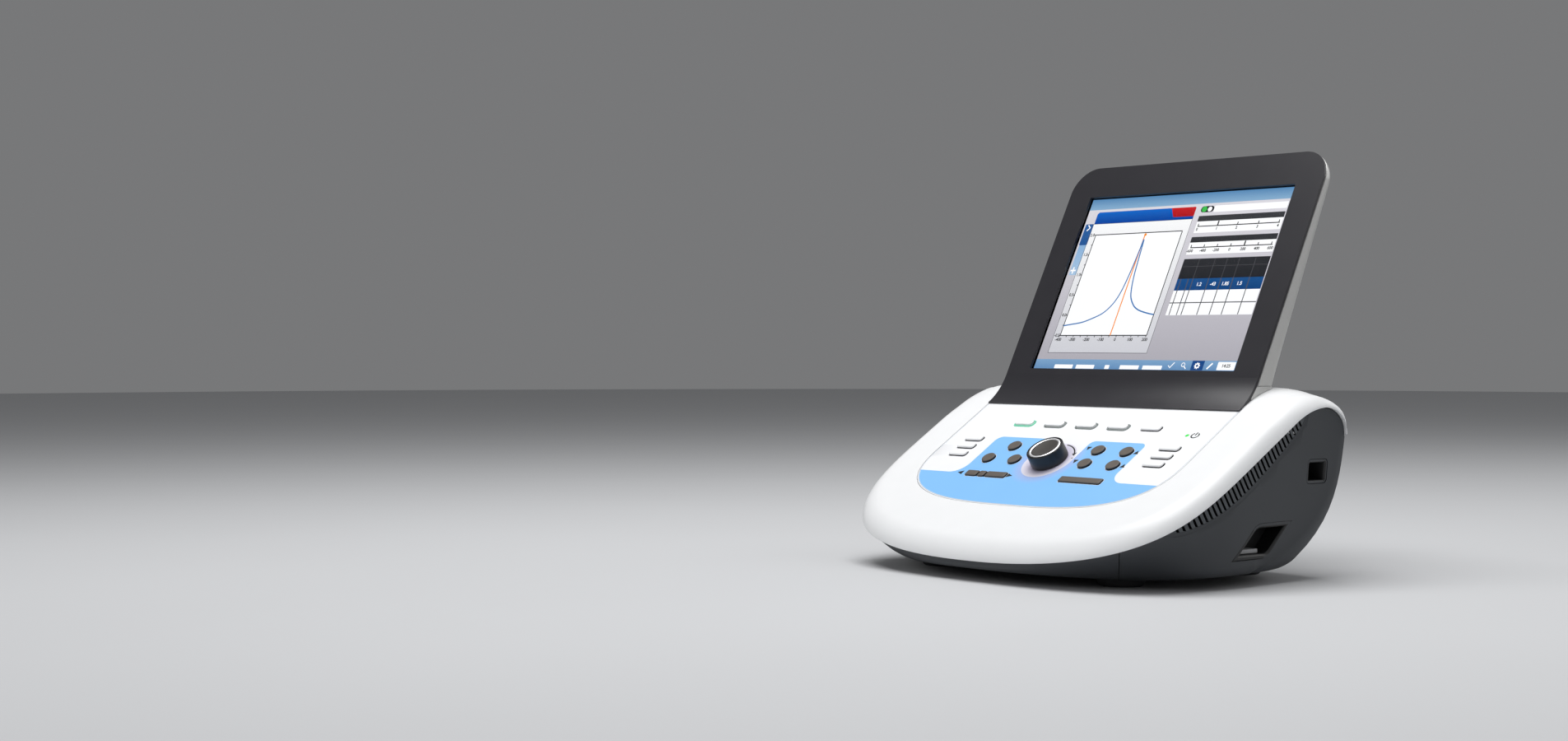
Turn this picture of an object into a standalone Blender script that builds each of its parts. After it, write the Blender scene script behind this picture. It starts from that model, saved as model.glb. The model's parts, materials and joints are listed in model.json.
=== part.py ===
"""Desktop tympanometer: a wedge-shaped console with a fixed, leaning screen, built from separate parts.

Metres, +Z up. The origin is the middle of the overall box, on the table. The operator stands on the -Y
side, and +X is the operator's right. Key caps slide along the normal of the sloping console, and the
knob turns about that normal. The display and everything else is fixed.
"""

import math

import bmesh
import bpy
from mathutils import Matrix, Vector

# Clearances shared by all parts
GAP = 0.0003
SLIDE_GAP = 0.0004
OVERRUN = 0.012
QUARTER_TURN = math.radians(90)
SHARP_ANGLE = math.radians(35)

# Plan outline of the body
BODY_HALF_WIDTH = 0.1715
NOSE_Y = -0.1346
SHOULDER_Y = -0.0028
REAR_Y = 0.0992
NOSE_WIDTH_POWER = 2.31
NOSE_LENGTH_POWER = 4.21
REAR_CORNER = 0.0128
COVER_CORNER = 0.0138
COVER_CORNER_GROWTH = 0.0340

# Side profile of the body
CONSOLE_TILT = math.radians(32.05)
CONSOLE_FOOT_Y = 0.0195
CONSOLE_FOOT_Z = 0.1230
CREST_Z = 0.1400
CREST_BLEND = 0.0236
RIM_TILT = math.radians(31.1)
RIM_FOOT_Z = 0.1079
RIM_CREST_Z = 0.1262
RIM_BLEND = 0.0182
REAR_RIM_DROP = 0.0202
RIM_TURN_LENGTH = 0.0250
RIM_TURN_INSET = 0.0080
RIM_GAP = 0.0005
RIM_TURN_GAP = 0.0010

# Top cover
COVER_WALL = 0.0034
NOSE_ROLL = 0.0106
SIDE_ROLL = 0.0125
SHOULDER_ROLL = 0.0260
REAR_ROLL = 0.0300
SHOULDER_ROLL_START = 0.0080
SHOULDER_ROLL_END = 0.0680
LEDGE_WIDTH = 0.0040

# Lower body
BASE_Z = 0.0090
BASE_WALL = 0.0020
SIDE_WALL = 0.0025
RIM_TUCK = 0.0025
REAR_TUCK = 0.0004
SIDE_DRAFT = 0.085
BASE_ROLL = 0.0070
BASE_ROLL_SHARE = 0.45
REAR_TURN_Z = 0.1070
REAR_SWEEP = 0.0067
REAR_SWEEP_POWER = 1.3
BASE_CORNER = 0.0900
CORNER_POWER = 3.26
FRONT_SEAM_Y = -0.1113
REAR_SEAM_INSET = 0.0315
REAR_SEAM_X = BODY_HALF_WIDTH - REAR_SEAM_INSET
REAR_INSET_SHARE = 0.2
CHIN_INSET = 0.0250
CHIN_DIP = 0.0030
CHIN_PEAK_POWER = 0.716
CHIN_WIDTH_POWER = 3
CHIN_FALL_POWER = 1.3
SEAM_STEP = 0.0005
FLOOR_EDGE = 0.0012
FLOOR_STEP = 0.0010
FLOOR_GAP = 0.0006

# Vent grilles
VENT_FRONT_Y = -0.0870
VENT_REAR_Y = 0.0468
VENT_DEPTH = 0.0172
VENT_FRONT_POWER = 0.60
VENT_REAR_POWER = 0.35
VENT_LIP = 0.0032
GRILLE_TUCK = 0.0030
GRILLE_THICKNESS = 0.0016
GRILLE_CLEARANCE = 0.0010
SLOT_COUNT = 34
SLOT_WIDTH = 0.0023
SLOT_LEAN = math.radians(38)
SLOT_END_MARGIN = 0.0040

# Openings in the right side
PORT_Y = 0.0631
PORT_Z = 0.0799
PORT_WIDTH = 0.0200
PORT_HEIGHT = 0.0150
PORT_DEPTH = 0.0150
PORT_WALL = 0.0013
PORT_CORNER = 0.0020
RECESS_FRONT_Y = -0.0240
RECESS_Z = 0.0220
RECESS_WIDTH = 0.0357
RECESS_HEIGHT = 0.0212
RECESS_LEAN = 0.0214
RECESS_CORNER = 0.0110
RECESS_DEPTH = 0.0170
RECESS_WALL = 0.0014
LINER_INSET = 0.0004
SOCKET_LENGTH = 0.0200
SOCKET_HEIGHT = 0.0030
SOCKET_DEPTH = 0.0090

# Rear connectors
INLET_X = -0.0780
INLET_Z = 0.0420
INLET_WIDTH = 0.0270
INLET_HEIGHT = 0.0190
INLET_DEPTH = 0.0180
INLET_WALL = 0.0020
INLET_PROUD = 0.0008
PORTS_X = -0.0180
PORTS_Z = 0.0380
PORTS_WIDTH = 0.0360
PORTS_HEIGHT = 0.0150
PORTS_DEPTH = 0.0160
PORTS_WALL = 0.0024
PORT_CELL_COUNT = 2

# Feet
FOOT_RADIUS = 0.0180
FOOT_TAPER = 0.0030
FOOT_EDGE = 0.0008
FOOT_X = 0.0925
FRONT_FOOT_Y = -0.0648
REAR_FOOT_Y = 0.0640

# Display, in display coordinates: x, distance up the screen, distance out of the screen
DISPLAY_LEAN = math.radians(26.77)
BEZEL_HALF_WIDTH = 0.1297
LCD_SIDE_MARGIN = 0.0241
LCD_TOP_MARGIN = 0.0281
LCD_WIDTH = 2 * (BEZEL_HALF_WIDTH - LCD_SIDE_MARGIN)
LCD_HEIGHT = 0.1584
LCD_FOOT_Y = 0.04453
LCD_FOOT_Z = 0.15069
LCD_Y = LCD_FOOT_Y + LCD_HEIGHT / 2 * math.sin(DISPLAY_LEAN)
LCD_Z = LCD_FOOT_Z + LCD_HEIGHT / 2 * math.cos(DISPLAY_LEAN)
LCD_MARGIN = 0.0025
LCD_THICKNESS = 0.0055
GLASS_MARGIN = 0.0040
GLASS_THICKNESS = 0.0018
BEZEL_TOP = LCD_HEIGHT / 2 + LCD_TOP_MARGIN
BEZEL_CORNER = 0.0238
BEZEL_FACE = 0.0025
BEZEL_THICKNESS = 0.0021
BEZEL_LIP = 0.0012
SHELL_WALL = 0.0022
SHELL_FRONT = 0.0006
SPIGOT_THICKNESS = 0.0015
SPIGOT_DEPTH = 0.0018
SPIGOT_SHORTFALL = 0.0032
SPIGOT_FOOT = LCD_HEIGHT / 2 - SPIGOT_SHORTFALL
SHELL_TOP_DEPTH = 0.0107
SHELL_FOOT_DEPTH = 0.0203
SHELL_ROUND = 0.0095
JOINT_Z = 0.1412
NECK_TIP = 0.0015
BRACKET_HALF_WIDTH = 0.0500
BRACKET_THICKNESS = 0.0015
BRACKET_UP = -0.0200
BRACKET_FLANGE_Y = 0.0270
BRACKET_CLEARANCE = 0.0012

# Control panel, in console coordinates: x, distance down the slope, height above the slope
PANEL_SIDE_STEP = 0.0003
PANEL_HALF_WIDTH = BEZEL_HALF_WIDTH + PANEL_SIDE_STEP
PANEL_TOP = -0.0034
PANEL_SHOULDER = 0.0600
PANEL_BOTTOM = 0.1320
PANEL_POWER = 3.0
PANEL_SPACING_POWER = 1.5
PANEL_THICKNESS = 0.0016
BOSS_RADIUS = 0.0030
BOSS_INSET = 0.0220
BOSS_X = PANEL_HALF_WIDTH - BOSS_INSET
BOSS_MIDDLE_X = 0.0170
BOSS_ROW_UPPER = 0.0400
BOSS_ROW_LOWER = 0.0905

# Keys
KEY_TRAVEL = 0.0012
KEY_FLANGE = 0.0009
KEY_FLANGE_THICKNESS = 0.0009
START_FLANGE = 0.0005
START_KEY_SPACE = 0.0014
KEY_EDGE = 0.0005
BAR_KEY_WIDTH = 0.0182
BAR_KEY_LENGTH = 0.0058
BAR_KEY_CORNER = 0.0021
ROW_PITCH_SHARE = 0.25308
ROW_PITCH = ROW_PITCH_SHARE * PANEL_HALF_WIDTH
ROW_DOWN = 0.0262
ROW_KEY_HEIGHT = 0.0016
ROW_KEYS = 5
SIDE_KEY_INSET = 0.0286
SIDE_KEY_X = PANEL_HALF_WIDTH - SIDE_KEY_INSET
SIDE_KEY_DOWN = 0.0502
SIDE_KEY_PITCH = 0.0104
SIDE_KEY_HEIGHT = 0.0014
SIDE_KEYS = 3
ROUND_KEY_RADIUS = 0.0056
ROUND_KEY_HEIGHT = 0.0018
ROUND_UPPER_DOWN = 0.0578
ROUND_LOWER_DOWN = 0.0752
ROUND_LEFT_UPPER_SHARE = -0.38462
ROUND_LEFT_OUTER_SHARE = -0.48923
ROUND_LEFT_INNER_SHARE = -0.27385
ROUND_RIGHT_INNER_SHARE = 0.28769
ROUND_RIGHT_OUTER_SHARE = 0.50385
ROUND_LEFT_UPPER_X = ROUND_LEFT_UPPER_SHARE * PANEL_HALF_WIDTH
ROUND_LEFT_OUTER_X = ROUND_LEFT_OUTER_SHARE * PANEL_HALF_WIDTH
ROUND_LEFT_INNER_X = ROUND_LEFT_INNER_SHARE * PANEL_HALF_WIDTH
ROUND_RIGHT_INNER_X = ROUND_RIGHT_INNER_SHARE * PANEL_HALF_WIDTH
ROUND_RIGHT_OUTER_X = ROUND_RIGHT_OUTER_SHARE * PANEL_HALF_WIDTH
WIDE_KEY_DOWN = 0.0957
WIDE_KEY_LENGTH = 0.0064
WIDE_KEY_HEIGHT = 0.0013
WIDE_KEY_CORNER = 0.0012
START_KEYS_LEFT_SHARE = -0.54
START_KEYS_LEFT_X = START_KEYS_LEFT_SHARE * PANEL_HALF_WIDTH
START_LEFT_WIDTH = 0.0125
START_MIDDLE_WIDTH = 0.0068
START_RIGHT_WIDTH = 0.0209
PRESENT_SHARE = 0.38231
PRESENT_X = PRESENT_SHARE * PANEL_HALF_WIDTH
PRESENT_WIDTH = 0.0414
LIT_KEYS = 4
LIGHT_RING = 0.0011
LIGHT_RING_PROUD = 0.0006
LIGHT_RAIL_WIDTH = 0.0022
LIGHT_RAIL_HEIGHT = 0.0016
LED_INSET = 0.0255
LED_X = PANEL_HALF_WIDTH - LED_INSET
LED_DOWN = 0.0326
LED_RADIUS = 0.0014

# Key board under the panel
SWITCH_SIZE = 0.0060
SWITCH_HEIGHT = 0.0035
BOARD_THICKNESS = 0.0016
KEY_BOARD_INSET = 0.0140
KEY_BOARD_HALF_WIDTH = PANEL_HALF_WIDTH - KEY_BOARD_INSET
KEY_BOARD_TOP = 0.0180
KEY_BOARD_BOTTOM = 0.1040
SWITCH_SINK = 0.0004

# Knob and encoder, on the knob's own axis
KNOB_DOWN = 0.0728
KNOB_BASE = 0.0006
KNOB_TOP = 0.0116
KNOB_RADIUS = 0.0149
KNOB_TOP_RADIUS = 0.0146
KNOB_EDGE = 0.0007
KNOB_WALL = 0.0012
KNOB_POCKET_RADIUS = 0.0130
KNOB_POCKET_DEPTH = 0.0019
KNOB_CROWN = 0.0018
HUB_RADIUS = 0.0052
SHAFT_RADIUS = 0.0030
SHAFT_TOP = 0.0078
BUSHING_RADIUS = 0.0043
BUSHING_TOP = 0.0030
ENCODER_SIZE = 0.0130
ENCODER_FLOOR = 0.0010
RING_WIDTH = 0.0018
RING_HEIGHT = 0.0017
RING_DOME = 0.0003
CAP_EDGE = 0.0008
CAP_HEIGHT = 0.0014
CAP_DISH = 0.0008

# Parts standing on the base tray
MAIN_BOARD_X = 0.0400
MAIN_BOARD_Y = -0.0100
MAIN_BOARD_WIDTH = 0.1600
MAIN_BOARD_LENGTH = 0.0800
STANDOFF_RADIUS = 0.0035
STANDOFF_HEIGHT = 0.0060
STANDOFF_INSET = 0.0060
# Chips and connectors: across, along, width, length, height
BOARD_CHIPS = (
    (0.0000, 0.0000, 0.0240, 0.0240, 0.0026),
    (-0.0450, 0.0100, 0.0160, 0.0200, 0.0022),
    (0.0450, -0.0120, 0.0140, 0.0140, 0.0020),
    (0.0380, 0.0280, 0.0300, 0.0080, 0.0080),
    (-0.0300, -0.0300, 0.0360, 0.0070, 0.0090),
)
SUPPLY_X = -0.0900
SUPPLY_Y = 0.0150
SUPPLY_WIDTH = 0.0640
SUPPLY_LENGTH = 0.0900
SUPPLY_HEIGHT = 0.0320
SUPPLY_EDGE = 0.0020
PUMP_X = 0.0700
PUMP_Y = 0.0560
PUMP_RADIUS = 0.0160
PUMP_HEIGHT = 0.0400
PUMP_HEAD_RADIUS = 0.0190
PUMP_HEAD_HEIGHT = 0.0120
PUMP_NOZZLE_RADIUS = 0.0030
PUMP_NOZZLE_HEIGHT = 0.0080
SPEAKER_X = -0.0880
SPEAKER_Y = -0.0600
SPEAKER_RADIUS = 0.0250
SPEAKER_MAGNET_RADIUS = 0.0130
SPEAKER_MAGNET_HEIGHT = 0.0080
SPEAKER_HEIGHT = 0.0170
SPEAKER_SINK = 0.0010
SPEAKER_RIM = 0.0020
SPEAKER_CONE_RADIUS = 0.0100

# Resolution of the curved forms
NOSE_FRONT_STEPS = 5
NOSE_SIDE_STEPS = 6
TURN_STEPS = 6
TURN_SHARE = 0.76
SIDE_STEPS = 8
FLOOR_SIDE_STEPS = 5
CORNER_STEPS = 6
REAR_STEPS = 2
REAR_END_SHARE = 0.3
SKIRT_STEPS = 10
SHELL_SIDE_STEPS = 6
NECK_STEPS = 8
SHELL_TURN_SHARES = (0.0, 0.3, 0.6, 1.0)
SHELL_INNER_TURN_SHARES = (0.0, 0.5, 1.0)
ROUND_STEPS = 24
VENT_STEPS = 20
GRILLE_STEPS = 16
PANEL_STEPS = 9
SMALL_ROUND_STEPS = 16
BOSS_STEPS = 8
DISH_STEPS = 3
KNOB_STEPS = 28
CORNER_ARC_STEPS = 5
CORNER_STEPS_SMALL = 2
COVER_ROLL_SHARES = (1.0, 0.74, 0.49, 0.24, 0.0)
COVER_INNER_SHARES = (0.0, 0.2, 0.55, 1.0)
WALL_LEVELS = (0.0, 0.35, 0.65, 0.85, 1.0, 1.4, 2.0)
INNER_LEVELS = (0.0, 0.35, 0.65, 0.85, 1.0, 2.0)
CHIN_LEVELS = (0.0, 1.0, 1.5, 2.0)
CHIN_INNER_LEVELS = (0.0, 1.0, 2.0)


def clear_scene():
    for item in list(bpy.data.objects):
        bpy.data.objects.remove(item, do_unlink=True)


def finish(name, colour, roughness, metallic=0.0, alpha=1.0):
    """A plain Principled material; colour is linear RGB."""
    made = bpy.data.materials.new(name)
    made.use_nodes = True
    shader = made.node_tree.nodes["Principled BSDF"]
    shader.inputs["Base Color"].default_value = (*colour, 1.0)
    shader.inputs["Roughness"].default_value = roughness
    shader.inputs["Metallic"].default_value = metallic
    shader.inputs["Alpha"].default_value = alpha
    return made


def make_finishes():
    return {
        "cover_white": finish("cover_white", (0.86, 0.87, 0.88), 0.38),
        "panel_white": finish("panel_white", (0.84, 0.86, 0.88), 0.42),
        "body_charcoal": finish("body_charcoal", (0.030, 0.033, 0.037), 0.62),
        "vent_black": finish("vent_black", (0.022, 0.024, 0.027), 0.66),
        "recess_black": finish("recess_black", (0.010, 0.010, 0.011), 0.55),
        "bezel_charcoal": finish("bezel_charcoal", (0.037, 0.037, 0.046), 0.45),
        "shell_silver": finish("shell_silver", (0.30, 0.30, 0.29), 0.40, 0.35),
        "screen_glass": finish("screen_glass", (0.02, 0.03, 0.05), 0.10),
        "screen_module": finish("screen_module", (0.35, 0.45, 0.55), 0.40),
        "key_white": finish("key_white", (0.82, 0.83, 0.84), 0.35),
        "key_taupe": finish("key_taupe", (0.19, 0.16, 0.135), 0.50),
        "light_clear": finish("light_clear", (0.75, 0.85, 0.82), 0.20),
        "led_green": finish("led_green", (0.02, 0.65, 0.12), 0.25),
        "knob_black": finish("knob_black", (0.008, 0.010, 0.013), 0.35),
        "knob_silver": finish("knob_silver", (0.80, 0.80, 0.80), 0.22, 1.0),
        "knob_taupe": finish("knob_taupe", (0.17, 0.15, 0.13), 0.40, 0.3),
        "steel": finish("steel", (0.45, 0.46, 0.47), 0.35, 1.0),
        "module_aluminium": finish("module_aluminium", (0.55, 0.56, 0.57), 0.40, 1.0),
        "board_green": finish("board_green", (0.02, 0.14, 0.06), 0.50),
        "foot_rubber": finish("foot_rubber", (0.014, 0.014, 0.015), 0.85),
        "socket_grey": finish("socket_grey", (0.42, 0.42, 0.43), 0.45),
    }


def add_object(name, bm, material, parent=None, location=(0, 0, 0), helper=False):
    """Turns a finished bmesh into one named object, with its faces pointing out."""
    bmesh.ops.recalc_face_normals(bm, faces=bm.faces)
    mesh = bpy.data.meshes.new(name)
    bm.to_mesh(mesh)
    bm.free()
    mesh.shade_smooth()
    mesh.set_sharp_from_angle(angle=SHARP_ANGLE)
    made = bpy.data.objects.new(name, mesh)
    bpy.context.scene.collection.objects.link(made)
    made.parent = parent
    made.location = location
    if helper:
        made.hide_render = True
        made.display_type = "WIRE"
    else:
        mesh.materials.append(material)
    return made


def combine(body, other, operation):
    """Boolean of a body with a helper object."""
    step = body.modifiers.new(f"{operation.lower()}_{other.name}", "BOOLEAN")
    step.operation = operation
    step.solver = "EXACT"
    step.object = other


def skin(bm, rings, closed=True):
    """Joins neighbouring vertex rings with quads, or triangles where two share a vertex."""
    for first, second in zip(rings, rings[1:]):
        count = len(first)
        for i in range(count if closed else count - 1):
            j = (i + 1) % count
            corners = []
            for vertex in (first[i], first[j], second[j], second[i]):
                if vertex not in corners:
                    corners.append(vertex)
            if len(corners) > 2:
                bm.faces.new(corners)


def mirrored_loft(bm, half_rings):
    """Closed solid from right-half rings: each is mirrored, joined to the next, and the ends are
    closed by strips that run straight across from side to side."""
    rings = []
    for half in half_rings:
        right = [bm.verts.new(point) for point in half]
        left = [
            vertex if not vertex.co.x else bm.verts.new((-vertex.co.x, vertex.co.y, vertex.co.z))
            for vertex in right
        ]
        rings.append((right, left))
    loops = [right + left[:0:-1] if right[0] is left[0] else right + left[::-1] for right, left in rings]
    skin(bm, loops)
    for right, left in (rings[0], rings[-1]):
        skin(bm, [right, left], closed=False)


def loft(bm, loops):
    """Closed solid through equal loops of points, with flat ends."""
    rings = [[bm.verts.new(point) for point in loop] for loop in loops]
    skin(bm, rings)
    bm.faces.new(rings[0])
    bm.faces.new(rings[-1])


def prism(bm, outline, low, high):
    """Extrudes a closed XY outline from one height to another."""
    base = bm.faces.new([bm.verts.new((x, y, low)) for x, y in outline])
    raised = bmesh.ops.extrude_face_region(bm, geom=[base], use_keep_orig=True)
    top = [item for item in raised["geom"] if isinstance(item, bmesh.types.BMVert)]
    bmesh.ops.translate(bm, verts=top, vec=(0, 0, high - low))


def box(bm, centre, size):
    x, y, z = centre
    outline = rounded_rectangle(size[0], size[1], 0, (x, y))
    prism(bm, outline, z - size[2] / 2, z + size[2] / 2)


def turned(bm, profile, steps=ROUND_STEPS, centre=(0, 0, 0)):
    """Spins an (r, z) profile about Z; it is a closed loop, or starts and ends on the axis."""
    x, y, z = centre
    points = [bm.verts.new((x + radius, y, z + height)) for radius, height in profile]
    edges = [bm.edges.new(pair) for pair in zip(points, points[1:])]
    if profile[0][0] or profile[-1][0]:
        edges.append(bm.edges.new((points[-1], points[0])))
    bmesh.ops.spin(
        bm,
        geom=points + edges,
        cent=centre,
        axis=(0, 0, 1),
        angle=QUARTER_TURN * 4,
        steps=steps,
        use_merge=True,
    )
    bmesh.ops.remove_doubles(bm, verts=bm.verts, dist=GAP / 100)


def stacked(bm, outline_at, levels):
    """Closed solid from one outline at several heights; levels are (height, outward offset)."""
    loft(bm, [[(x, y, height) for x, y in outline_at(offset)] for height, offset in levels])


def arc(centre, radius, start, end, steps):
    return [
        (
            centre[0] + radius * math.cos(start + (end - start) * i / steps),
            centre[1] + radius * math.sin(start + (end - start) * i / steps),
        )
        for i in range(steps + 1)
    ]


def rounded_rectangle(width, length, radius, centre=(0, 0), steps=CORNER_STEPS_SMALL):
    x, y = centre
    if not radius:
        signs = ((1, 1), (-1, 1), (-1, -1), (1, -1))
        return [(x + sx * width / 2, y + sy * length / 2) for sx, sy in signs]
    points = []
    for turn, (sx, sy) in enumerate(((1, 1), (-1, 1), (-1, -1), (1, -1))):
        corner = (x + sx * (width / 2 - radius), y + sy * (length / 2 - radius))
        points += arc(corner, radius, turn * QUARTER_TURN, (turn + 1) * QUARTER_TURN, steps)
    return points


def circle(radius, centre=(0, 0), steps=ROUND_STEPS):
    return arc(centre, radius, 0, 4 * QUARTER_TURN, steps)[:-1]


def slope_and_level(y, tilt, foot_z, level, blend):
    """Height of a slope through the console's foot that turns into a level shoulder by a parabola."""
    slope = math.tan(tilt)
    meet = CONSOLE_FOOT_Y + (level - foot_z) / slope
    if y <= meet - blend:
        return foot_z + slope * (y - CONSOLE_FOOT_Y)
    return level - slope * max(meet + blend - y, 0) ** 2 / (4 * blend)


def crest(y):
    """Height of the cover's top."""
    return slope_and_level(y, CONSOLE_TILT, CONSOLE_FOOT_Z, CREST_Z, CREST_BLEND)


def rim_turn(y):
    """Share of the rim's turn down behind the shoulder, at y."""
    start = REAR_Y - RIM_TURN_INSET - RIM_TURN_LENGTH
    return min(max((y - start) / RIM_TURN_LENGTH, 0), 1)


def rim_height(y):
    """Height of the cover's lower rim: about parallel to the crest, turning down behind the shoulder."""
    turn = rim_turn(y)
    level = slope_and_level(y, RIM_TILT, RIM_FOOT_Z, RIM_CREST_Z, RIM_BLEND)
    return level - REAR_RIM_DROP * (1 - math.sqrt(1 - turn * turn))


def side_roll(y):
    """Width of the rounding over the cover's side, wider on the shoulder behind the screen."""
    share = min(max((y - SHOULDER_ROLL_START) / (SHOULDER_ROLL_END - SHOULDER_ROLL_START), 0), 1)
    return SIDE_ROLL + (SHOULDER_ROLL - SIDE_ROLL) * share * share * (3 - 2 * share)


def nose_share(y):
    """Share along the nose quarter at which the body's widest outline passes y."""
    reach = (SHOULDER_Y - y) / (SHOULDER_Y - NOSE_Y)
    angle = math.acos(reach ** (NOSE_LENGTH_POWER / 2))
    return 1 - math.sqrt(1 - angle / QUARTER_TURN)


def steps_between(low, high, count):
    return [low + (high - low) * i / count for i in range(1, count + 1)]


def body_stations(seam_share, split=False):
    """Stations from the middle of the nose, along the right side, to the rear end of its corner. Split
    stations step across the front seam and are fewer along the side."""
    nose = [0.0, *steps_between(0, seam_share, NOSE_FRONT_STEPS)]
    if split:
        nose.append(seam_share + SEAM_STEP)
    nose += steps_between(seam_share, 1, NOSE_SIDE_STEPS)
    if split:
        side = steps_between(0, 1, FLOOR_SIDE_STEPS)
    else:
        side = steps_between(0, TURN_SHARE, SIDE_STEPS) + steps_between(TURN_SHARE, 1, TURN_STEPS)
    stations = [("nose", share) for share in nose]
    stations += [("side", share) for share in side]
    stations += [("corner", share) for share in steps_between(0, 1, CORNER_STEPS)]
    return stations


def plan_point(station, half_width, nose_y, rear_y, corner):
    """A station's point on the plan outline that has the given half width, ends and rear corner."""
    kind, share = station
    if kind == "nose":
        angle = QUARTER_TURN * (1 - (1 - share) ** 2)
        across = math.sin(angle) ** (2 / NOSE_WIDTH_POWER)
        along = max(math.cos(angle), 0) ** (2 / NOSE_LENGTH_POWER) if share < 1 else 0
        return half_width * across, SHOULDER_Y - (SHOULDER_Y - nose_y) * along
    if kind == "side":
        return half_width, SHOULDER_Y + (rear_y - corner - SHOULDER_Y) * share
    if kind == "rear":
        return (half_width - corner) * (1 - share), rear_y
    angle = QUARTER_TURN * share
    return half_width - corner * (1 - math.cos(angle)), rear_y - corner * (1 - math.sin(angle))


def cover_ring(stations, share, wall):
    """One ring of the cover: share 0 on the lower rim, 1 on top; wall moves it inwards."""
    angle = QUARTER_TURN * share
    inward = 1 - math.cos(angle)
    ring = []
    for station in stations:
        base = (BODY_HALF_WIDTH - wall, NOSE_Y + wall, REAR_Y - wall, COVER_CORNER - wall)
        foot_y = plan_point(station, *base)[1]
        x, y = plan_point(
            station,
            base[0] - (side_roll(foot_y) - wall) * inward,
            base[1] + (NOSE_ROLL - wall) * inward,
            base[2] - (REAR_ROLL - wall) * inward,
            base[3] + COVER_CORNER_GROWTH * inward,
        )
        depth = crest(foot_y) - rim_height(foot_y) - wall
        ring.append((x, y, crest(y) - wall - depth * (1 - math.sin(angle))))
    return ring


def chin_bump(station):
    """Share of the extra tuck under the cover's front corners: 1 at the corner, 0 at the nose and side."""
    kind, share = station
    if kind != "nose":
        return 0
    return max(math.sin(2 * QUARTER_TURN * share**CHIN_PEAK_POWER), 0) ** CHIN_WIDTH_POWER


def lower_point(station, level, wall, floor=BASE_Z):
    """A point on the lower body: level 0 under the cover's rim, 1 above the base rounding, 2 below it."""
    bump = chin_bump(station)
    floor -= CHIN_DIP * bump
    rim = (BODY_HALF_WIDTH - RIM_TUCK - wall, NOSE_Y + RIM_TUCK + wall, REAR_Y - REAR_TUCK - wall)
    rim_y = plan_point(station, *rim, REAR_CORNER - wall)[1]
    top = rim_height(rim_y) - RIM_GAP - RIM_TURN_GAP * rim_turn(rim_y)
    roll = max(min(BASE_ROLL, (top - floor) * BASE_ROLL_SHARE) - wall * BASE_ROLL_SHARE, GAP)
    if level <= 1:
        z = top + (floor + roll - top) * level
        inset = 0
    else:
        angle = QUARTER_TURN * (level - 1)
        z = floor + roll * (1 - math.sin(angle))
        inset = roll * (1 - math.cos(angle))
    fall = min(max((top - z) / (top - BASE_Z + CHIN_DIP * bump), 0), 1)
    inset += SIDE_DRAFT * (top - z) + CHIN_INSET * bump * fall**CHIN_FALL_POWER
    drop = min(max((REAR_TURN_Z - z) / (REAR_TURN_Z - BASE_Z), 0), 1)
    corner = REAR_CORNER + (BASE_CORNER - REAR_CORNER) * drop**CORNER_POWER - wall
    sweep = REAR_SWEEP * drop**REAR_SWEEP_POWER
    rear = rim[2] - sweep - inset * REAR_INSET_SHARE
    x, y = plan_point(station, rim[0] - inset, rim[1] + inset, rear, corner)
    return x, y, z


def wall_loop(station, wall):
    """Closed section of the lower body's wall at one station: down the outside, up the inside."""
    outside = [lower_point(station, level, 0) for level in WALL_LEVELS]
    inside = [lower_point(station, level, wall, BASE_Z + wall) for level in reversed(INNER_LEVELS)]
    return outside + inside


def side_x(y, z, wall=0.0):
    """Outer half width of the lower body beside the console, or of a surface one wall inside it."""
    top = rim_height(y) - RIM_GAP
    bump = chin_bump(("nose", nose_share(max(y, NOSE_Y)))) if y < SHOULDER_Y else 0
    fall = min(max((top - z) / (top - BASE_Z + CHIN_DIP * bump), 0), 1)
    inset = RIM_TUCK + wall + SIDE_DRAFT * (top - z) + CHIN_INSET * bump * fall**CHIN_FALL_POWER
    reach = min(max((SHOULDER_Y - y) / (SHOULDER_Y - NOSE_Y - inset), 0), 1)
    return (BODY_HALF_WIDTH - inset) * (1 - reach**NOSE_LENGTH_POWER) ** (1 / NOSE_WIDTH_POWER)


def rear_wall_y(z):
    """Outer face of the rear wall, at a height below the cover."""
    drop = min(max((REAR_TURN_Z - z) / (REAR_TURN_Z - BASE_Z), 0), 1)
    top = rim_height(REAR_Y) - GAP
    inset = SIDE_DRAFT * (top - z) * REAR_INSET_SHARE
    return REAR_Y - REAR_TUCK - REAR_SWEEP * drop**REAR_SWEEP_POWER - inset


def vent_bottom(y):
    """Lower edge of the vent opening, a blunt crescent hanging from the cover's rim."""
    share = min(max((y - VENT_FRONT_Y) / (VENT_REAR_Y - VENT_FRONT_Y), 0), 1)
    power = VENT_FRONT_POWER if share < 0.5 else VENT_REAR_POWER
    return rim_height(y) - VENT_DEPTH * max(math.sin(2 * QUARTER_TURN * share), 0) ** power


def panel_outline(offset=0.0):
    """Console panel outline: straight sides and a blunt rounded front, as (x, up the slope)."""
    half = PANEL_HALF_WIDTH + offset
    reach = PANEL_BOTTOM - PANEL_SHOULDER + offset
    right = [(half, -PANEL_TOP + offset)]
    for i in range(PANEL_STEPS + 1):
        angle = QUARTER_TURN * (1 - (1 - i / PANEL_STEPS) ** PANEL_SPACING_POWER)
        across = math.cos(angle) ** (2 / PANEL_POWER) if i < PANEL_STEPS else 0
        right.append((half * across, -PANEL_SHOULDER - reach * math.sin(angle) ** (2 / PANEL_POWER)))
    return right + [(-x, y) for x, y in reversed(right[:-1])]


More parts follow.
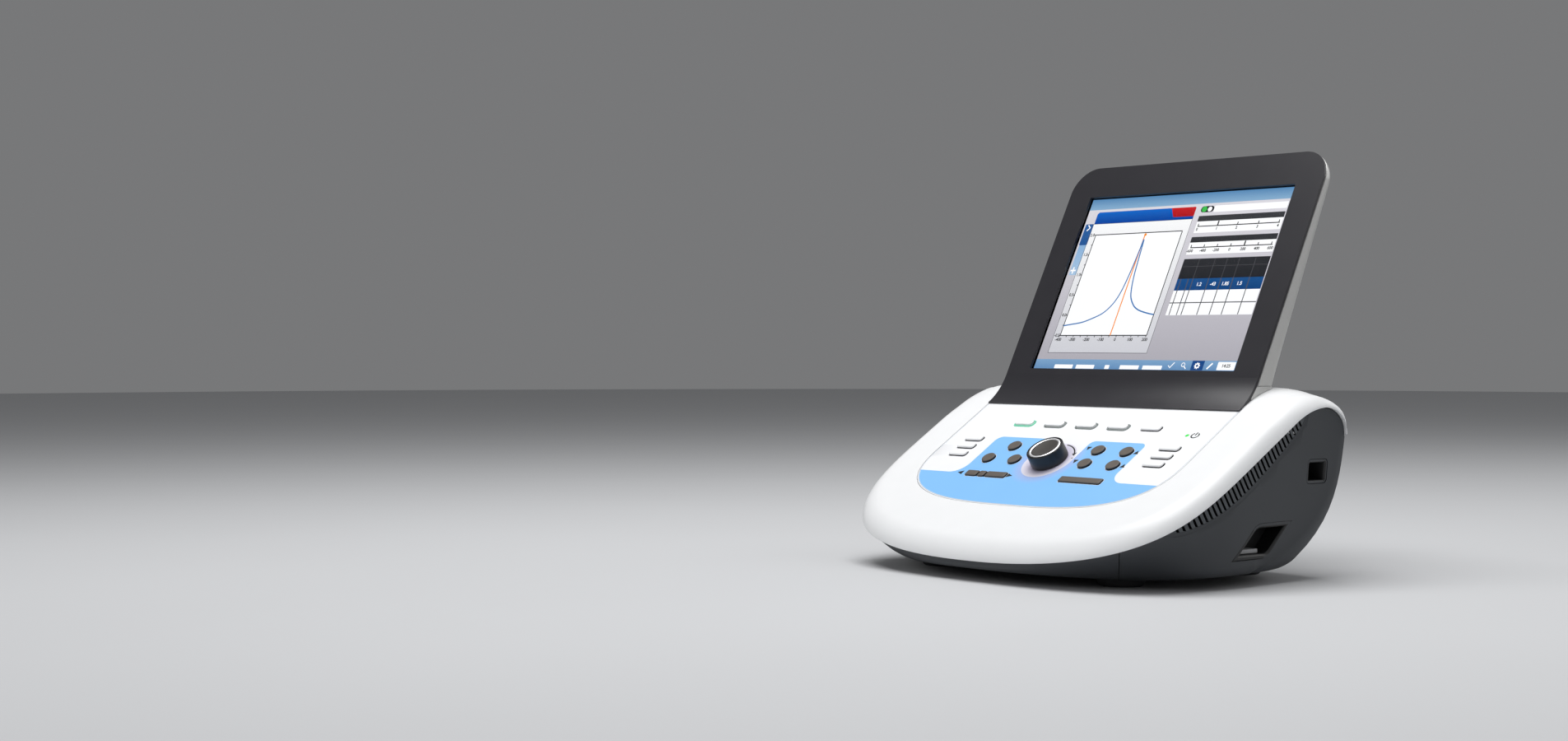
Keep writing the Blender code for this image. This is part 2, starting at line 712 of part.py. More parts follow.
def make_cover(parts, frames):
    """White shell over the whole body, open below, with the panel opening and the neck slot."""
    stations = body_stations(nose_share(FRONT_SEAM_Y))
    bm = bmesh.new()
    rings = [cover_ring(stations, share, 0) for share in COVER_ROLL_SHARES]
    rings += [cover_ring(stations, share, COVER_WALL) for share in COVER_INNER_SHARES]
    mirrored_loft(bm, rings)
    cover = add_object("top_cover", bm, parts["cover_white"])

    seat = bmesh.new()
    prism(seat, panel_outline(GAP), -PANEL_THICKNESS - GAP, OVERRUN)
    combine(cover, add_object("cut_panel_seat", seat, None, frames["console"], helper=True), "DIFFERENCE")
    through = bmesh.new()
    prism(through, panel_outline(-LEDGE_WIDTH), -OVERRUN, OVERRUN)
    opening = add_object("cut_panel_opening", through, None, frames["console"], helper=True)
    combine(cover, opening, "DIFFERENCE")
    combine(cover, bracket_slot("cut_cover_slot"), "DIFFERENCE")


def bracket_slot(name):
    """Upright slot for the display bracket, from inside the body to inside the display."""
    front, rear = -bracket_front(), -bracket_front() - BRACKET_THICKNESS
    low = crest(bracket_bend(front, COVER_WALL)) - COVER_WALL - BRACKET_THICKNESS
    high = JOINT_Z + SHELL_WALL + BRACKET_CLEARANCE
    y_front = bracket_y(low, front) - BRACKET_CLEARANCE
    y_rear = bracket_y(high, rear) + BRACKET_CLEARANCE
    bm = bmesh.new()
    width = 2 * (BRACKET_HALF_WIDTH + BRACKET_CLEARANCE)
    box(bm, (0, (y_front + y_rear) / 2, (low + high) / 2), (width, y_rear - y_front, high - low))
    return add_object(name, bm, None, helper=True)


def make_control_panel(parts, frames):
    """Flat key panel, flush with the cover, with bosses that hold the key board under it."""
    bm = bmesh.new()
    prism(bm, panel_outline(-GAP), -PANEL_THICKNESS, 0)
    panel = add_object("control_panel", bm, parts["panel_white"], frames["console"])
    board_top = key_board_top()
    for number, (x, down) in enumerate(boss_places(), 1):
        boss = bmesh.new()
        prism(boss, circle(BOSS_RADIUS, (x, -down), BOSS_STEPS), board_top + GAP, -PANEL_THICKNESS / 2)
        combine(panel, add_object(f"add_boss_{number}", boss, None, frames["console"], helper=True), "UNION")
    holes = bmesh.new()
    for key in key_table():
        margin = LIGHT_RING + GAP + GAP if key["lit"] else SLIDE_GAP
        prism(holes, key["outline"](margin, key["x"], -key["down"]), -OVERRUN, OVERRUN)
    prism(holes, circle(BUSHING_RADIUS + GAP, (0, -KNOB_DOWN), SMALL_ROUND_STEPS), -OVERRUN, OVERRUN)
    prism(holes, circle(LED_RADIUS + GAP, (LED_X, -LED_DOWN), ROUND_STEPS // 2), -OVERRUN, OVERRUN)
    combine(panel, add_object("cut_panel_holes", holes, None, frames["console"], helper=True), "DIFFERENCE")


def boss_places():
    outer = [(sign * BOSS_X, down) for sign in (-1, 1) for down in (BOSS_ROW_UPPER, BOSS_ROW_LOWER)]
    middle = [(sign * BOSS_MIDDLE_X, down) for sign in (-1, 1) for down in (BOSS_ROW_UPPER, BOSS_ROW_LOWER)]
    return outer + middle


def key_board_top():
    """Height of the key board's top face: a pressed key just clears its switch."""
    key_bottom = -PANEL_THICKNESS - GAP - KEY_FLANGE_THICKNESS
    return key_bottom - KEY_TRAVEL - GAP - SWITCH_HEIGHT


def bar_outline(width, length, corner):
    def outline(offset=0.0, x=0.0, y=0.0):
        return rounded_rectangle(width + 2 * offset, length + 2 * offset, corner + offset, (x, y))

    return outline


def round_outline(radius):
    def outline(offset=0.0, x=0.0, y=0.0):
        return circle(radius + offset, (x, y), SMALL_ROUND_STEPS)

    return outline


def key_table():
    """Every key cap: name, place on the console, outline, height above the panel and finish."""
    keys = []

    def add(name, x, down, outline, height, colour, lit=False):
        key = {"name": name, "x": x, "down": down, "outline": outline}
        key.update({"height": height, "finish": colour, "lit": lit})
        keys.append(key)

    small_bar = bar_outline(BAR_KEY_WIDTH, BAR_KEY_LENGTH, BAR_KEY_CORNER)
    for i in range(ROW_KEYS):
        x = (i - (ROW_KEYS - 1) / 2) * ROW_PITCH
        add(f"key_row_{i + 1}", x, ROW_DOWN, small_bar, ROW_KEY_HEIGHT, "key_white", lit=i < LIT_KEYS)
    for side, sign in (("left", -1), ("right", 1)):
        for i in range(SIDE_KEYS):
            down = SIDE_KEY_DOWN + i * SIDE_KEY_PITCH
            add(f"key_{side}_{i + 1}", sign * SIDE_KEY_X, down, small_bar, SIDE_KEY_HEIGHT, "key_white")
    button = round_outline(ROUND_KEY_RADIUS)
    left = ((ROUND_LEFT_UPPER_X, 0), (ROUND_LEFT_OUTER_X, 1), (ROUND_LEFT_INNER_X, 1))
    right = [(x, row) for row in (0, 1) for x in (ROUND_RIGHT_INNER_X, ROUND_RIGHT_OUTER_X)]
    for side, places in (("left", left), ("right", right)):
        for number, (x, row) in enumerate(places, 1):
            down = ROUND_LOWER_DOWN if row else ROUND_UPPER_DOWN
            add(f"key_round_{side}_{number}", x, down, button, ROUND_KEY_HEIGHT, "key_taupe")
    edge = START_KEYS_LEFT_X
    widths = (("left", START_LEFT_WIDTH), ("middle", START_MIDDLE_WIDTH), ("right", START_RIGHT_WIDTH))
    for name, width in widths:
        outline = bar_outline(width - GAP, WIDE_KEY_LENGTH, WIDE_KEY_CORNER)
        add(f"key_start_{name}", edge + width / 2, WIDE_KEY_DOWN, outline, WIDE_KEY_HEIGHT, "key_taupe")
        edge += width + START_KEY_SPACE
    outline = bar_outline(PRESENT_WIDTH, WIDE_KEY_LENGTH, WIDE_KEY_CORNER)
    add("key_present", PRESENT_X, WIDE_KEY_DOWN, outline, WIDE_KEY_HEIGHT, "key_taupe")
    return keys


def make_keys(parts, frames):
    """Key caps, each on its own sliding axis, with a flange that stops it under the panel."""
    under = -PANEL_THICKNESS - GAP
    for key in key_table():
        flange = 0 if key["lit"] else START_FLANGE if "start" in key["name"] else KEY_FLANGE
        bottom = under - KEY_FLANGE_THICKNESS
        top = key["height"]
        levels = [(bottom, flange), (under, flange), (under, 0)] if flange else [(bottom, 0)]
        levels += [(top - KEY_EDGE, 0), (top, -KEY_EDGE)]
        bm = bmesh.new()
        stacked(bm, key["outline"], levels)
        place = (key["x"], -key["down"], 0)
        add_object(key["name"], bm, parts[key["finish"]], frames["console"], place)


def make_light_guide(parts, frames):
    """Clear ring round each lit key, joined by a rail under the panel."""
    under = -PANEL_THICKNESS - GAP
    lit = [key for key in key_table() if key["lit"]]
    rail_down = ROW_DOWN - BAR_KEY_LENGTH / 2 - LIGHT_RING - LIGHT_RAIL_WIDTH / 2
    left = lit[0]["x"] - BAR_KEY_WIDTH / 2
    right = lit[-1]["x"] + BAR_KEY_WIDTH / 2
    bm = bmesh.new()
    rail_size = (right - left, LIGHT_RAIL_WIDTH, LIGHT_RAIL_HEIGHT)
    box(bm, ((left + right) / 2, -rail_down, under - LIGHT_RAIL_HEIGHT / 2), rail_size)
    guide = add_object("light_guide", bm, parts["light_clear"], frames["console"])
    rings = bmesh.new()
    for key in lit:
        outer = key["outline"](LIGHT_RING + GAP, key["x"], -key["down"])
        prism(rings, outer, under - LIGHT_RAIL_HEIGHT, LIGHT_RING_PROUD)
    combine(guide, add_object("add_light_rings", rings, None, frames["console"], helper=True), "UNION")
    holes = bmesh.new()
    for key in lit:
        prism(holes, key["outline"](GAP, key["x"], -key["down"]), -OVERRUN, OVERRUN)
    combine(guide, add_object("cut_light_rings", holes, None, frames["console"], helper=True), "DIFFERENCE")


def make_power_led(parts, frames):
    bm = bmesh.new()
    low = key_board_top() + GAP
    profile = [(0, low), (LED_RADIUS, low), (LED_RADIUS, 0), (LED_RADIUS / 2, GAP), (0, GAP)]
    turned(bm, profile, ROUND_STEPS // 2)
    add_object("power_led", bm, parts["led_green"], frames["console"], (LED_X, -LED_DOWN, 0))


def make_key_board(parts, frames):
    """Circuit board under the panel, with one switch below each key."""
    top = key_board_top()
    middle = (KEY_BOARD_TOP + KEY_BOARD_BOTTOM) / 2
    bm = bmesh.new()
    size = (2 * KEY_BOARD_HALF_WIDTH, KEY_BOARD_BOTTOM - KEY_BOARD_TOP, BOARD_THICKNESS)
    box(bm, (0, -middle, top - BOARD_THICKNESS / 2), size)
    board = add_object("key_board", bm, parts["board_green"], frames["console"])
    switches = bmesh.new()
    for key in key_table():
        height = SWITCH_HEIGHT + SWITCH_SINK
        centre = (key["x"], -key["down"], top - SWITCH_SINK + height / 2)
        box(switches, centre, (SWITCH_SIZE, SWITCH_SIZE, height))
    combine(board, add_object("add_switches", switches, None, frames["console"], helper=True), "UNION")


def make_knob(parts, frames):
    """Knob, its bright ring and dished cap, the shaft that turns with them, and the fixed encoder."""
    place = (0, -KNOB_DOWN, 0)
    pocket = KNOB_TOP - KNOB_POCKET_DEPTH
    hub_low = BUSHING_TOP + SLIDE_GAP
    bore = SHAFT_RADIUS + GAP
    web = pocket - KNOB_CROWN
    body = [
        (0, pocket),
        (KNOB_POCKET_RADIUS, pocket),
        (KNOB_POCKET_RADIUS, KNOB_TOP - KNOB_EDGE / 2),
        (KNOB_POCKET_RADIUS + KNOB_EDGE / 2, KNOB_TOP),
        (KNOB_TOP_RADIUS - KNOB_EDGE, KNOB_TOP),
        (KNOB_TOP_RADIUS, KNOB_TOP - KNOB_EDGE),
        (KNOB_RADIUS, KNOB_BASE),
        (KNOB_RADIUS - KNOB_WALL, KNOB_BASE),
        (KNOB_TOP_RADIUS - KNOB_WALL, web),
        (HUB_RADIUS, web),
        (HUB_RADIUS, hub_low),
        (bore, hub_low),
        (bore, SHAFT_TOP + GAP),
        (0, SHAFT_TOP + GAP),
    ]
    bm = bmesh.new()
    turned(bm, body, KNOB_STEPS)
    add_object("knob_body", bm, parts["knob_black"], frames["console"], place)

    seat = pocket + GAP
    outer = KNOB_POCKET_RADIUS - GAP
    inner = outer - RING_WIDTH
    ring = [
        (inner, seat),
        (outer, seat),
        (outer, seat + RING_HEIGHT - RING_DOME),
        ((outer + inner) / 2, seat + RING_HEIGHT),
        (inner, seat + RING_HEIGHT - RING_DOME),
    ]
    bm = bmesh.new()
    turned(bm, ring, KNOB_STEPS)
    add_object("knob_ring", bm, parts["knob_silver"], frames["console"], place)

    radius = inner - GAP
    dish = radius - CAP_EDGE
    cap = [(0, seat), (radius, seat), (radius, seat + CAP_HEIGHT), (dish, seat + CAP_HEIGHT)]
    for i in range(1, DISH_STEPS + 1):
        share = 1 - i / DISH_STEPS
        cap.append((dish * share, seat + CAP_HEIGHT - CAP_DISH * (1 - share * share)))
    bm = bmesh.new()
    turned(bm, cap, KNOB_STEPS)
    add_object("knob_cap", bm, parts["knob_taupe"], frames["console"], place)

    base = key_board_top() + GAP
    shaft_low = base + GAP + ENCODER_FLOOR
    bm = bmesh.new()
    shaft = [(0, shaft_low), (SHAFT_RADIUS, shaft_low), (SHAFT_RADIUS, SHAFT_TOP), (0, SHAFT_TOP)]
    turned(bm, shaft, SMALL_ROUND_STEPS)
    add_object("encoder_shaft", bm, parts["steel"], frames["console"], place)

    bm = bmesh.new()
    prism(bm, rounded_rectangle(ENCODER_SIZE, ENCODER_SIZE, 0), base, -PANEL_THICKNESS - GAP)
    encoder = add_object("encoder_body", bm, parts["steel"], frames["console"], place)
    bushing = bmesh.new()
    prism(bushing, circle(BUSHING_RADIUS, steps=SMALL_ROUND_STEPS), base + ENCODER_FLOOR, BUSHING_TOP)
    combine(encoder, add_object("add_bushing", bushing, None, frames["console"], place, helper=True), "UNION")
    hollow = bmesh.new()
    prism(hollow, circle(bore, steps=SMALL_ROUND_STEPS), base + ENCODER_FLOOR, OVERRUN)
    bored = add_object("cut_bushing", hollow, None, frames["console"], place, helper=True)
    combine(encoder, bored, "DIFFERENCE")


def make_base_tray(parts):
    """Floor of the body with the front chin: stations behind the front seam keep only the floor."""
    seam = nose_share(FRONT_SEAM_Y - GAP / 2)
    stations = body_stations(seam, split=True)
    levels = [(level, False) for level in reversed(CHIN_LEVELS)]
    levels += [(level, True) for level in CHIN_INNER_LEVELS]
    rings = [[tray_point(station, level, inner, seam) for station in stations] for level, inner in levels]
    bm = bmesh.new()
    mirrored_loft(bm, rings)
    tray = add_object("base_tray", bm, parts["body_charcoal"])
    floor = BASE_Z + BASE_WALL
    posts = bmesh.new()
    for x, y in board_corners():
        outline = circle(STANDOFF_RADIUS, (x, y), BOSS_STEPS)
        prism(posts, outline, BASE_Z + BASE_WALL / 2, floor + STANDOFF_HEIGHT)
    combine(tray, add_object("add_standoffs", posts, None, helper=True), "UNION")


def tray_point(station, level, inner, seam):
    """A point of the tray: the chin's wall in front of the seam, the floor's edge behind it."""
    kind, share = station
    if kind == "nose" and share <= seam:
        return lower_point(station, level, BASE_WALL if inner else 0, BASE_Z + (BASE_WALL if inner else 0))
    x, y, _ = lower_point(station, 2.0, 0)
    dip = CHIN_DIP * chin_bump(station)
    if inner:
        inset = FLOOR_GAP + FLOOR_EDGE + FLOOR_STEP * (level + 1)
        z = BASE_Z + BASE_WALL
    else:
        rise = 1 - level / 2
        inset = FLOOR_GAP + FLOOR_EDGE * rise
        z = BASE_Z + BASE_WALL * rise
    inward = Vector((x, y - SHOULDER_Y)).normalized() * inset * math.sqrt(2)
    return x - inward.x if x else x, y - inward.y, z - dip


def board_corners():
    across = MAIN_BOARD_WIDTH / 2 - STANDOFF_INSET
    along = MAIN_BOARD_LENGTH / 2 - STANDOFF_INSET
    return [(MAIN_BOARD_X + sx * across, MAIN_BOARD_Y + sy * along) for sx in (-1, 1) for sy in (-1, 1)]


def make_side_panels(parts):
    """Right and left side walls with the vent openings; the right one has the two pockets."""
    stations = body_stations(nose_share(FRONT_SEAM_Y + GAP / 2))[NOSE_FRONT_STEPS:]
    stations.append(("rear", REAR_END_SHARE))
    for side, sign in (("right", 1), ("left", -1)):
        bm = bmesh.new()
        loft(bm, [[(sign * x, y, z) for x, y, z in wall_loop(station, SIDE_WALL)] for station in stations])
        panel = add_object(f"side_panel_{side}", bm, parts["body_charcoal"])
        behind = bmesh.new()
        box(behind, (0, REAR_Y, CREST_Z / 2), (2 * REAR_SEAM_X, 2 * BASE_CORNER, CREST_Z))
        combine(panel, add_object(f"cut_seam_{side}", behind, None, helper=True), "DIFFERENCE")
        combine(panel, vent_cutter(side, sign), "DIFFERENCE")
        if side == "right":
            combine(panel, side_prism("cut_port", port_outline(GAP), PORT_Z), "DIFFERENCE")
            combine(panel, side_prism("cut_recess", recess_outline(GAP), RECESS_Z), "DIFFERENCE")


def side_prism(name, outline, z):
    """Helper that cuts a (y, z) outline through the right side wall."""
    bm = bmesh.new()
    middle = side_x(PORT_Y, z)
    loft(bm, [[(x, y, height) for y, height in outline] for x in (middle - OVERRUN, middle + OVERRUN)])
    return add_object(name, bm, None, helper=True)


def vent_samples():
    length = VENT_REAR_Y - VENT_FRONT_Y
    turns = [2 * QUARTER_TURN * i / VENT_STEPS for i in range(VENT_STEPS + 1)]
    shares = [(1 - math.cos(turn)) / 2 for turn in turns]
    return [VENT_FRONT_Y + length * share for share in shares]


def vent_cutter(side, sign):
    """Crescent-shaped opening that hangs from the side panel's top edge."""
    samples = vent_samples()
    lower = [(y, vent_bottom(y)) for y in samples]
    upper = [(y, rim_height(y) + OVERRUN) for y in reversed(samples)]
    bm = bmesh.new()
    inner = BODY_HALF_WIDTH - 2 * OVERRUN
    outer = BODY_HALF_WIDTH + OVERRUN
    loft(bm, [[(sign * x, y, z) for y, z in lower + upper] for x in (inner, outer)])
    return add_object(f"cut_vent_{side}", bm, None, helper=True)


def make_vent_grilles(parts):
    """Slatted grille behind each vent opening, tucked behind the walls around it."""
    span = VENT_REAR_Y - VENT_FRONT_Y + 2 * GRILLE_TUCK
    samples = [VENT_FRONT_Y - GRILLE_TUCK + span * i / GRILLE_STEPS for i in range(GRILLE_STEPS + 1)]
    pitch = (VENT_REAR_Y - VENT_FRONT_Y - 2 * SLOT_END_MARGIN) / (SLOT_COUNT - 1)
    for side, sign in (("right", 1), ("left", -1)):
        loops = []
        for y in samples:
            section = []
            for z in (rim_height(y) + GRILLE_TUCK, vent_bottom(y) - GRILLE_TUCK):
                x = grille_x(y, z)
                section.append((sign * x, y, z))
                section.append((sign * (x - GRILLE_THICKNESS), y, z))
            loops.append([section[0], section[2], section[3], section[1]])
        bm = bmesh.new()
        loft(bm, loops)
        grille = add_object(f"vent_grille_{side}", bm, parts["vent_black"])
        slots = bmesh.new()
        for i in range(SLOT_COUNT):
            add_slot(slots, VENT_FRONT_Y + SLOT_END_MARGIN + pitch * i, sign)
        combine(grille, add_object(f"cut_slots_{side}", slots, None, helper=True), "DIFFERENCE")


def grille_x(y, z):
    """Outer face of the grille, just inside the side wall and the cover."""
    return side_x(y, min(z, rim_height(y) - GAP), SIDE_WALL + GRILLE_CLEARANCE)


def add_slot(bm, y, sign):
    """One leaning slot, from under the cover's rim to just above the vent's lower edge."""
    half = SLOT_WIDTH / 2
    run = math.tan(SLOT_LEAN)
    y_top = y - VENT_DEPTH / 2 * run
    top = rim_height(y_top) + GRILLE_TUCK / 3
    low = top
    while low > vent_bottom(y_top + (top - low) * run) + VENT_LIP:
        low -= GAP
    if top - low < 2 * SLOT_WIDTH:
        return
    y_low = y_top + (top - low) * run
    outline = [(y_top - half, top), (y_top + half, top), (y_low + half, low), (y_low - half, low)]
    middle = grille_x(y, (top + low) / 2)
    ends = (middle - OVERRUN / 2, middle + OVERRUN / 2)
    loft(bm, [[(sign * x, place, z) for place, z in outline] for x in ends])


def port_outline(offset=0.0):
    radius = PORT_CORNER + offset
    return rounded_rectangle(PORT_WIDTH + 2 * offset, PORT_HEIGHT + 2 * offset, radius, (PORT_Y, PORT_Z))


def recess_outline(offset=0.0):
    """Leaning leaf shape, sharp at the front foot and the rear head, round at the other corners."""
    lean = math.atan2(RECESS_HEIGHT, RECESS_LEAN)
    slip = offset / math.tan(lean / 2)
    low, high = RECESS_Z - offset, RECESS_Z + RECESS_HEIGHT + offset
    front, rear = RECESS_FRONT_Y - slip, RECESS_FRONT_Y + RECESS_WIDTH + RECESS_LEAN + slip
    radius = RECESS_CORNER + offset
    tangent = radius * math.tan(lean / 2)
    low_end = rear - (high - low) / math.tan(lean) - tangent
    high_end = front + (high - low) / math.tan(lean) + tangent
    points = [(front, low)]
    points += arc((low_end, low + radius), radius, -QUARTER_TURN, lean - QUARTER_TURN, CORNER_ARC_STEPS)
    points += [(rear, high)]
    start = QUARTER_TURN
    points += arc((high_end, high - radius), radius, start, start + lean, CORNER_ARC_STEPS)
    return points


def liner(name, outline_at, wall, depth, material, place):
    """Box-like lining of a side opening, open outwards. Returns the x of its mouth."""
    mouth = side_x(*place) - LINER_INSET
    bm = bmesh.new()
    loft(bm, [[(x, y, z) for y, z in outline_at(0)] for x in (mouth - depth, mouth)])
    made = add_object(name, bm, material)
    hollow = bmesh.new()
    loft(hollow, [[(x, y, z) for y, z in outline_at(-wall)] for x in (mouth - depth + wall, mouth + OVERRUN)])
    combine(made, add_object(f"cut_{name}", hollow, None, helper=True), "DIFFERENCE")
    return mouth


def make_side_pockets(parts):
    """Square port pocket, leaf-shaped cable recess and the small socket on its floor."""
    liner("port_pocket", port_outline, PORT_WALL, PORT_DEPTH, parts["recess_black"], (PORT_Y, PORT_Z))
    place = (RECESS_FRONT_Y, RECESS_Z)
    mouth = liner("cable_recess", recess_outline, RECESS_WALL, RECESS_DEPTH, parts["recess_black"], place)
    back = mouth - RECESS_DEPTH + RECESS_WALL + GAP
    low = RECESS_Z + RECESS_WALL + GAP
    middle = RECESS_FRONT_Y + RECESS_LEAN / 2 + SOCKET_LENGTH / 2
    bm = bmesh.new()
    centre = (back + SOCKET_DEPTH / 2, middle, low + SOCKET_HEIGHT / 2)
    box(bm, centre, (SOCKET_DEPTH, SOCKET_LENGTH, SOCKET_HEIGHT))
    bmesh.ops.bevel(bm, geom=list(bm.edges), offset=GAP, affect="EDGES", segments=1, profile=0.5)
    add_object("probe_socket", bm, parts["socket_grey"])


def make_rear_panel(parts):
    """Rear wall between the side panels, with the power inlet and the port block."""
    right = [("corner", share) for share in [0.0, *steps_between(0, 1, CORNER_STEPS)]]
    loops = [wall_loop(station, SIDE_WALL) for station in right]
    loops += [[(-x, y, z) for x, y, z in loop] for loop in reversed(loops)]
    bm = bmesh.new()
    loft(bm, loops)
    panel = add_object("rear_panel", bm, parts["body_charcoal"])
    between = bmesh.new()
    box(between, (0, REAR_Y, CREST_Z / 2), (2 * (REAR_SEAM_X - GAP), 2 * BASE_CORNER, CREST_Z))
    combine(panel, add_object("keep_between_seams", between, None, helper=True), "INTERSECT")
    ports_size = (PORTS_WIDTH, PORTS_DEPTH, PORTS_HEIGHT)
    openings = (
        ("power_inlet", INLET_X, INLET_Z, (INLET_WIDTH, INLET_DEPTH, INLET_HEIGHT), INLET_WALL, 1),
        ("port_block", PORTS_X, PORTS_Z, ports_size, PORTS_WALL, PORT_CELL_COUNT),
    )
    for name, x, z, (width, depth, height), wall, cells in openings:
        face = rear_wall_y(z)
        hole = bmesh.new()
        box(hole, (x, face, z), (width + 2 * GAP, 2 * OVERRUN, height + 2 * GAP))
        combine(panel, add_object(f"cut_{name}_hole", hole, None, helper=True), "DIFFERENCE")
        mouth = face + INLET_PROUD
        bm = bmesh.new()
        box(bm, (x, mouth - depth / 2, z), (width, depth, height))
        made = add_object(name, bm, parts["recess_black"])
        cavity = bmesh.new()
        cell = (width - wall * (cells + 1)) / cells
        for i in range(cells):
            centre = x - width / 2 + wall + cell / 2 + i * (cell + wall)
            box(cavity, (centre, mouth, z), (cell, 2 * (depth - wall), height - 2 * wall))
        combine(made, add_object(f"cut_{name}", cavity, None, helper=True), "DIFFERENCE")


def make_feet(parts):
    """Four round rubber pads under the floor, the front ones lower where the floor dips."""
    for row, y in (("front", FRONT_FOOT_Y), ("rear", REAR_FOOT_Y)):
        top = BASE_Z - GAP - (CHIN_DIP if row == "front" else 0)
        profile = [
            (0, top),
            (FOOT_RADIUS, top),
            (FOOT_RADIUS - FOOT_EDGE, top / 2),
            (FOOT_RADIUS - FOOT_TAPER, 0),
            (0, 0),
        ]
        for side, sign in (("left", -1), ("right", 1)):
            bm = bmesh.new()
            turned(bm, profile, KNOB_STEPS - BOSS_STEPS)
            add_object(f"foot_{row}_{side}", bm, parts["foot_rubber"], None, (sign * FOOT_X, y, 0))


def display_to_world(up, out):
    """World (y, z) of a place in display coordinates."""
    sine, cosine = math.sin(DISPLAY_LEAN), math.cos(DISPLAY_LEAN)
    return LCD_Y + up * sine - out * cosine, LCD_Z + up * cosine + out * sine


def world_to_display(y, z):
    sine, cosine = math.sin(DISPLAY_LEAN), math.cos(DISPLAY_LEAN)
    return (y - LCD_Y) * sine + (z - LCD_Z) * cosine, (z - LCD_Z) * sine - (y - LCD_Y) * cosine


def display_up_at(z, out):
    """Distance up the screen at which a plane of the display passes a world height."""
    return (z - LCD_Z - out * math.sin(DISPLAY_LEAN)) / math.cos(DISPLAY_LEAN)


def skirt_curve():
    """Front face of the bezel's foot in display coordinates: an arc from the screen's plane into the
    console's slope. Returns (up, out, angle turned) points, top first."""
    turn = QUARTER_TURN - DISPLAY_LEAN - CONSOLE_TILT
    normal = (-math.sin(CONSOLE_TILT), math.cos(CONSOLE_TILT))
    foot_y = CONSOLE_FOOT_Y + BEZEL_LIP * normal[0]
    foot_z = CONSOLE_FOOT_Z + BEZEL_LIP * normal[1]
    foot_up, foot_out = world_to_display(foot_y, foot_z)
    radius = (foot_out - BEZEL_FACE) / (1 - math.cos(turn))
    top = foot_up + radius * math.sin(turn)
    points = []
    for i in range(SKIRT_STEPS + 1):
        angle = turn * i / SKIRT_STEPS
        points.append((top - radius * math.sin(angle), BEZEL_FACE + radius * (1 - math.cos(angle)), angle))
    return points


def skirt_back(point, thickness):
    """Point behind the skirt's face, kept just above the console and the cover."""
    up, out, angle = point
    back_up = up - thickness * math.sin(angle)
    back_out = out - thickness * math.cos(angle)
    y, z = display_to_world(back_up, back_out)
    lowest = crest(y) + GAP / math.cos(CONSOLE_TILT)
    if z < lowest:
        face_y, face_z = display_to_world(up, out)
        spare = face_z - crest(face_y) - GAP / math.cos(CONSOLE_TILT)
        share = spare / (face_z - z - crest(face_y) + crest(y))
        back_up, back_out = up + (back_up - up) * share, out + (back_out - out) * share
    return back_up, back_out


def make_bezel(parts, frames):
    """Screen frame whose foot sweeps forward onto the console, with rounded top corners and a spigot
    that fits into the back shell."""
    curve = skirt_curve()
    front = [(BEZEL_TOP, BEZEL_FACE)] + [(up, out) for up, out, _ in curve]
    back = [skirt_back(point, BEZEL_THICKNESS) for point in reversed(curve)]
    back.append((BEZEL_TOP, BEZEL_FACE - BEZEL_THICKNESS))
    bm = bmesh.new()
    loft(bm, [[(x, up, out) for up, out in front + back] for x in (-BEZEL_HALF_WIDTH, BEZEL_HALF_WIDTH)])
    bezel = add_object("display_bezel", bm, parts["bezel_charcoal"], frames["display"])
    spigot = bmesh.new()
    outer = SHELL_WALL + GAP
    band = bezel_outline(outer, SPIGOT_FOOT) + bezel_outline(outer + SPIGOT_THICKNESS, SPIGOT_FOOT)[::-1]
    prism(spigot, band, -SPIGOT_DEPTH, BEZEL_FACE - BEZEL_THICKNESS / 2)
    combine(bezel, add_object("add_spigot", spigot, None, frames["display"], helper=True), "UNION")
    window = bmesh.new()
    prism(window, rounded_rectangle(LCD_WIDTH, LCD_HEIGHT, 0), -OVERRUN, OVERRUN)
    combine(bezel, add_object("cut_window", window, None, frames["display"], helper=True), "DIFFERENCE")
    corners = bmesh.new()
    for sign in (-1, 1):
        centre = (BEZEL_HALF_WIDTH - BEZEL_CORNER, BEZEL_TOP - BEZEL_CORNER)
        points = arc(centre, BEZEL_CORNER, 0, QUARTER_TURN, CORNER_ARC_STEPS * 2)
        beyond = (BEZEL_HALF_WIDTH + OVERRUN, BEZEL_TOP + OVERRUN)
        points = [(beyond[0], centre[1]), *points, (centre[0], beyond[1]), beyond]
        prism(corners, [(sign * x, y) for x, y in points], -OVERRUN, OVERRUN)
    outside = add_object("cut_bezel_corners", corners, None, frames["display"], helper=True)
    combine(bezel, outside, "DIFFERENCE")


def shell_depth(up):
    """How far the back shell reaches behind the screen's plane, deeper towards the neck."""
    foot = display_up_at(JOINT_Z, 0)
    share = min(max((BEZEL_TOP - up) / (BEZEL_TOP - foot), 0), 1)
    return SHELL_TOP_DEPTH + (SHELL_FOOT_DEPTH - SHELL_TOP_DEPTH) * share


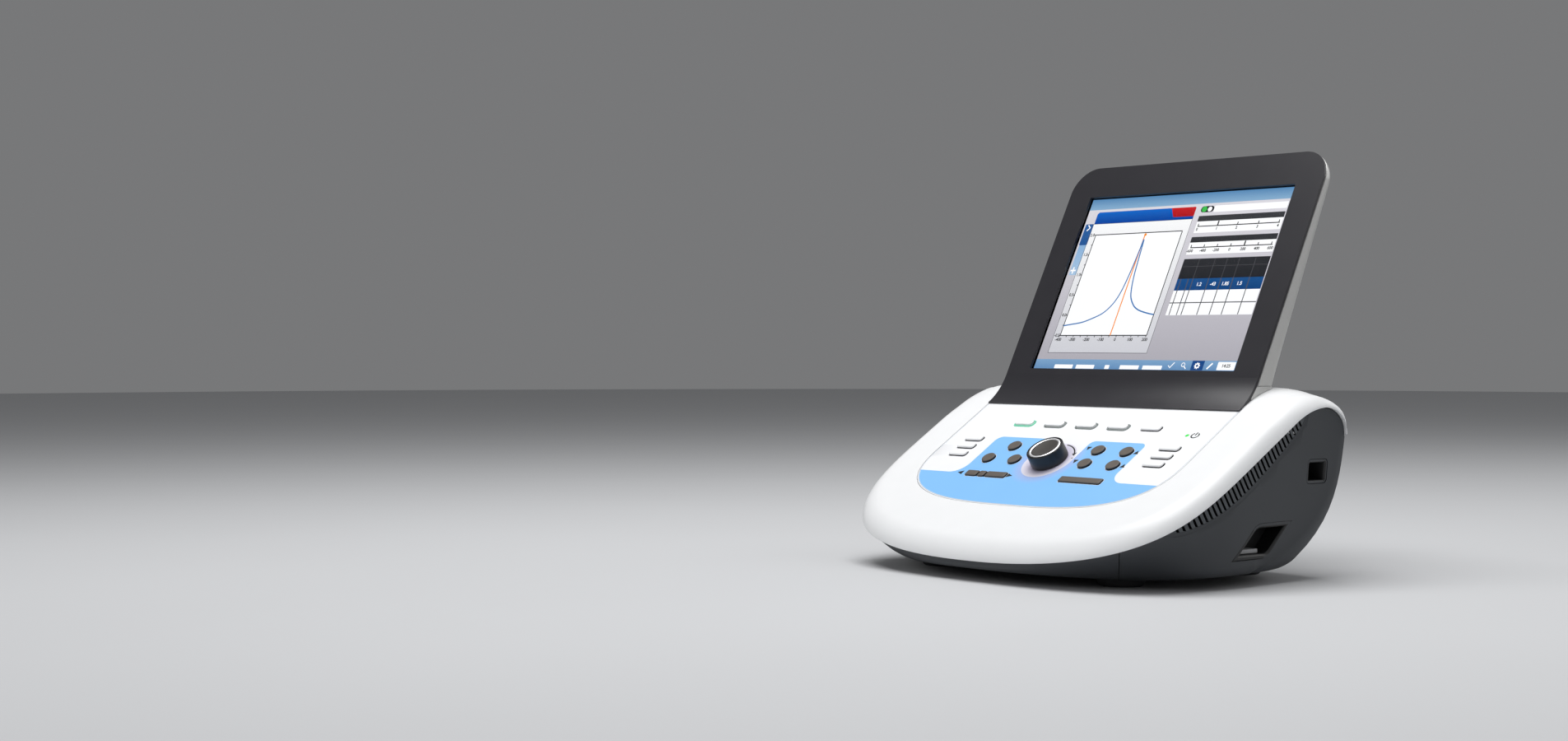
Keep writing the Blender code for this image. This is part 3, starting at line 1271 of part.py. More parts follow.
def shell_ring(turn, wall):
    """Right half of a ring of the back shell, one wall inside its skin. turn is the share of the rear
    rounding's quarter turn, or None for the ring on the front edge."""
    angle = QUARTER_TURN * (turn or 0)
    radius = SHELL_ROUND - wall
    inset = wall + radius * (1 - math.cos(angle))
    back = wall + radius * (1 - math.sin(angle))
    half, top, corner = BEZEL_HALF_WIDTH - inset, BEZEL_TOP - inset, BEZEL_CORNER - inset
    deep = SHELL_FRONT if turn is None else SHELL_FOOT_DEPTH - back
    foot = display_up_at(JOINT_Z + wall, -deep)
    ring = []
    for i in range(SHELL_SIDE_STEPS):
        up = foot + (top - corner - foot) * i / SHELL_SIDE_STEPS
        ring.append((half, up, -SHELL_FRONT if turn is None else back - shell_depth(up)))
    ring[0] = (half, foot, -deep)
    for x, up in arc((half - corner, top - corner), corner, 0, QUARTER_TURN, CORNER_ARC_STEPS):
        ring.append((x, up, -SHELL_FRONT if turn is None else back - shell_depth(up)))
    return ring


def make_back_shell(parts, frames):
    """Tray-shaped rear half of the display, open to the front, with a rounded rear edge."""
    rings = [shell_ring(turn, SHELL_WALL) for turn in reversed(SHELL_INNER_TURN_SHARES)]
    rings += [shell_ring(None, SHELL_WALL), shell_ring(None, 0)]
    rings += [shell_ring(turn, 0) for turn in SHELL_TURN_SHARES]
    bm = bmesh.new()
    mirrored_loft(bm, rings)
    shell = add_object("display_back_shell", bm, parts["shell_silver"], frames["display"])
    combine(shell, bracket_slot("cut_shell_slot"), "DIFFERENCE")


def bracket_y(z, out):
    """World y of a plane of the display at a world height."""
    return display_to_world(display_up_at(z, out), out)[0]


def bracket_front():
    """Distance of the bracket's front face behind the screen's plane."""
    return GLASS_THICKNESS + LCD_THICKNESS + GAP + GAP


def bracket_bend(out, drop):
    """World y at which a plane of the display meets the cover's crest less a drop."""
    y = CONSOLE_FOOT_Y
    for _ in range(ROUND_STEPS):
        y = bracket_y(crest(y) - drop, out)
    return y


def bezel_outline(inset, foot):
    """Sides and top of the bezel's outline moved inwards, from the right foot over to the left one."""
    half, top, corner = BEZEL_HALF_WIDTH - inset, BEZEL_TOP - inset, BEZEL_CORNER - inset
    right = [(half, -foot)] + arc((half - corner, top - corner), corner, 0, QUARTER_TURN, CORNER_ARC_STEPS)
    return right + [(-x, y) for x, y in reversed(right)]


def make_neck(parts):
    """Collar between the cover and the display, under the back shell and behind the bezel's foot."""
    top = JOINT_Z - GAP
    plane = BEZEL_FACE - BEZEL_THICKNESS - GAP
    profile = [(bracket_y(top, plane), top)]
    for point in skirt_curve():
        y, z = display_to_world(*skirt_back(point, BEZEL_THICKNESS + GAP))
        if crest(y) + GAP + NECK_TIP < z < top:
            profile.append((y, z))
    front = profile[-1][0]
    rear = bracket_y(top, -SHELL_FOOT_DEPTH)
    for i in range(NECK_STEPS + 1):
        y = front + (rear - front) * i / NECK_STEPS
        profile.append((y, crest(y) + GAP))
    profile.append((rear, top))
    bm = bmesh.new()
    half = BEZEL_HALF_WIDTH
    loft(bm, [[(x, y, z) for y, z in profile] for x in (-half, half)])
    neck = add_object("display_neck", bm, parts["shell_silver"])
    corner = SHELL_ROUND
    right = [(half, front - OVERRUN)]
    right += arc((half - corner, rear - corner), corner, 0, QUARTER_TURN, CORNER_ARC_STEPS)
    plan = bmesh.new()
    prism(plan, right + [(-x, y) for x, y in reversed(right)], CONSOLE_FOOT_Z - OVERRUN, CREST_Z + OVERRUN)
    combine(neck, add_object("keep_neck_plan", plan, None, helper=True), "INTERSECT")
    combine(neck, bracket_slot("cut_neck_slot"), "DIFFERENCE")


def make_screen(parts, frames):
    """Touch glass and the screen module behind it."""
    top = BEZEL_FACE - BEZEL_THICKNESS - GAP
    bm = bmesh.new()
    width, height = LCD_WIDTH + 2 * GLASS_MARGIN, LCD_HEIGHT + 2 * GLASS_MARGIN
    prism(bm, rounded_rectangle(width, height, GLASS_MARGIN / 2), top - GLASS_THICKNESS, top)
    add_object("touch_glass", bm, parts["screen_glass"], frames["display"])
    low = top - GLASS_THICKNESS - GAP
    bm = bmesh.new()
    width, height = LCD_WIDTH + 2 * LCD_MARGIN, LCD_HEIGHT + 2 * LCD_MARGIN
    prism(bm, rounded_rectangle(width, height, 0), low - LCD_THICKNESS, low)
    add_object("lcd_panel", bm, parts["screen_module"], frames["display"])


def make_bracket(parts):
    """Bent steel plate that carries the display: under the cover, up through the neck, behind the screen."""
    front, rear = -bracket_front(), -bracket_front() - BRACKET_THICKNESS
    under = COVER_WALL + GAP
    thick = BRACKET_THICKNESS / math.cos(CONSOLE_TILT)
    bend_front, bend_rear = bracket_bend(front, under), bracket_bend(rear, under + thick)
    start = BRACKET_FLANGE_Y
    upper = [start + (bend_front - start) * i / NECK_STEPS for i in range(NECK_STEPS + 1)]
    lower = [start + (bend_rear - start) * i / NECK_STEPS for i in range(NECK_STEPS + 1)]
    profile = [(y, crest(y) - under) for y in upper]
    profile += [display_to_world(BRACKET_UP, front), display_to_world(BRACKET_UP, rear)]
    profile += [(y, crest(y) - under - thick) for y in reversed(lower)]
    bm = bmesh.new()
    loft(bm, [[(x, y, z) for y, z in profile] for x in (-BRACKET_HALF_WIDTH, BRACKET_HALF_WIDTH)])
    add_object("display_bracket", bm, parts["steel"])


def make_inner_parts(parts):
    """Main board on its standoffs, power supply, air pump and speaker, all on the tray's floor."""
    floor = BASE_Z + BASE_WALL + GAP
    low = floor + STANDOFF_HEIGHT
    top = low + BOARD_THICKNESS
    bm = bmesh.new()
    centre = (MAIN_BOARD_X, MAIN_BOARD_Y, low + BOARD_THICKNESS / 2)
    box(bm, centre, (MAIN_BOARD_WIDTH, MAIN_BOARD_LENGTH, BOARD_THICKNESS))
    board = add_object("main_board", bm, parts["board_green"])
    chips = bmesh.new()
    for across, along, width, length, height in BOARD_CHIPS:
        centre = (MAIN_BOARD_X + across, MAIN_BOARD_Y + along, top - SWITCH_SINK + height / 2)
        box(chips, centre, (width, length, height))
    combine(board, add_object("add_chips", chips, None, helper=True), "UNION")

    bm = bmesh.new()
    box(bm, (SUPPLY_X, SUPPLY_Y, floor + SUPPLY_HEIGHT / 2), (SUPPLY_WIDTH, SUPPLY_LENGTH, SUPPLY_HEIGHT))
    bmesh.ops.bevel(bm, geom=list(bm.edges), offset=SUPPLY_EDGE, affect="EDGES", segments=1, profile=0.5)
    add_object("power_supply", bm, parts["module_aluminium"])

    head, top = floor + PUMP_HEIGHT, floor + PUMP_HEIGHT + PUMP_NOZZLE_HEIGHT
    profile = [
        (0, floor),
        (PUMP_HEAD_RADIUS, floor),
        (PUMP_HEAD_RADIUS, floor + PUMP_HEAD_HEIGHT),
        (PUMP_RADIUS, floor + PUMP_HEAD_HEIGHT),
        (PUMP_RADIUS, head),
        (PUMP_NOZZLE_RADIUS, head),
        (PUMP_NOZZLE_RADIUS, top),
        (0, top),
    ]
    bm = bmesh.new()
    turned(bm, profile, SMALL_ROUND_STEPS)
    add_object("air_pump", bm, parts["module_aluminium"], None, (PUMP_X, PUMP_Y, 0))

    # The tray's floor dips towards the front corners, and the speaker stands in the dip.
    floor -= SPEAKER_SINK
    step, top = floor + SPEAKER_MAGNET_HEIGHT, floor + SPEAKER_HEIGHT
    profile = [
        (0, floor),
        (SPEAKER_MAGNET_RADIUS, floor),
        (SPEAKER_MAGNET_RADIUS, step),
        (SPEAKER_RADIUS, top - SPEAKER_RIM),
        (SPEAKER_RADIUS, top),
        (SPEAKER_RADIUS - SPEAKER_RIM, top),
        (SPEAKER_CONE_RADIUS, step + SPEAKER_RIM),
        (0, step + 2 * SPEAKER_RIM),
    ]
    bm = bmesh.new()
    turned(bm, profile, SMALL_ROUND_STEPS)
    add_object("speaker", bm, parts["recess_black"], None, (SPEAKER_X, SPEAKER_Y, 0))


def make_frames():
    """Empties that carry the sloping console and the leaning display."""
    frames = {}
    console = Matrix.Translation((0, CONSOLE_FOOT_Y, CONSOLE_FOOT_Z)) @ Matrix.Rotation(CONSOLE_TILT, 4, "X")
    display = Matrix.Translation((0, LCD_Y, LCD_Z)) @ Matrix.Rotation(QUARTER_TURN - DISPLAY_LEAN, 4, "X")
    for name, matrix in (("console", console), ("display", display)):
        empty = bpy.data.objects.new(f"{name}_frame", None)
        bpy.context.scene.collection.objects.link(empty)
        empty.matrix_world = matrix
        frames[name] = empty
    return frames


def main():
    clear_scene()
    parts = make_finishes()
    frames = make_frames()
    make_cover(parts, frames)
    make_control_panel(parts, frames)
    make_keys(parts, frames)
    make_light_guide(parts, frames)
    make_power_led(parts, frames)
    make_key_board(parts, frames)
    make_knob(parts, frames)
    make_base_tray(parts)
    make_side_panels(parts)
    make_vent_grilles(parts)
    make_side_pockets(parts)
    make_rear_panel(parts)
    make_feet(parts)
    make_bezel(parts, frames)
    make_back_shell(parts, frames)
    make_neck(parts)
    make_screen(parts, frames)
    make_bracket(parts)
    make_inner_parts(parts)


main()
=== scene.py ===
"""The tympanometer as it looks: a white and charcoal console with a leaning colour screen.

Everything is in metres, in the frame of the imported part: +Z is up and the operator stands on the -Y side.
The forms repeat the laws of the part's own solids with finer steps, so each dressed piece lies where its
solid does.
"""

from __future__ import annotations

import enum
import json
import logging
import math
from collections.abc import Callable, Iterable, Sequence
from dataclasses import dataclass

import bmesh
import bpy
from mathutils import Matrix, Vector

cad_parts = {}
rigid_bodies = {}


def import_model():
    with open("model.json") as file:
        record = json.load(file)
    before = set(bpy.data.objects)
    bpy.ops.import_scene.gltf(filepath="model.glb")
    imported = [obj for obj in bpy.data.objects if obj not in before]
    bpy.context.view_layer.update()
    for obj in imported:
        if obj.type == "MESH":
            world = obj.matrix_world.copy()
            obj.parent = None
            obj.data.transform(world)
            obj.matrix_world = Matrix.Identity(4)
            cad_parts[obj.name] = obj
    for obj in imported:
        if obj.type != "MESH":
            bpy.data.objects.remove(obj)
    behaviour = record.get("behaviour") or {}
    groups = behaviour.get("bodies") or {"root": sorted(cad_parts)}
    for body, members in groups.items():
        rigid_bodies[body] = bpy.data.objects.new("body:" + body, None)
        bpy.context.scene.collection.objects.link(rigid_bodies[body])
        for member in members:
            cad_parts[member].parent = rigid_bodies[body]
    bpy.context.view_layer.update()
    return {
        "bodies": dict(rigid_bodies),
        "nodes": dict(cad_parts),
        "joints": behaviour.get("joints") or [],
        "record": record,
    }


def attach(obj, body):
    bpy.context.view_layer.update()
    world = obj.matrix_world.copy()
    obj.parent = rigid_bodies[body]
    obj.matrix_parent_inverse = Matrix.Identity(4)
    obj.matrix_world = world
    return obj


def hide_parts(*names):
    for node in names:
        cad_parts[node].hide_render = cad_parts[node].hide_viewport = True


LOG = logging.getLogger("tympanometer")

MM = 0.001
QUARTER_TURN = math.radians(90)
MERGE = 1e-6
GAP = 0.3 * MM
SHARP_ANGLE = math.radians(35)
# A face this large is a flat one, so it keeps its own normal next to a rounded edge.
FLAT_AREA = 400 * MM * MM

Point = tuple[float, float]
Spot = tuple[float, float, float]
Colour = tuple[float, float, float, float]
Outline = list[Point]
Mesh = bmesh.types.BMesh
Node = bpy.types.Node
Socket = bpy.types.NodeSocket
Tree = bpy.types.NodeTree


# Finishes


def linear(colour: str) -> Colour:
    """Linear colour of an sRGB hex value, by the curve of the sRGB standard."""
    parts = [int(colour[i : i + 2], 16) / 255 for i in (1, 3, 5)]
    red, green, blue = (c / 12.92 if c <= 0.04045 else ((c + 0.055) / 1.055) ** 2.4 for c in parts)
    return red, green, blue, 1.0


def shaded(colour: str, share: float) -> Colour:
    """Linear colour of a hex value made lighter or darker by a share."""
    red, green, blue, _ = linear(colour)
    return min(red * share, 1), min(green * share, 1), min(blue * share, 1), 1.0


def add_node(tree: Tree, kind: str, inputs: dict | None = None, **settings: str) -> Node:
    """Adds one shader node.

    Args:
        tree: the material's node tree.
        kind: the node's type name.
        inputs: values or sockets for its inputs, by name or number.
        settings: the node's own settings.

    Returns:
        The new node.
    """
    node = tree.nodes.new(kind)
    for name, value in settings.items():
        setattr(node, name, value)
    for name, value in (inputs or {}).items():
        if isinstance(value, Socket):
            tree.links.new(value, node.inputs[name])
        else:
            node.inputs[name].default_value = value
    return node


def from_axis(tree: Tree, place: Socket, centre: Spot, tilt: float) -> Socket:
    """Distance of each place from a leaning axis.

    Args:
        tree: the material's node tree.
        place: the Object coordinates.
        centre: a point of the axis.
        tilt: how far the axis leans from the vertical, about X.

    Returns:
        The distance's socket.
    """
    frame = {"Vector": place, "Location": centre, "Rotation": (tilt, 0, 0)}
    moved = add_node(tree, "ShaderNodeMapping", frame, vector_type="TEXTURE")
    level = {0: moved.outputs["Vector"], 1: (1, 1, 0)}
    flat = add_node(tree, "ShaderNodeVectorMath", level, operation="MULTIPLY").outputs["Vector"]
    return add_node(tree, "ShaderNodeVectorMath", {0: flat}, operation="LENGTH").outputs["Value"]


@dataclass(frozen=True)
class Finish:
    """A moulded, cast or coated surface: a colour with a faint mottle, and a fine raised grain."""

    name: str
    slot: str
    colour: str
    roughness: float = 0.5
    metallic: float = 0.0
    mottle: float = 0.03
    mottle_size: float = 14 * MM
    grain: float = 0.5 * MM
    relief: float = 0.01 * MM
    gloss_change: float = 0.04
    coat: float = 0.0
    coat_roughness: float = 0.08
    ior: float = 1.5
    sheen_level: float = 0.5

    def material(self) -> bpy.types.Material:
        """The finish as a material, made the first time it is asked for."""
        made = bpy.data.materials.get(self.name)
        if made is None:
            made = bpy.data.materials.new(self.name)
            made.use_nodes = True
            tree = made.node_tree
            shader = tree.nodes["Principled BSDF"]
            shader.inputs["Metallic"].default_value = self.metallic
            if not self.metallic:
                shader.inputs["IOR"].default_value = self.ior
            shader.inputs["Specular IOR Level"].default_value = self.sheen_level
            shader.inputs["Coat Weight"].default_value = self.coat
            shader.inputs["Coat Roughness"].default_value = self.coat_roughness
            self.surface(tree, shader, add_node(tree, "ShaderNodeTexCoord").outputs["Object"])
            made.diffuse_color = linear(self.colour)
        return made

    def surface(self, tree: Tree, shader: Node, place: Socket) -> None:
        """Links the colour, gloss and relief to the shader.

        Args:
            tree: the material's node tree.
            shader: its Principled BSDF.
            place: the Object coordinates.
        """
        cloud = self.noise(tree, place, self.mottle_size, 3)
        tree.links.new(self.tint(tree, place, cloud), shader.inputs["Base Color"])
        low, high = self.roughness - self.gloss_change, self.roughness + self.gloss_change
        gloss = add_node(tree, "ShaderNodeMapRange", {"Value": cloud, "To Min": low, "To Max": high})
        tree.links.new(gloss.outputs["Result"], shader.inputs["Roughness"])
        bump = add_node(tree, "ShaderNodeBump", {"Height": self.height(tree, place), "Distance": self.relief})
        tree.links.new(bump.outputs["Normal"], shader.inputs["Normal"])

    def noise(self, tree: Tree, place: Socket, size: float, detail: float) -> Socket:
        """Noise whose features are about the given size."""
        node = add_node(tree, "ShaderNodeTexNoise", {"Vector": place, "Scale": 1 / size, "Detail": detail})
        return node.outputs["Fac"]

    def tint(self, tree: Tree, place: Socket, cloud: Socket) -> Socket:
        """Colour, from a little darker to a little lighter than the finish's own."""
        dark, light = shaded(self.colour, 1 - self.mottle), shaded(self.colour, 1 + self.mottle)
        return self.between(tree, cloud, dark, light)

    def between(self, tree: Tree, share: Socket, first: Colour | Socket, second: Colour | Socket) -> Socket:
        """Colour that turns from one to another as a share goes from 0 to 1."""
        mix = add_node(tree, "ShaderNodeMix", {0: share, 6: first, 7: second}, data_type="RGBA")
        return mix.outputs[2]

    def height(self, tree: Tree, place: Socket) -> Socket:
        """Height of the grain."""
        return self.noise(tree, place, self.grain, 2)


@dataclass(frozen=True)
class TurnedMetal(Finish):
    """Metal with the fine rings that a lathe leaves about an axis."""

    centre: Spot = (0.0, 0.0, 0.0)
    tilt: float = 0.0

    def height(self, tree: Tree, place: Socket) -> Socket:
        """Height of the rings, from noise along the distance from the axis."""
        ring = add_node(tree, "ShaderNodeCombineXYZ", {"X": from_axis(tree, place, self.centre, self.tilt)})
        return self.noise(tree, ring.outputs["Vector"], self.grain, 2)


@dataclass(frozen=True)
class PrintedDisc(Finish):
    """Screen print whose colour turns from one tone to another with the distance from a centre; round the
    knob the turn also carries painted shade and a painted glow.
    """

    inner: str = "#FFFFFF"
    centre: Spot = (0.0, 0.0, 0.0)
    tilt: float = 0.0
    near: float = 0.0
    far: float = 1.0

    def tint(self, tree: Tree, place: Socket, cloud: Socket) -> Socket:
        """Colour by the distance from the centre, with the mottle over it."""
        radius = from_axis(tree, place, self.centre, self.tilt)
        ends = {"Value": radius, "From Min": self.near, "From Max": self.far}
        share = add_node(tree, "ShaderNodeMapRange", ends, interpolation_type="SMOOTHSTEP").outputs["Result"]
        return self.between(tree, share, linear(self.inner), super().tint(tree, place, cloud))


@dataclass(frozen=True)
class LitPicture(Finish):
    """Lit part of the screen: two tones, one above the other, with the faint grid of its pixels."""

    foot: str = "#FFFFFF"
    top_z: float = 0.30
    foot_z: float = 0.15
    power: float = 1.0
    pixel: float = 0.9 * MM
    pixel_edge: float = 0.05
    unlit: Colour = (0.01, 0.01, 0.012, 1.0)

    def surface(self, tree: Tree, shader: Node, place: Socket) -> None:
        """Gives off the picture's light, and keeps a dark, smooth surface under it."""
        height = add_node(tree, "ShaderNodeSeparateXYZ", {"Vector": place}).outputs["Z"]
        ends = {"Value": height, "From Min": self.foot_z, "From Max": self.top_z}
        share = add_node(tree, "ShaderNodeMapRange", ends).outputs["Result"]
        tone = self.between(tree, share, linear(self.foot), linear(self.colour))
        # Real pixels are 0.26 mm apart; they are drawn coarser, so that they show at all.
        cell = {"Vector": place, "Scale": 1 / self.pixel, "Randomness": 0.0}
        away = add_node(tree, "ShaderNodeTexVoronoi", cell).outputs["Distance"]
        dim = add_node(tree, "ShaderNodeMapRange", {"Value": away, "To Min": 0.0, "To Max": self.pixel_edge})
        lit = self.between(tree, dim.outputs["Result"], tone, (0, 0, 0, 1))
        tree.links.new(lit, shader.inputs["Emission Color"])
        shader.inputs["Emission Strength"].default_value = self.power
        shader.inputs["Base Color"].default_value = self.unlit
        shader.inputs["Roughness"].default_value = self.roughness


@dataclass(frozen=True)
class ClearMoulding(Finish):
    """Clear glass or acrylic, with a slight tint and almost no relief."""

    clarity: float = 1.0
    glow: str = "#000000"
    power: float = 0.0

    def surface(self, tree: Tree, shader: Node, place: Socket) -> None:
        """Lets light through, and glows a little where a lamp stands behind it."""
        super().surface(tree, shader, place)
        shader.inputs["Transmission Weight"].default_value = self.clarity
        shader.inputs["Emission Color"].default_value = linear(self.glow)
        shader.inputs["Emission Strength"].default_value = self.power


@dataclass(frozen=True)
class CircuitBoard(Finish):
    """Green solder mask over copper tracks, which show as paler lines under it."""

    track: str = "#2F7D4A"
    cell: float = 6 * MM
    track_pitch_share: float = 0.25
    track_share: float = 0.05

    def tint(self, tree: Tree, place: Socket, cloud: Socket) -> Socket:
        """Mask colour with tracks about 3 mm apart."""
        field = {"Vector": place, "Scale": 1 / self.cell}
        away = add_node(tree, "ShaderNodeTexVoronoi", field, distance="MANHATTAN", feature="F1")
        fold = {0: away.outputs["Distance"], 1: self.track_pitch_share}
        wave = add_node(tree, "ShaderNodeMath", fold, operation="PINGPONG")
        near = {0: wave.outputs["Value"], 1: self.track_share}
        line = add_node(tree, "ShaderNodeMath", near, operation="LESS_THAN")
        return self.between(tree, line.outputs["Value"], super().tint(tree, place, cloud), linear(self.track))


# The console's slope, and the (y, z) of its upper end.
CONSOLE_TILT = math.radians(32.05)
CONSOLE_FOOT = (0.0195, 0.1230)
# The knob's distance down the slope, and the pale disc printed round it, as (x, down the slope).
KNOB_DOWN = 72.8 * MM
HALO = (-1.2 * MM, KNOB_DOWN)
HALO_CENTRE = (HALO[0], -HALO[1])
HALO_RADIUS = 22.5 * MM


def on_console(x: float, down: float) -> Spot:
    """World place of a point on the console's plane."""
    y, z = CONSOLE_FOOT
    return x, y - down * math.cos(CONSOLE_TILT), z - down * math.sin(CONSOLE_TILT)


class Skin(enum.Enum):
    """The finishes of the instrument's outside."""

    # ABS, moulded in white and spark-textured very finely: a soft satin with no visible grain.
    COVER = Finish(
        "abs_white_satin", "cover_white", "#F4F5F6", 0.34,
        mottle=0.012, grain=0.35 * MM, relief=0.004 * MM,
    )
    # Polyester overlay film, matt on its face: a touch cooler and flatter than the cover.
    PANEL = Finish(
        "polyester_film_white", "panel_white", "#F5F6F8", 0.42,
        mottle=0.01, grain=0.3 * MM, relief=0.003 * MM,
    )
    # ABS, moulded in charcoal with a coarse spark texture: it sparkles softly where light grazes it.
    CHARCOAL = Finish(
        "abs_charcoal_textured", "body_charcoal", "#373A3E", 0.58,
        mottle=0.09, mottle_size=2.2 * MM, grain=0.55 * MM, relief=0.05 * MM, gloss_change=0.07,
    )
    # The same ABS in the thin grille bars, painted a little paler as painted light on them, so that they
    # stand out from the slots' painted shade.
    VENT = Finish("abs_charcoal_grille_painted_light", "vent_black", "#4A4E52", 0.62, mottle=0.06, relief=0.03 * MM)
    # Polycarbonate, moulded in black with a smooth wall, for the connector housings; the same black is
    # painted shade inside the side pockets and the vent slots, so that they look deep and plain.
    BLACK_PLASTIC_AND_SHADE = Finish("polycarbonate_black_and_painted_shade", "recess_black", "#141516", 0.45, mottle=0.08, grain=0.7 * MM)
    # Polycarbonate blend with a soft-touch paint: nearly black with a violet cast and a wide, dull sheen.
    BEZEL = Finish("soft_touch_paint_charcoal", "bezel_charcoal", "#26252A", 0.34, grain=0.3 * MM)
    # ABS with silver lacquer: fine metal flakes give a grey satin that lights up towards the lamps.
    SHELL = Finish(
        "silver_lacquer_abs", "shell_silver", "#BEBEBC", 0.42, 0.25,
        mottle=0.05, mottle_size=0.6 * MM, grain=0.25 * MM, relief=0.006 * MM, coat=0.15,
    )
    # Silicone-coated ABS cap in white: a smooth satin, brighter than the film round it.
    KEY_WHITE = Finish("abs_keycap_white", "key_white", "#F7F8F9", 0.36, mottle=0.012, relief=0.003 * MM)
    # Silicone rubber cap in taupe with a faint mould grain.
    KEY_TAUPE = Finish(
        "silicone_keycap_taupe", "key_taupe", "#5D554E", 0.52,
        mottle=0.05, mottle_size=4 * MM, grain=0.3 * MM, relief=0.02 * MM,
    )
    # Near-black painted shade on the lower sides of a taupe cap: the dark gap line round it.
    TAUPE_KEY_SHADE = Finish("taupe_key_side_painted_shade", "key_taupe", "#0D0E10", 0.6, mottle=0.05)
    # Near-black painted shade on the lower side and the flange of a white cap: the dark line that parts it
    # from the film.
    KEY_SHADE = Finish("white_key_side_painted_shade", "key_white", "#0B0C0E", 0.5, mottle=0.04)
    # Acrylic light guide, polished: clear grey with bright edges.
    GUIDE = ClearMoulding(
        "acrylic_light_guide", "light_clear", "#C9D2D0", 0.15,
        relief=0.002 * MM, clarity=0.55,
    )
    # The same acrylic with a lamp lit under it: a soft green-teal glow along the ring.
    GUIDE_LIT = ClearMoulding(
        "acrylic_light_guide_lit", "light_clear", "#9FD8C4", 0.15,
        relief=0.002 * MM, clarity=0.4, glow="#3FBF96", power=0.3,
    )
    # Epoxy lens of the green lamp, cast and lit from behind: a small, even glow.
    LAMP = ClearMoulding(
        "epoxy_lamp_green", "led_green", "#18C83C", 0.25,
        relief=0.002 * MM, clarity=0.1, glow="#0FC832", power=0.45,
    )
    # Black ABS, tumbled to a satin: the knob's side shows one long soft highlight.
    KNOB = Finish("abs_black_satin", "knob_black", "#0C0E12", 0.34, mottle=0.05, grain=0.4 * MM)
    # Aluminium ring, turned and polished: bright, with fine rings about the axis.
    KNOB_RING = TurnedMetal(
        "aluminium_turned_bright", "knob_silver", "#F6F6F7", 0.42, 1.0,
        mottle=0.02, grain=0.25 * MM, centre=on_console(0, KNOB_DOWN), tilt=CONSOLE_TILT,
    )
    # Dished cap, anodised in a warm grey over a turned surface.
    KNOB_CAP = TurnedMetal(
        "aluminium_anodised_taupe", "knob_taupe", "#4E4B48", 0.38, 0.35,
        mottle=0.05, grain=0.2 * MM, relief=0.006 * MM, centre=on_console(0, KNOB_DOWN), tilt=CONSOLE_TILT,
    )
    # Nitrile rubber: matt, with the bloom of the mould.
    RUBBER = Finish(
        "nitrile_rubber_black", "foot_rubber", "#2A2B2D", 0.82,
        mottle=0.12, mottle_size=5 * MM, relief=0.04 * MM,
    )
    # Nylon, moulded in light grey: the small socket at the recess's floor.
    SOCKET = Finish("nylon_grey", "socket_grey", "#A9AAAC", 0.45, mottle=0.04)


class Ink(enum.Enum):
    """The screen prints on the key panel; painted shade and a painted glow are blended into some of them."""

    # Sky-blue ink, which turns towards violet round the pale disc of the knob: that violet fringe is a
    # painted glow of the disc.
    FIELD = PrintedDisc(
        "ink_sky_blue_and_painted_glow", "panel_white", "#86C3FB", 0.42,
        mottle=0.015, mottle_size=30 * MM, relief=0.003 * MM, inner="#A3BDF0",
        centre=on_console(*HALO), tilt=CONSOLE_TILT, near=HALO_RADIUS, far=HALO_RADIUS + 10 * MM,
    )
    # Lilac tint fading to the film's white at the disc's edge; the darker lilac near the knob is partly the
    # print and partly painted shade from the knob.
    HALO = PrintedDisc(
        "ink_lilac_fade_and_knob_shade", "panel_white", "#E2DFEC", 0.42,
        mottle=0.01, mottle_size=30 * MM, relief=0.003 * MM, inner="#C6C0DA",
        centre=on_console(*HALO), tilt=CONSOLE_TILT, near=13 * MM, far=HALO_RADIUS,
    )
    # Black ink, thick enough to stand a few hundredths of a millimetre proud.
    BLACK = Finish("ink_black", "panel_white", "#15171A", 0.5, mottle=0.05, grain=0.2 * MM, relief=0.004 * MM)
    # Thin blue-grey keyline round the film.
    KEYLINE = Finish("ink_keyline_grey", "panel_white", "#A9B6C6", 0.45, mottle=0.05, relief=0.003 * MM)


class Inside(enum.Enum):
    """The finishes of the parts inside and behind the window."""

    # Sheet and bar steel, zinc-plated: a cool grey with cloudy patches of gloss.
    STEEL = Finish(
        "steel_zinc_plated", "steel", "#B9BDC0", 0.34, 1.0,
        mottle=0.08, mottle_size=9 * MM, grain=0.3 * MM,
    )
    # Aluminium, pressed and left bare: paler and duller than the steel.
    ALUMINIUM = Finish(
        "aluminium_pressed", "module_aluminium", "#C3C5C8", 0.4, 1.0,
        mottle=0.05, grain=0.4 * MM,
    )
    # Glass-epoxy board under green solder mask: a half-gloss green with paler tracks.
    BOARD = CircuitBoard("epoxy_board_green", "board_green", "#1B5A34", 0.42, mottle=0.08)
    # Pressed paper cone, dyed black: fibrous, with no highlight.
    PAPER = Finish(
        "paper_cone_black", "recess_black", "#1B1B1C", 0.8,
        mottle=0.15, grain=0.8 * MM, relief=0.05 * MM,
    )
    # Polycarbonate frame of the screen module, moulded in black: smooth and dark.
    MODULE = Finish("screen_frame_black", "screen_module", "#101114", 0.4, mottle=0.05, relief=0.005 * MM)
    # Float glass with a coating against reflections, drawn as a low IOR: it hardly shows over the picture.
    GLASS = ClearMoulding(
        "touch_glass_clear", "screen_glass", "#FDFEFF", 0.04,
        mottle=0.0, gloss_change=0.0, relief=0.0005 * MM, ior=1.12,
    )
    # Brass contacts, drawn and nickel-plated: small warm glints in the sockets.
    PIN = Finish("brass_nickel_plated", "steel", "#CFCBBE", 0.28, 1.0, mottle=0.04, relief=0.003 * MM)


# Mesh tools


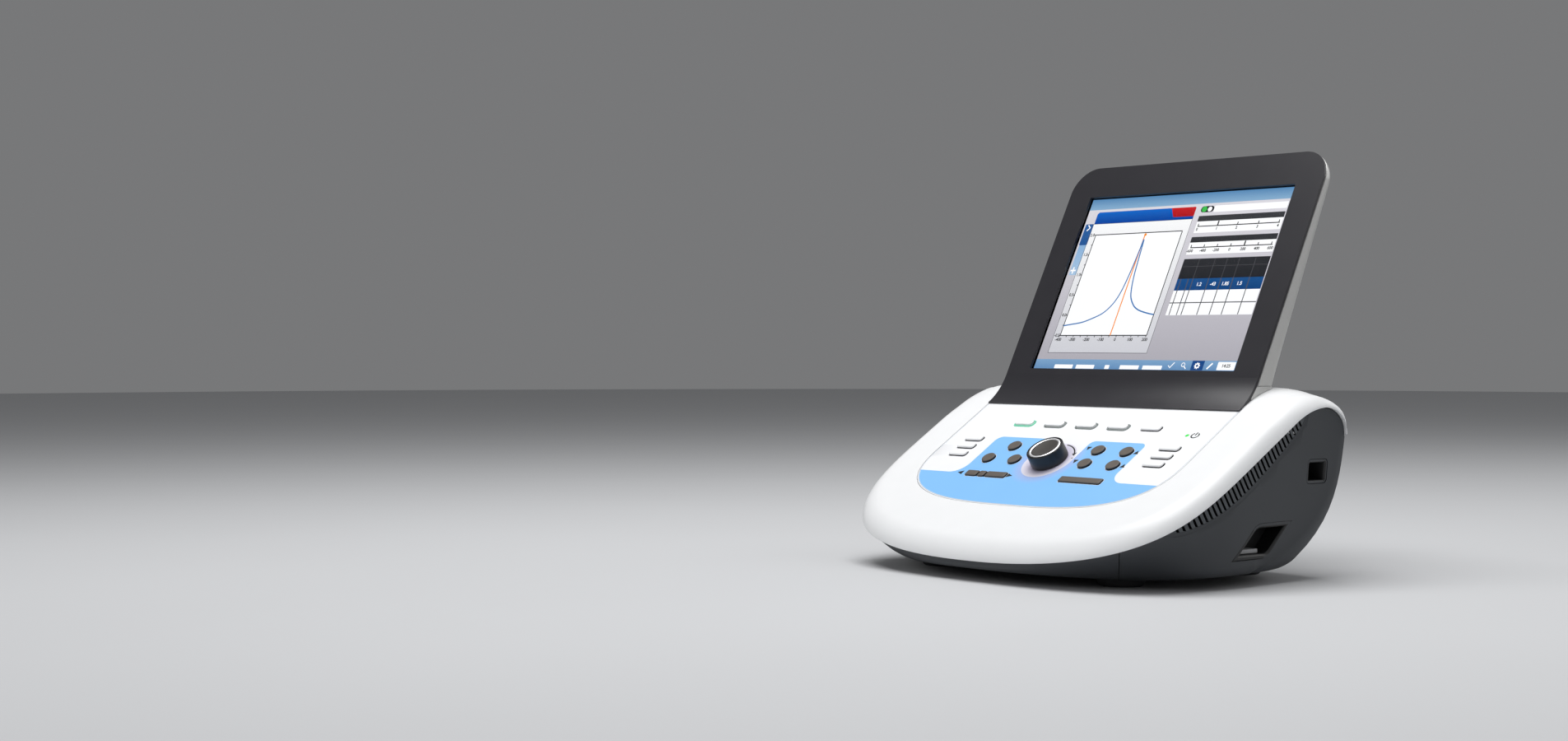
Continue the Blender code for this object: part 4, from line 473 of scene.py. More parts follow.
def grid(bm: Mesh, columns: int, rows: int, place: Callable[[int, int], Sequence[float]]) -> None:
    """Adds a grid of quads and moves each of its points.

    Args:
        bm: the mesh to add to.
        columns: number of steps one way.
        rows: number of steps the other way.
        place: gives the point of a column and row.
    """
    for vert in bmesh.ops.create_grid(bm, x_segments=columns, y_segments=rows, size=1.0)["verts"]:
        column, row = round((vert.co.x + 1) / 2 * columns), round((vert.co.y + 1) / 2 * rows)
        vert.co = place(column, row)


def tidy(bm: Mesh) -> Mesh:
    """Merges doubles, drops collapsed faces and turns the faces outwards."""
    bmesh.ops.remove_doubles(bm, verts=bm.verts, dist=MERGE)
    bmesh.ops.dissolve_degenerate(bm, edges=bm.edges, dist=MERGE)
    bmesh.ops.recalc_face_normals(bm, faces=bm.faces)
    return bm


def mirrored(bm: Mesh) -> Mesh:
    """Adds the left half to a right half that ends on the middle plane."""
    bmesh.ops.mirror(bm, geom=bm.verts[:] + bm.edges[:] + bm.faces[:], axis="X", merge_dist=MERGE)
    return tidy(bm)


def plate(outline: Iterable[Point], low: float, high: float, bm: Mesh | None = None) -> Mesh:
    """A flat plate of any outline, from one height to another.

    Args:
        outline: its points, in order.
        low: height of its lower face.
        high: height of its upper face.
        bm: the mesh to add to, or None for a new one.

    Returns:
        The mesh with the plate in it.
    """
    points = list(outline)
    bm = bm or bmesh.new()
    ring = bmesh.ops.create_circle(bm, cap_ends=True, radius=1.0, segments=len(points))["verts"]
    for vert, (x, y) in zip(ring, points):
        vert.co = (x, y, low)
    face = next(face for face in ring[0].link_faces if all(vert in ring for vert in face.verts))
    raised = bmesh.ops.extrude_face_region(bm, geom=[face], use_keep_orig=True)["geom"]
    upper = [item for item in raised if isinstance(item, bmesh.types.BMVert)]
    bmesh.ops.translate(bm, verts=upper, vec=(0, 0, high - low))
    bmesh.ops.recalc_face_normals(bm, faces=bm.faces)
    return bm


def block(centre: Sequence[float], size: Sequence[float], bm: Mesh | None = None) -> Mesh:
    """A rectangular block about a centre, added to a mesh or as a new one."""
    outline = rounded(size[0], size[1], 0, (centre[0], centre[1]))
    return plate(outline, centre[2] - size[2] / 2, centre[2] + size[2] / 2, bm)


def spun(profile: Sequence[Point], steps: int) -> Mesh:
    """A turned form about Z.

    Args:
        profile: its (radius, height) points: a closed loop, or a line that starts and ends on the axis.
        steps: number of steps round the axis.

    Returns:
        The form as a new mesh.
    """
    bm = bmesh.new()
    points = [bm.verts.new((radius, 0, height)) for radius, height in profile]
    edges = [bm.edges.new(pair) for pair in zip(points, points[1:])]
    if profile[0][0] or profile[-1][0]:
        edges.append(bm.edges.new((points[-1], points[0])))
    around = {"cent": (0, 0, 0), "axis": (0, 0, 1), "angle": 4 * QUARTER_TURN}
    bmesh.ops.spin(bm, geom=points + edges, steps=steps, use_merge=True, **around)
    return tidy(bm)


def soften(
    bm: Mesh,
    width: float,
    segments: int = 3,
    where: Callable[[Vector], bool] | None = None,
    least: float = math.radians(50),
) -> Mesh:
    """Rounds the sharp edges of a mesh.

    Args:
        bm: the mesh.
        width: width of the rounding.
        segments: number of steps across it.
        where: says from an edge's middle whether it is rounded, or None for all of them.
        least: turn between its two faces at which an edge counts as sharp.

    Returns:
        The same mesh.
    """
    edges = [
        edge
        for edge in bm.edges
        if len(edge.link_faces) == 2
        and edge.calc_face_angle(0) > least
        and (where is None or where((edge.verts[0].co + edge.verts[1].co) / 2))
    ]
    shape = {"profile": 0.5, "affect": "EDGES", "material": -1, "clamp_overlap": True}
    bmesh.ops.bevel(bm, geom=edges, offset=width, segments=segments, **shape)
    return bm


def linked(name: str, bm: Mesh) -> bpy.types.Object:
    """Turns a mesh into an object of the scene; the mesh is used up."""
    mesh = bpy.data.meshes.new(name)
    bm.to_mesh(mesh)
    bm.free()
    made = bpy.data.objects.new(name, mesh)
    bpy.context.scene.collection.objects.link(made)
    return made


def combine(bm: Mesh, other: Mesh, operation: str = "DIFFERENCE") -> Mesh:
    """Boolean of two closed meshes; both are used up.

    Args:
        bm: the form that is changed.
        other: the form that cuts it, adds to it or bounds it.
        operation: DIFFERENCE, UNION or INTERSECT.

    Returns:
        The result as a new mesh.
    """
    base, tool = linked("base_form", bm), linked("tool_form", other)
    step = base.modifiers.new("combine", "BOOLEAN")
    step.operation, step.solver, step.object = operation, "EXACT", tool
    bpy.context.view_layer.update()
    mesh = bpy.data.meshes.new_from_object(base.evaluated_get(bpy.context.evaluated_depsgraph_get()))
    made = bmesh.new()
    made.from_mesh(mesh)
    for data in (mesh, base.data, tool.data):
        bpy.data.meshes.remove(data)
    return made


def append(bm: Mesh, other: Mesh) -> None:
    """Adds one mesh to another, loose beside it; the added one is used up."""
    mesh = bpy.data.meshes.new("added_form")
    other.to_mesh(mesh)
    other.free()
    bm.from_mesh(mesh)
    bpy.data.meshes.remove(mesh)


def placed(bm: Mesh, matrix: Matrix) -> Mesh:
    """Moves a mesh by a matrix and gives it back."""
    bmesh.ops.transform(bm, matrix=matrix, verts=bm.verts)
    return bm


def both_sides(right: Outline) -> Outline:
    """Right half of an outline, followed by its mirror image on the left."""
    return right + [(-x, y) for x, y in reversed(right)]


def arc(centre: Point, radius: float, start: float, end: float, steps: int) -> Outline:
    """Points along a circle's arc, both ends included."""
    turns = [start + (end - start) * i / steps for i in range(steps + 1)]
    return [(centre[0] + radius * math.cos(turn), centre[1] + radius * math.sin(turn)) for turn in turns]


def circle(radius: float, centre: Point = (0, 0), steps: int = 48) -> Outline:
    """Points round a circle."""
    return arc(centre, radius, 0, 4 * QUARTER_TURN, steps)[:-1]


def rounded(width: float, length: float, radius: float, centre: Point = (0, 0), steps: int = 6) -> Outline:
    """Rectangle about a centre, with rounded corners."""
    signs = ((1, 1), (-1, 1), (-1, -1), (1, -1))
    if not radius:
        return [(centre[0] + sx * width / 2, centre[1] + sy * length / 2) for sx, sy in signs]
    points: Outline = []
    for turn, (sx, sy) in enumerate(signs):
        corner = (centre[0] + sx * (width / 2 - radius), centre[1] + sy * (length / 2 - radius))
        points += arc(corner, radius, turn * QUARTER_TURN, (turn + 1) * QUARTER_TURN, steps)
    return points


def filleted(corners: Sequence[Spot], steps: int = 10) -> Outline:
    """A polygon with rounded corners.

    Args:
        corners: its corners as (x, y, radius).
        steps: number of steps round each corner.

    Returns:
        The outline's points.
    """
    points: Outline = []
    for i, (x, y, radius) in enumerate(corners):
        if not radius:
            points.append((x, y))
            continue
        here = Vector((x, y))
        before = (Vector(corners[i - 1][:2]) - here).normalized()
        after = (Vector(corners[(i + 1) % len(corners)][:2]) - here).normalized()
        half = before.angle(after) / 2
        centre = here + (before + after).normalized() * radius / math.sin(half)
        start = here + before * radius / math.tan(half) - centre
        turn = (QUARTER_TURN * 2 - 2 * half) * (1 if before.x * after.y - before.y * after.x < 0 else -1)
        angle = math.atan2(start.y, start.x)
        points += arc((centre.x, centre.y), radius, angle, angle + turn, steps)
    return points


def clamped(value: float) -> float:
    """The value, kept from 0 to 1."""
    return min(max(value, 0), 1)


def show(
    name: str,
    bm: Mesh,
    finish: enum.Enum,
    body: str = "console",
    replaces: Sequence[str] = (),
    sides: enum.Enum | None = None,
    side_test: Callable[[bmesh.types.BMFace], bool] | None = None,
) -> None:
    """Makes a finished mesh one piece of the model.

    Args:
        name: the piece's name.
        bm: its mesh, already in place.
        finish: its finish.
        body: the body that it moves with.
        replaces: the part's nodes that it stands for.
        sides: a second finish, if some faces have one.
        side_test: says whether a face takes it; without it, the faces are marked already.
    """
    if side_test is not None:
        for face in bm.faces:
            face.material_index = int(side_test(face))
    piece = linked(name, bm)
    mesh = piece.data
    mesh.shade_smooth()
    mesh.set_sharp_from_angle(angle=SHARP_ANGLE)
    for face in mesh.polygons:
        face.use_smooth = face.area < FLAT_AREA
    for skin in (finish, sides):
        if skin is not None:
            mesh.materials.append(skin.value.material())
    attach(piece, body)
    if replaces:
        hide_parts(*replaces)
    LOG.info("%s: %d faces, rides on %s", name, len(mesh.polygons), body)


def dress(node: bpy.types.Object, finish: enum.Enum) -> None:
    """Gives a node of the part a finish."""
    node.data.materials.clear()
    node.data.materials.append(finish.value.material())
    LOG.info("%s: the part's own solid in %s", node.name, finish.value.name)


# Turns a plate's outline into (y, z), and its height into x.
SIDEWAYS = Matrix(((0, 0, 1, 0), (1, 0, 0, 0), (0, 1, 0, 0), (0, 0, 0, 1)))


# The body's laws


@dataclass(frozen=True)
class Station:
    """A place along the right half of the body's outline: a stretch of it, and a share of that stretch."""

    kind: str
    share: float


def shares(low: float, high: float, count: int) -> list[float]:
    """Evenly spaced values after the first one, up to and with the last one."""
    return [low + (high - low) * i / count for i in range(1, count + 1)]


def stretch(kind: str, low: float, high: float, count: int) -> list[Station]:
    """Evenly spaced stations of one stretch, after the low share, up to and with the high one."""
    return [Station(kind, share) for share in shares(low, high, count)]


@dataclass(frozen=True)
class BodyForm:
    """Plan and profile laws of the cover and of the lower body."""

    half_width: float = 0.1715
    nose_y: float = -0.1346
    shoulder_y: float = -0.0028
    rear_y: float = 0.0992
    width_power: float = 2.31
    length_power: float = 4.21
    rear_corner: float = 0.0128
    cover_corner: float = 0.0138
    cover_corner_growth: float = 0.0340
    crest_z: float = 0.1400
    crest_blend: float = 0.0236
    rim_tilt: float = math.radians(31.1)
    rim_foot_z: float = 0.1079
    rim_crest_z: float = 0.1262
    rim_blend: float = 0.0182
    rear_rim_drop: float = 0.0202
    rim_turn_length: float = 0.0250
    rim_turn_inset: float = 0.0080
    rim_gap: float = 0.0005
    rim_turn_gap: float = 0.0010
    nose_roll: float = 0.0106
    side_roll_width: float = 0.0125
    shoulder_roll: float = 0.0260
    rear_roll: float = 0.0300
    roll_start: float = 0.0080
    roll_end: float = 0.0680
    base_z: float = 0.0090
    base_wall: float = 0.0020
    rim_tuck: float = 0.0025
    rear_tuck: float = 0.0004
    side_draft: float = 0.085
    base_roll: float = 0.0070
    base_roll_share: float = 0.45
    rear_turn_z: float = 0.1070
    rear_sweep: float = 0.0067
    rear_sweep_power: float = 1.3
    base_corner: float = 0.0900
    corner_power: float = 3.26
    rear_inset_share: float = 0.2
    chin_inset: float = 0.0250
    chin_dip: float = 0.0030
    chin_peak_power: float = 0.716
    chin_width_power: float = 3
    chin_fall_power: float = 1.3

    def sloped(self, y: float, tilt: float, foot_z: float, level: float, blend: float) -> float:
        """Height of a slope that turns into a level shoulder by a parabola.

        Args:
            y: the place.
            tilt: the slope's angle.
            foot_z: height of the slope at the console's upper end.
            level: height of the shoulder.
            blend: half the parabola's length.

        Returns:
            The height.
        """
        slope = math.tan(tilt)
        meet = CONSOLE_FOOT[0] + (level - foot_z) / slope
        if y <= meet - blend:
            return foot_z + slope * (y - CONSOLE_FOOT[0])
        return level - slope * max(meet + blend - y, 0) ** 2 / (4 * blend)

    def crest(self, y: float) -> float:
        """Height of the cover's top."""
        return self.sloped(y, CONSOLE_TILT, CONSOLE_FOOT[1], self.crest_z, self.crest_blend)

    def rim_turn(self, y: float) -> float:
        """Share of the rim's turn down behind the shoulder."""
        start = self.rear_y - self.rim_turn_inset - self.rim_turn_length
        return clamped((y - start) / self.rim_turn_length)

    def rim_height(self, y: float) -> float:
        """Height of the cover's lower rim."""
        turn = self.rim_turn(y)
        level = self.sloped(y, self.rim_tilt, self.rim_foot_z, self.rim_crest_z, self.rim_blend)
        return level - self.rear_rim_drop * (1 - math.sqrt(1 - turn * turn))

    def side_roll(self, y: float) -> float:
        """Width of the rounding over the cover's side."""
        share = clamped((y - self.roll_start) / (self.roll_end - self.roll_start))
        growth = self.shoulder_roll - self.side_roll_width
        return self.side_roll_width + growth * share * share * (3 - 2 * share)

    def nose_share(self, y: float) -> float:
        """Share along the nose at which the widest outline passes y."""
        reach = (self.shoulder_y - y) / (self.shoulder_y - self.nose_y)
        angle = math.acos(min(reach, 1) ** (self.length_power / 2))
        return 1 - math.sqrt(1 - angle / QUARTER_TURN)

    def plan_point(self, station: Station, half: float, nose_y: float, rear_y: float, corner: float) -> Point:
        """A station's point on one of the body's outlines, which all have the same law.

        Args:
            station: the place along it.
            half: the outline's half width.
            nose_y: its front end.
            rear_y: its rear end.
            corner: radius of its rear corner.

        Returns:
            The point as (x, y).
        """
        share = station.share
        if station.kind == "nose":
            angle = QUARTER_TURN * (1 - (1 - share) ** 2)
            across = math.sin(angle) ** (2 / self.width_power)
            along = max(math.cos(angle), 0) ** (2 / self.length_power) if share < 1 else 0
            return half * across, self.shoulder_y - (self.shoulder_y - nose_y) * along
        if station.kind == "side":
            return half, self.shoulder_y + (rear_y - corner - self.shoulder_y) * share
        if station.kind == "rear":
            return (half - corner) * (1 - share), rear_y
        angle = QUARTER_TURN * share
        return half - corner * (1 - math.cos(angle)), rear_y - corner * (1 - math.sin(angle))

    def cover_point(self, station: Station, share: float, wall: float) -> Spot:
        """A point of the cover.

        Args:
            station: the place along its outline.
            share: 0 on its rim, 1 on its top.
            wall: distance inside its skin.

        Returns:
            The point.
        """
        angle = QUARTER_TURN * share
        inward = 1 - math.cos(angle)
        base = (self.half_width - wall, self.nose_y + wall, self.rear_y - wall, self.cover_corner - wall)
        foot_y = self.plan_point(station, *base)[1]
        x, y = self.plan_point(
            station,
            base[0] - (self.side_roll(foot_y) - wall) * inward,
            base[1] + (self.nose_roll - wall) * inward,
            base[2] - (self.rear_roll - wall) * inward,
            base[3] + self.cover_corner_growth * inward,
        )
        depth = self.crest(foot_y) - self.rim_height(foot_y) - wall
        return x, y, self.crest(y) - wall - depth * (1 - math.sin(angle))

    def chin_bump(self, station: Station) -> float:
        """Share of the extra tuck under the cover's front corners."""
        if station.kind != "nose":
            return 0
        wave = math.sin(2 * QUARTER_TURN * station.share**self.chin_peak_power)
        return max(wave, 0) ** self.chin_width_power

    def tuck(self, depth: float, height: float, bump: float) -> float:
        """How far a side lies inside the rim, some depth below it, where the whole side has a height."""
        fall = clamped(depth / height)
        return self.side_draft * depth + self.chin_inset * bump * fall**self.chin_fall_power

    def rear_drop(self, z: float) -> float:
        """Share of the rear wall's height above a place, from where its sweep starts."""
        return clamped((self.rear_turn_z - z) / (self.rear_turn_z - self.base_z))

    def lower_point(self, station: Station, level: float, wall: float = 0.0) -> Spot:
        """A point of the lower body.

        Args:
            station: the place along its outline.
            level: 0 under the rim, 1 above the base rounding, 2 below it.
            wall: distance inside its skin.

        Returns:
            The point.
        """
        bump = self.chin_bump(station)
        floor = self.base_z + wall - self.chin_dip * bump
        rim = (
            self.half_width - self.rim_tuck - wall,
            self.nose_y + self.rim_tuck + wall,
            self.rear_y - self.rear_tuck - wall,
        )
        rim_y = self.plan_point(station, *rim, self.rear_corner - wall)[1]
        top = self.rim_height(rim_y) - self.rim_gap - self.rim_turn_gap * self.rim_turn(rim_y)
        roll = min(self.base_roll, (top - floor) * self.base_roll_share)
        roll = max(roll - wall * self.base_roll_share, GAP)
        if level <= 1:
            z, inset = top + (floor + roll - top) * level, 0.0
        else:
            angle = QUARTER_TURN * (level - 1)
            z, inset = floor + roll * (1 - math.sin(angle)), roll * (1 - math.cos(angle))
        inset += self.tuck(top - z, top - self.base_z + self.chin_dip * bump, bump)
        drop = self.rear_drop(z)
        corner = self.rear_corner + (self.base_corner - self.rear_corner) * drop**self.corner_power - wall
        rear = rim[2] - self.rear_sweep * drop**self.rear_sweep_power - inset * self.rear_inset_share
        x, y = self.plan_point(station, rim[0] - inset, rim[1] + inset, rear, corner)
        return x, y, z

    def side_x(self, y: float, z: float, wall: float = 0.0) -> float:
        """Outer half width of the lower body beside the console, or of a surface one wall inside it."""
        top = self.rim_height(y) - self.rim_gap
        bump = 0.0
        if y < self.shoulder_y:
            bump = self.chin_bump(Station("nose", self.nose_share(max(y, self.nose_y))))
        inset = self.rim_tuck + wall + self.tuck(top - z, top - self.base_z + self.chin_dip * bump, bump)
        reach = clamped((self.shoulder_y - y) / (self.shoulder_y - self.nose_y - inset))
        return (self.half_width - inset) * (1 - reach**self.length_power) ** (1 / self.width_power)

    def rear_wall_y(self, z: float) -> float:
        """Outer face of the rear wall, at a height below the cover."""
        inset = self.side_draft * (self.rim_height(self.rear_y) - GAP - z) * self.rear_inset_share
        sweep = self.rear_sweep * self.rear_drop(z) ** self.rear_sweep_power
        return self.rear_y - self.rear_tuck - sweep - inset


FORM = BodyForm()


@dataclass(frozen=True)
class Frames:
    """The sloping console's and the leaning screen's own coordinates."""

    lean: float = math.radians(26.77)
    lcd_y: float = 0.080203
    lcd_z: float = 0.221402

    @property
    def console(self) -> Matrix:
        """From (x, up the slope, height above it) to the world."""
        return Matrix.Translation((0, *CONSOLE_FOOT)) @ Matrix.Rotation(CONSOLE_TILT, 4, "X")

    @property
    def display(self) -> Matrix:
        """From (x, up the screen, out of it) to the world."""
        centre = Matrix.Translation((0, self.lcd_y, self.lcd_z))
        return centre @ Matrix.Rotation(QUARTER_TURN - self.lean, 4, "X")

    def to_world(self, up: float, out: float) -> Point:
        """World (y, z) of a place in screen coordinates."""
        sine, cosine = math.sin(self.lean), math.cos(self.lean)
        return self.lcd_y + up * sine - out * cosine, self.lcd_z + up * cosine + out * sine

    def up_at(self, z: float, out: float) -> float:
        """Distance up the screen at which one of its planes passes a world height."""
        return (z - self.lcd_z - out * math.sin(self.lean)) / math.cos(self.lean)


FRAMES = Frames()
NOSE_STEPS = 44
SIDE_STEPS = 44
CORNER_STEPS = 18


def stations(seam: float = 0.0, rear: float = 0.0, rear_steps: int = 24) -> list[Station]:
    """Stations along the right half of the body.

    Args:
        seam: share of the nose at which they start.
        rear: share of the rear at which they end, or 0 for none of the rear.
        rear_steps: number of steps along the rear.

    Returns:
        The stations from front to rear.
    """
    found = [Station("nose", seam), *stretch("nose", seam, 1, NOSE_STEPS), *stretch("side", 0, 1, SIDE_STEPS)]
    found += stretch("corner", 0, 1, CORNER_STEPS)
    return found + (stretch("rear", 0, rear, rear_steps) if rear else [])


def capped(bm: Mesh) -> Mesh:
    """Closes the open ends of a form."""
    bmesh.ops.remove_doubles(bm, verts=bm.verts, dist=MERGE)
    bmesh.ops.holes_fill(bm, edges=[edge for edge in bm.edges if edge.is_boundary], sides=0)
    return tidy(bm)


def stack(outline_at: Callable[[float], Outline], levels: Sequence[Point], bm: Mesh | None = None) -> Mesh:
    """A form with one outline at several heights.

    Args:
        outline_at: gives the outline at an outward offset.
        levels: (height, offset) of each ring; when the last is the first again, the form is a tube.
        bm: the mesh to add to, or None for a new one.

    Returns:
        The mesh with the form in it.
    """
    bm = bm or bmesh.new()
    rings = [outline_at(offset) for _, offset in levels]
    count = len(rings[0])
    grid(bm, count, len(levels) - 1, lambda i, j: (*rings[j][i % count], levels[j][0]))
    return capped(bm)


def across(profile: Sequence[Point], half: float) -> Mesh:
    """A (y, z) profile drawn out from side to side, with flat ends."""
    bm = bmesh.new()
    count = len(profile)
    grid(bm, count, 1, lambda i, j: (half * (2 * j - 1), *profile[i % count]))
    return capped(bm)


# The pieces


@dataclass(frozen=True)
class CoverShell:
    """White cover over the whole body, with the seat of the key panel and the opening under it."""

    wall: float = 3.4 * MM
    ledge: float = 4.0 * MM
    lip: float = 0.7 * MM
    overrun: float = 12 * MM
    steps_across: int = 24
    roll_steps: int = 14
    inner_steps: int = 6

    def shell(self) -> Mesh:
        """The closed shell, before its openings."""
        bm = bmesh.new()
        edge = stations(0, 1, self.steps_across)
        levels = [(1 - i / self.roll_steps, 0.0) for i in range(self.roll_steps + 1)]
        levels += [(i / self.inner_steps, self.wall) for i in range(self.inner_steps + 1)]
        grid(bm, len(edge) - 1, len(levels) - 1, lambda i, j: FORM.cover_point(edge[i], *levels[j]))
        rim = stations()
        for wall in (0.0, self.wall):
            grid(bm, len(rim) - 1, self.steps_across, lambda i, j, w=wall: self.top_point(rim[i], j, w))
        return soften(mirrored(bm), self.lip, 3)

    def top_point(self, station: Station, step: int, wall: float) -> Spot:
        """A point of the top, some steps from its edge to the middle."""
        x, y, z = FORM.cover_point(station, 1, wall)
        return x * (1 - step / self.steps_across), y, z

    def build(self) -> None:
        """Makes the cover."""
        seat = plate(KEY_PANEL.outline(GAP), -KEY_PANEL.thickness - GAP, self.overrun)
        opening = plate(KEY_PANEL.outline(-self.ledge), -self.overrun, self.overrun)
        bm = self.shell()
        for cutter in (seat, opening):
            bm = combine(bm, placed(cutter, FRAMES.console))
        bm = combine(bm, SLOT.block())
        show("cover_shell", tidy(bm), Skin.COVER, replaces=["top_cover"])


@dataclass(frozen=True)
class KeyPanel:
    """Flat film-faced panel under the keys, with its bosses and openings."""

    half: float = 130 * MM
    top: float = -3.4 * MM
    shoulder: float = 60 * MM
    bottom: float = 132 * MM
    front_power: float = 2 / 3
    front_crowding: float = 1.5
    thickness: float = 1.6 * MM
    edge: float = 0.25 * MM
    overrun: float = 12 * MM
    boss_radius: float = 3 * MM
    boss_foot: float = -7.6 * MM
    boss_head: float = -0.8 * MM
    bosses_x: tuple[float, ...] = (-108 * MM, -17 * MM, 17 * MM, 108 * MM)
    bosses_down: tuple[float, ...] = (40 * MM, 90.5 * MM)
    bushing_hole: float = 4.6 * MM
    lamp_hole: float = 1.7 * MM
    lamp: Point = (104.5 * MM, 32.6 * MM)

    def outline(self, offset: float = 0.0, steps: int = 40) -> Outline:
        """Straight sides and a blunt, rounded front.

        Args:
            offset: how far the outline lies outside the panel's own.
            steps: number of steps along half the front.

        Returns:
            Its points as (x, up the slope).
        """
        half, reach = self.half + offset, self.bottom - self.shoulder + offset
        right = [(half, -self.top + offset)]
        for i in range(steps + 1):
            angle = QUARTER_TURN * (1 - (1 - i / steps) ** self.front_crowding)
            x = half * math.cos(angle) ** self.front_power if i < steps else 0.0
            right.append((x, -self.shoulder - reach * math.sin(angle) ** self.front_power))
        return right + [(-x, y) for x, y in reversed(right[:-1])]

    def holes(self, margin: float, low: float, high: float) -> Mesh:
        """The keys', the knob's and the lamp's openings, each larger by a margin, as one cutter."""
        bm = bmesh.new()
        for key in KEYS:
            plate(key.outline_at(key.clearance + margin, 6), low, high, bm)
        plate(circle(self.bushing_hole + margin, (0, -KNOB_DOWN)), low, high, bm)
        plate(circle(self.lamp_hole + margin, (self.lamp[0], -self.lamp[1])), low, high, bm)
        return bm

    def build(self) -> None:
        """Makes the panel."""
        bm = soften(plate(self.outline(-GAP), -self.thickness, 0), self.edge, 2)
        for x in self.bosses_x:
            for down in self.bosses_down:
                boss = plate(circle(self.boss_radius, (x, -down), 24), self.boss_foot, self.boss_head)
                bm = combine(bm, boss, "UNION")
        bm = combine(bm, self.holes(0.0, -self.overrun, self.overrun))
        show("panel_film", placed(tidy(bm), FRAMES.console), Skin.PANEL, replaces=["control_panel"])


KEY_PANEL = KeyPanel()


@dataclass(frozen=True)
class PanelPrint:
    """The inks on the panel: the blue field, the pale disc, the black marks, black strips of painted shade in
    the gaps between the start keys, and the keyline.

    The points of the field's blocks are (x, up the slope, corner radius), and those of the marks (x, down).
    """

    ink: float = 0.05 * MM
    foot: float = 0.002 * MM
    margin: float = 0.35 * MM
    gap_shade_margin: float = 0.01 * MM
    overrun: float = 1 * MM
    keyline_inset: Point = (1.3 * MM, 1.0 * MM)
    keyline_ink_share: float = 1.4
    halo_gap: float = 0.15 * MM
    field_low: float = -95.4 * MM
    field_top: float = -45.3 * MM
    bay_foot: float = -60 * MM
    field_inset: float = 1.6 * MM
    field_edge_x: float = 123.4 * MM
    band_gap: float = 0.2 * MM
    arrow_width: float = 4.6 * MM
    round_key_arrows: tuple[Spot, ...] = (
        (25.2 * MM, 55.2 * MM, -1), (25.3 * MM, 72.6 * MM, -1),
        (74.6 * MM, 56.8 * MM, 1), (74.8 * MM, 74.2 * MM, 1),
    )
    bar_arrows: tuple[Point, ...] = ((-77.8 * MM, -1), (-23.7 * MM, 1))
    bar_arrow_half: Point = (2.8 * MM, 2.45 * MM)
    bar_arrow_down: float = 95.35 * MM
    # Black strips on the film in the gaps between the start keys: painted shade for those gaps.
    gap_shade_x: tuple[float, ...] = (-57.0 * MM, -48.8 * MM)
    gap_shade_down: float = 95.7 * MM
    gap_shade_size: Point = (3.2 * MM, 6.6 * MM)
    turn_band: Point = (20.1 * MM, 21.2 * MM)
    turn_head: Point = (18.7 * MM, 22.6 * MM)
    turn_spans: tuple[Point, ...] = ((29, 84), (10.5, 13.5))
    turn_tip: float = math.radians(20)
    turn_back: float = math.radians(31)
    power_place: Point = (111.7 * MM, 32.2 * MM)
    power_ring: Point = (2.6 * MM, 3.6 * MM)
    power_span: Point = (math.radians(125), math.radians(415))
    power_bar: Point = (1.0 * MM, 3.8 * MM)

    def build(self) -> None:
        """Prints the inks in their order."""
        self.print_on("print_field", [self.field()], Ink.FIELD)
        self.print_on("print_halo", [circle(HALO_RADIUS - self.halo_gap, HALO_CENTRE, 96)], Ink.HALO)
        self.print_on("print_marks", [*self.arrows(), *self.turn_arrow(), *self.power_mark()], Ink.BLACK, 2)
        # Painted shade: black ink strips in the gaps between the start keys.
        gap_shades = [rounded(*self.gap_shade_size, 0, (x, -self.gap_shade_down)) for x in self.gap_shade_x]
        self.print_on("print_gap_shade", gap_shades, Ink.BLACK, 2, self.gap_shade_margin)
        outer, inner = self.keyline_inset
        top = self.ink * self.keyline_ink_share
        line = stack(KEY_PANEL.outline, [(0, -outer), (0, -inner), (top, -inner), (top, -outer), (0, -outer)])
        show("print_keyline", placed(line, FRAMES.console), Ink.KEYLINE)

    def print_on(
        self, name: str, outlines: Sequence[Outline], ink: Ink, coats: int = 1, margin: float | None = None
    ) -> None:
        """Prints some areas in one ink, leaving the openings free.

        Args:
            name: the piece's name.
            outlines: the areas.
            ink: the ink.
            coats: number of coats, one over the other.
            margin: free edge round each opening, or None for the usual one.
        """
        bm = bmesh.new()
        for outline in outlines:
            plate(outline, self.foot, self.ink * coats, bm)
        free = self.margin if margin is None else margin
        bm = combine(bm, KEY_PANEL.holes(free, -self.overrun, self.overrun))
        show(name, placed(tidy(bm), FRAMES.console), ink)

    def field(self) -> Outline:
        """The blue field: two blocks with a bay for the knob between them, over a band along the front."""
        mm, low, top = MM, self.field_low, self.field_top
        left = [(-92 * mm, low, 0), (-78 * mm, low, 13 * mm), (-78 * mm, top, 6 * mm)]
        left += [(-23.7 * mm, top, 5 * mm), (-23.7 * mm, self.bay_foot, 0)]
        right = [(21.3 * mm, self.bay_foot, 0), (21.3 * mm, top, 5 * mm), (76.3 * mm, top, 5.5 * mm)]
        right += [(76.3 * mm, low, 12.5 * mm), (89 * mm, low, 0)]
        bay = arc(HALO_CENTRE, HALO_RADIUS, 2 * QUARTER_TURN, 4 * QUARTER_TURN, 48)
        front = [point for point in KEY_PANEL.outline(-self.field_inset) if point[1] < low - self.band_gap]
        ends = [(self.field_edge_x, low)], [(-self.field_edge_x, low)]
        return self.corners(left) + bay + self.corners(right) + ends[0] + front + ends[1]

    def corners(self, points: Sequence[Spot]) -> Outline:
        """Open run of (x, up, radius) points whose middle ones are rounded."""
        found: Outline = [points[0][:2]]
        for before, here, after in zip(points, points[1:], points[2:]):
            found += filleted([(*before[:2], 0), here, (*after[:2], 0)])[1:-1]
        return found + [points[-1][:2]]

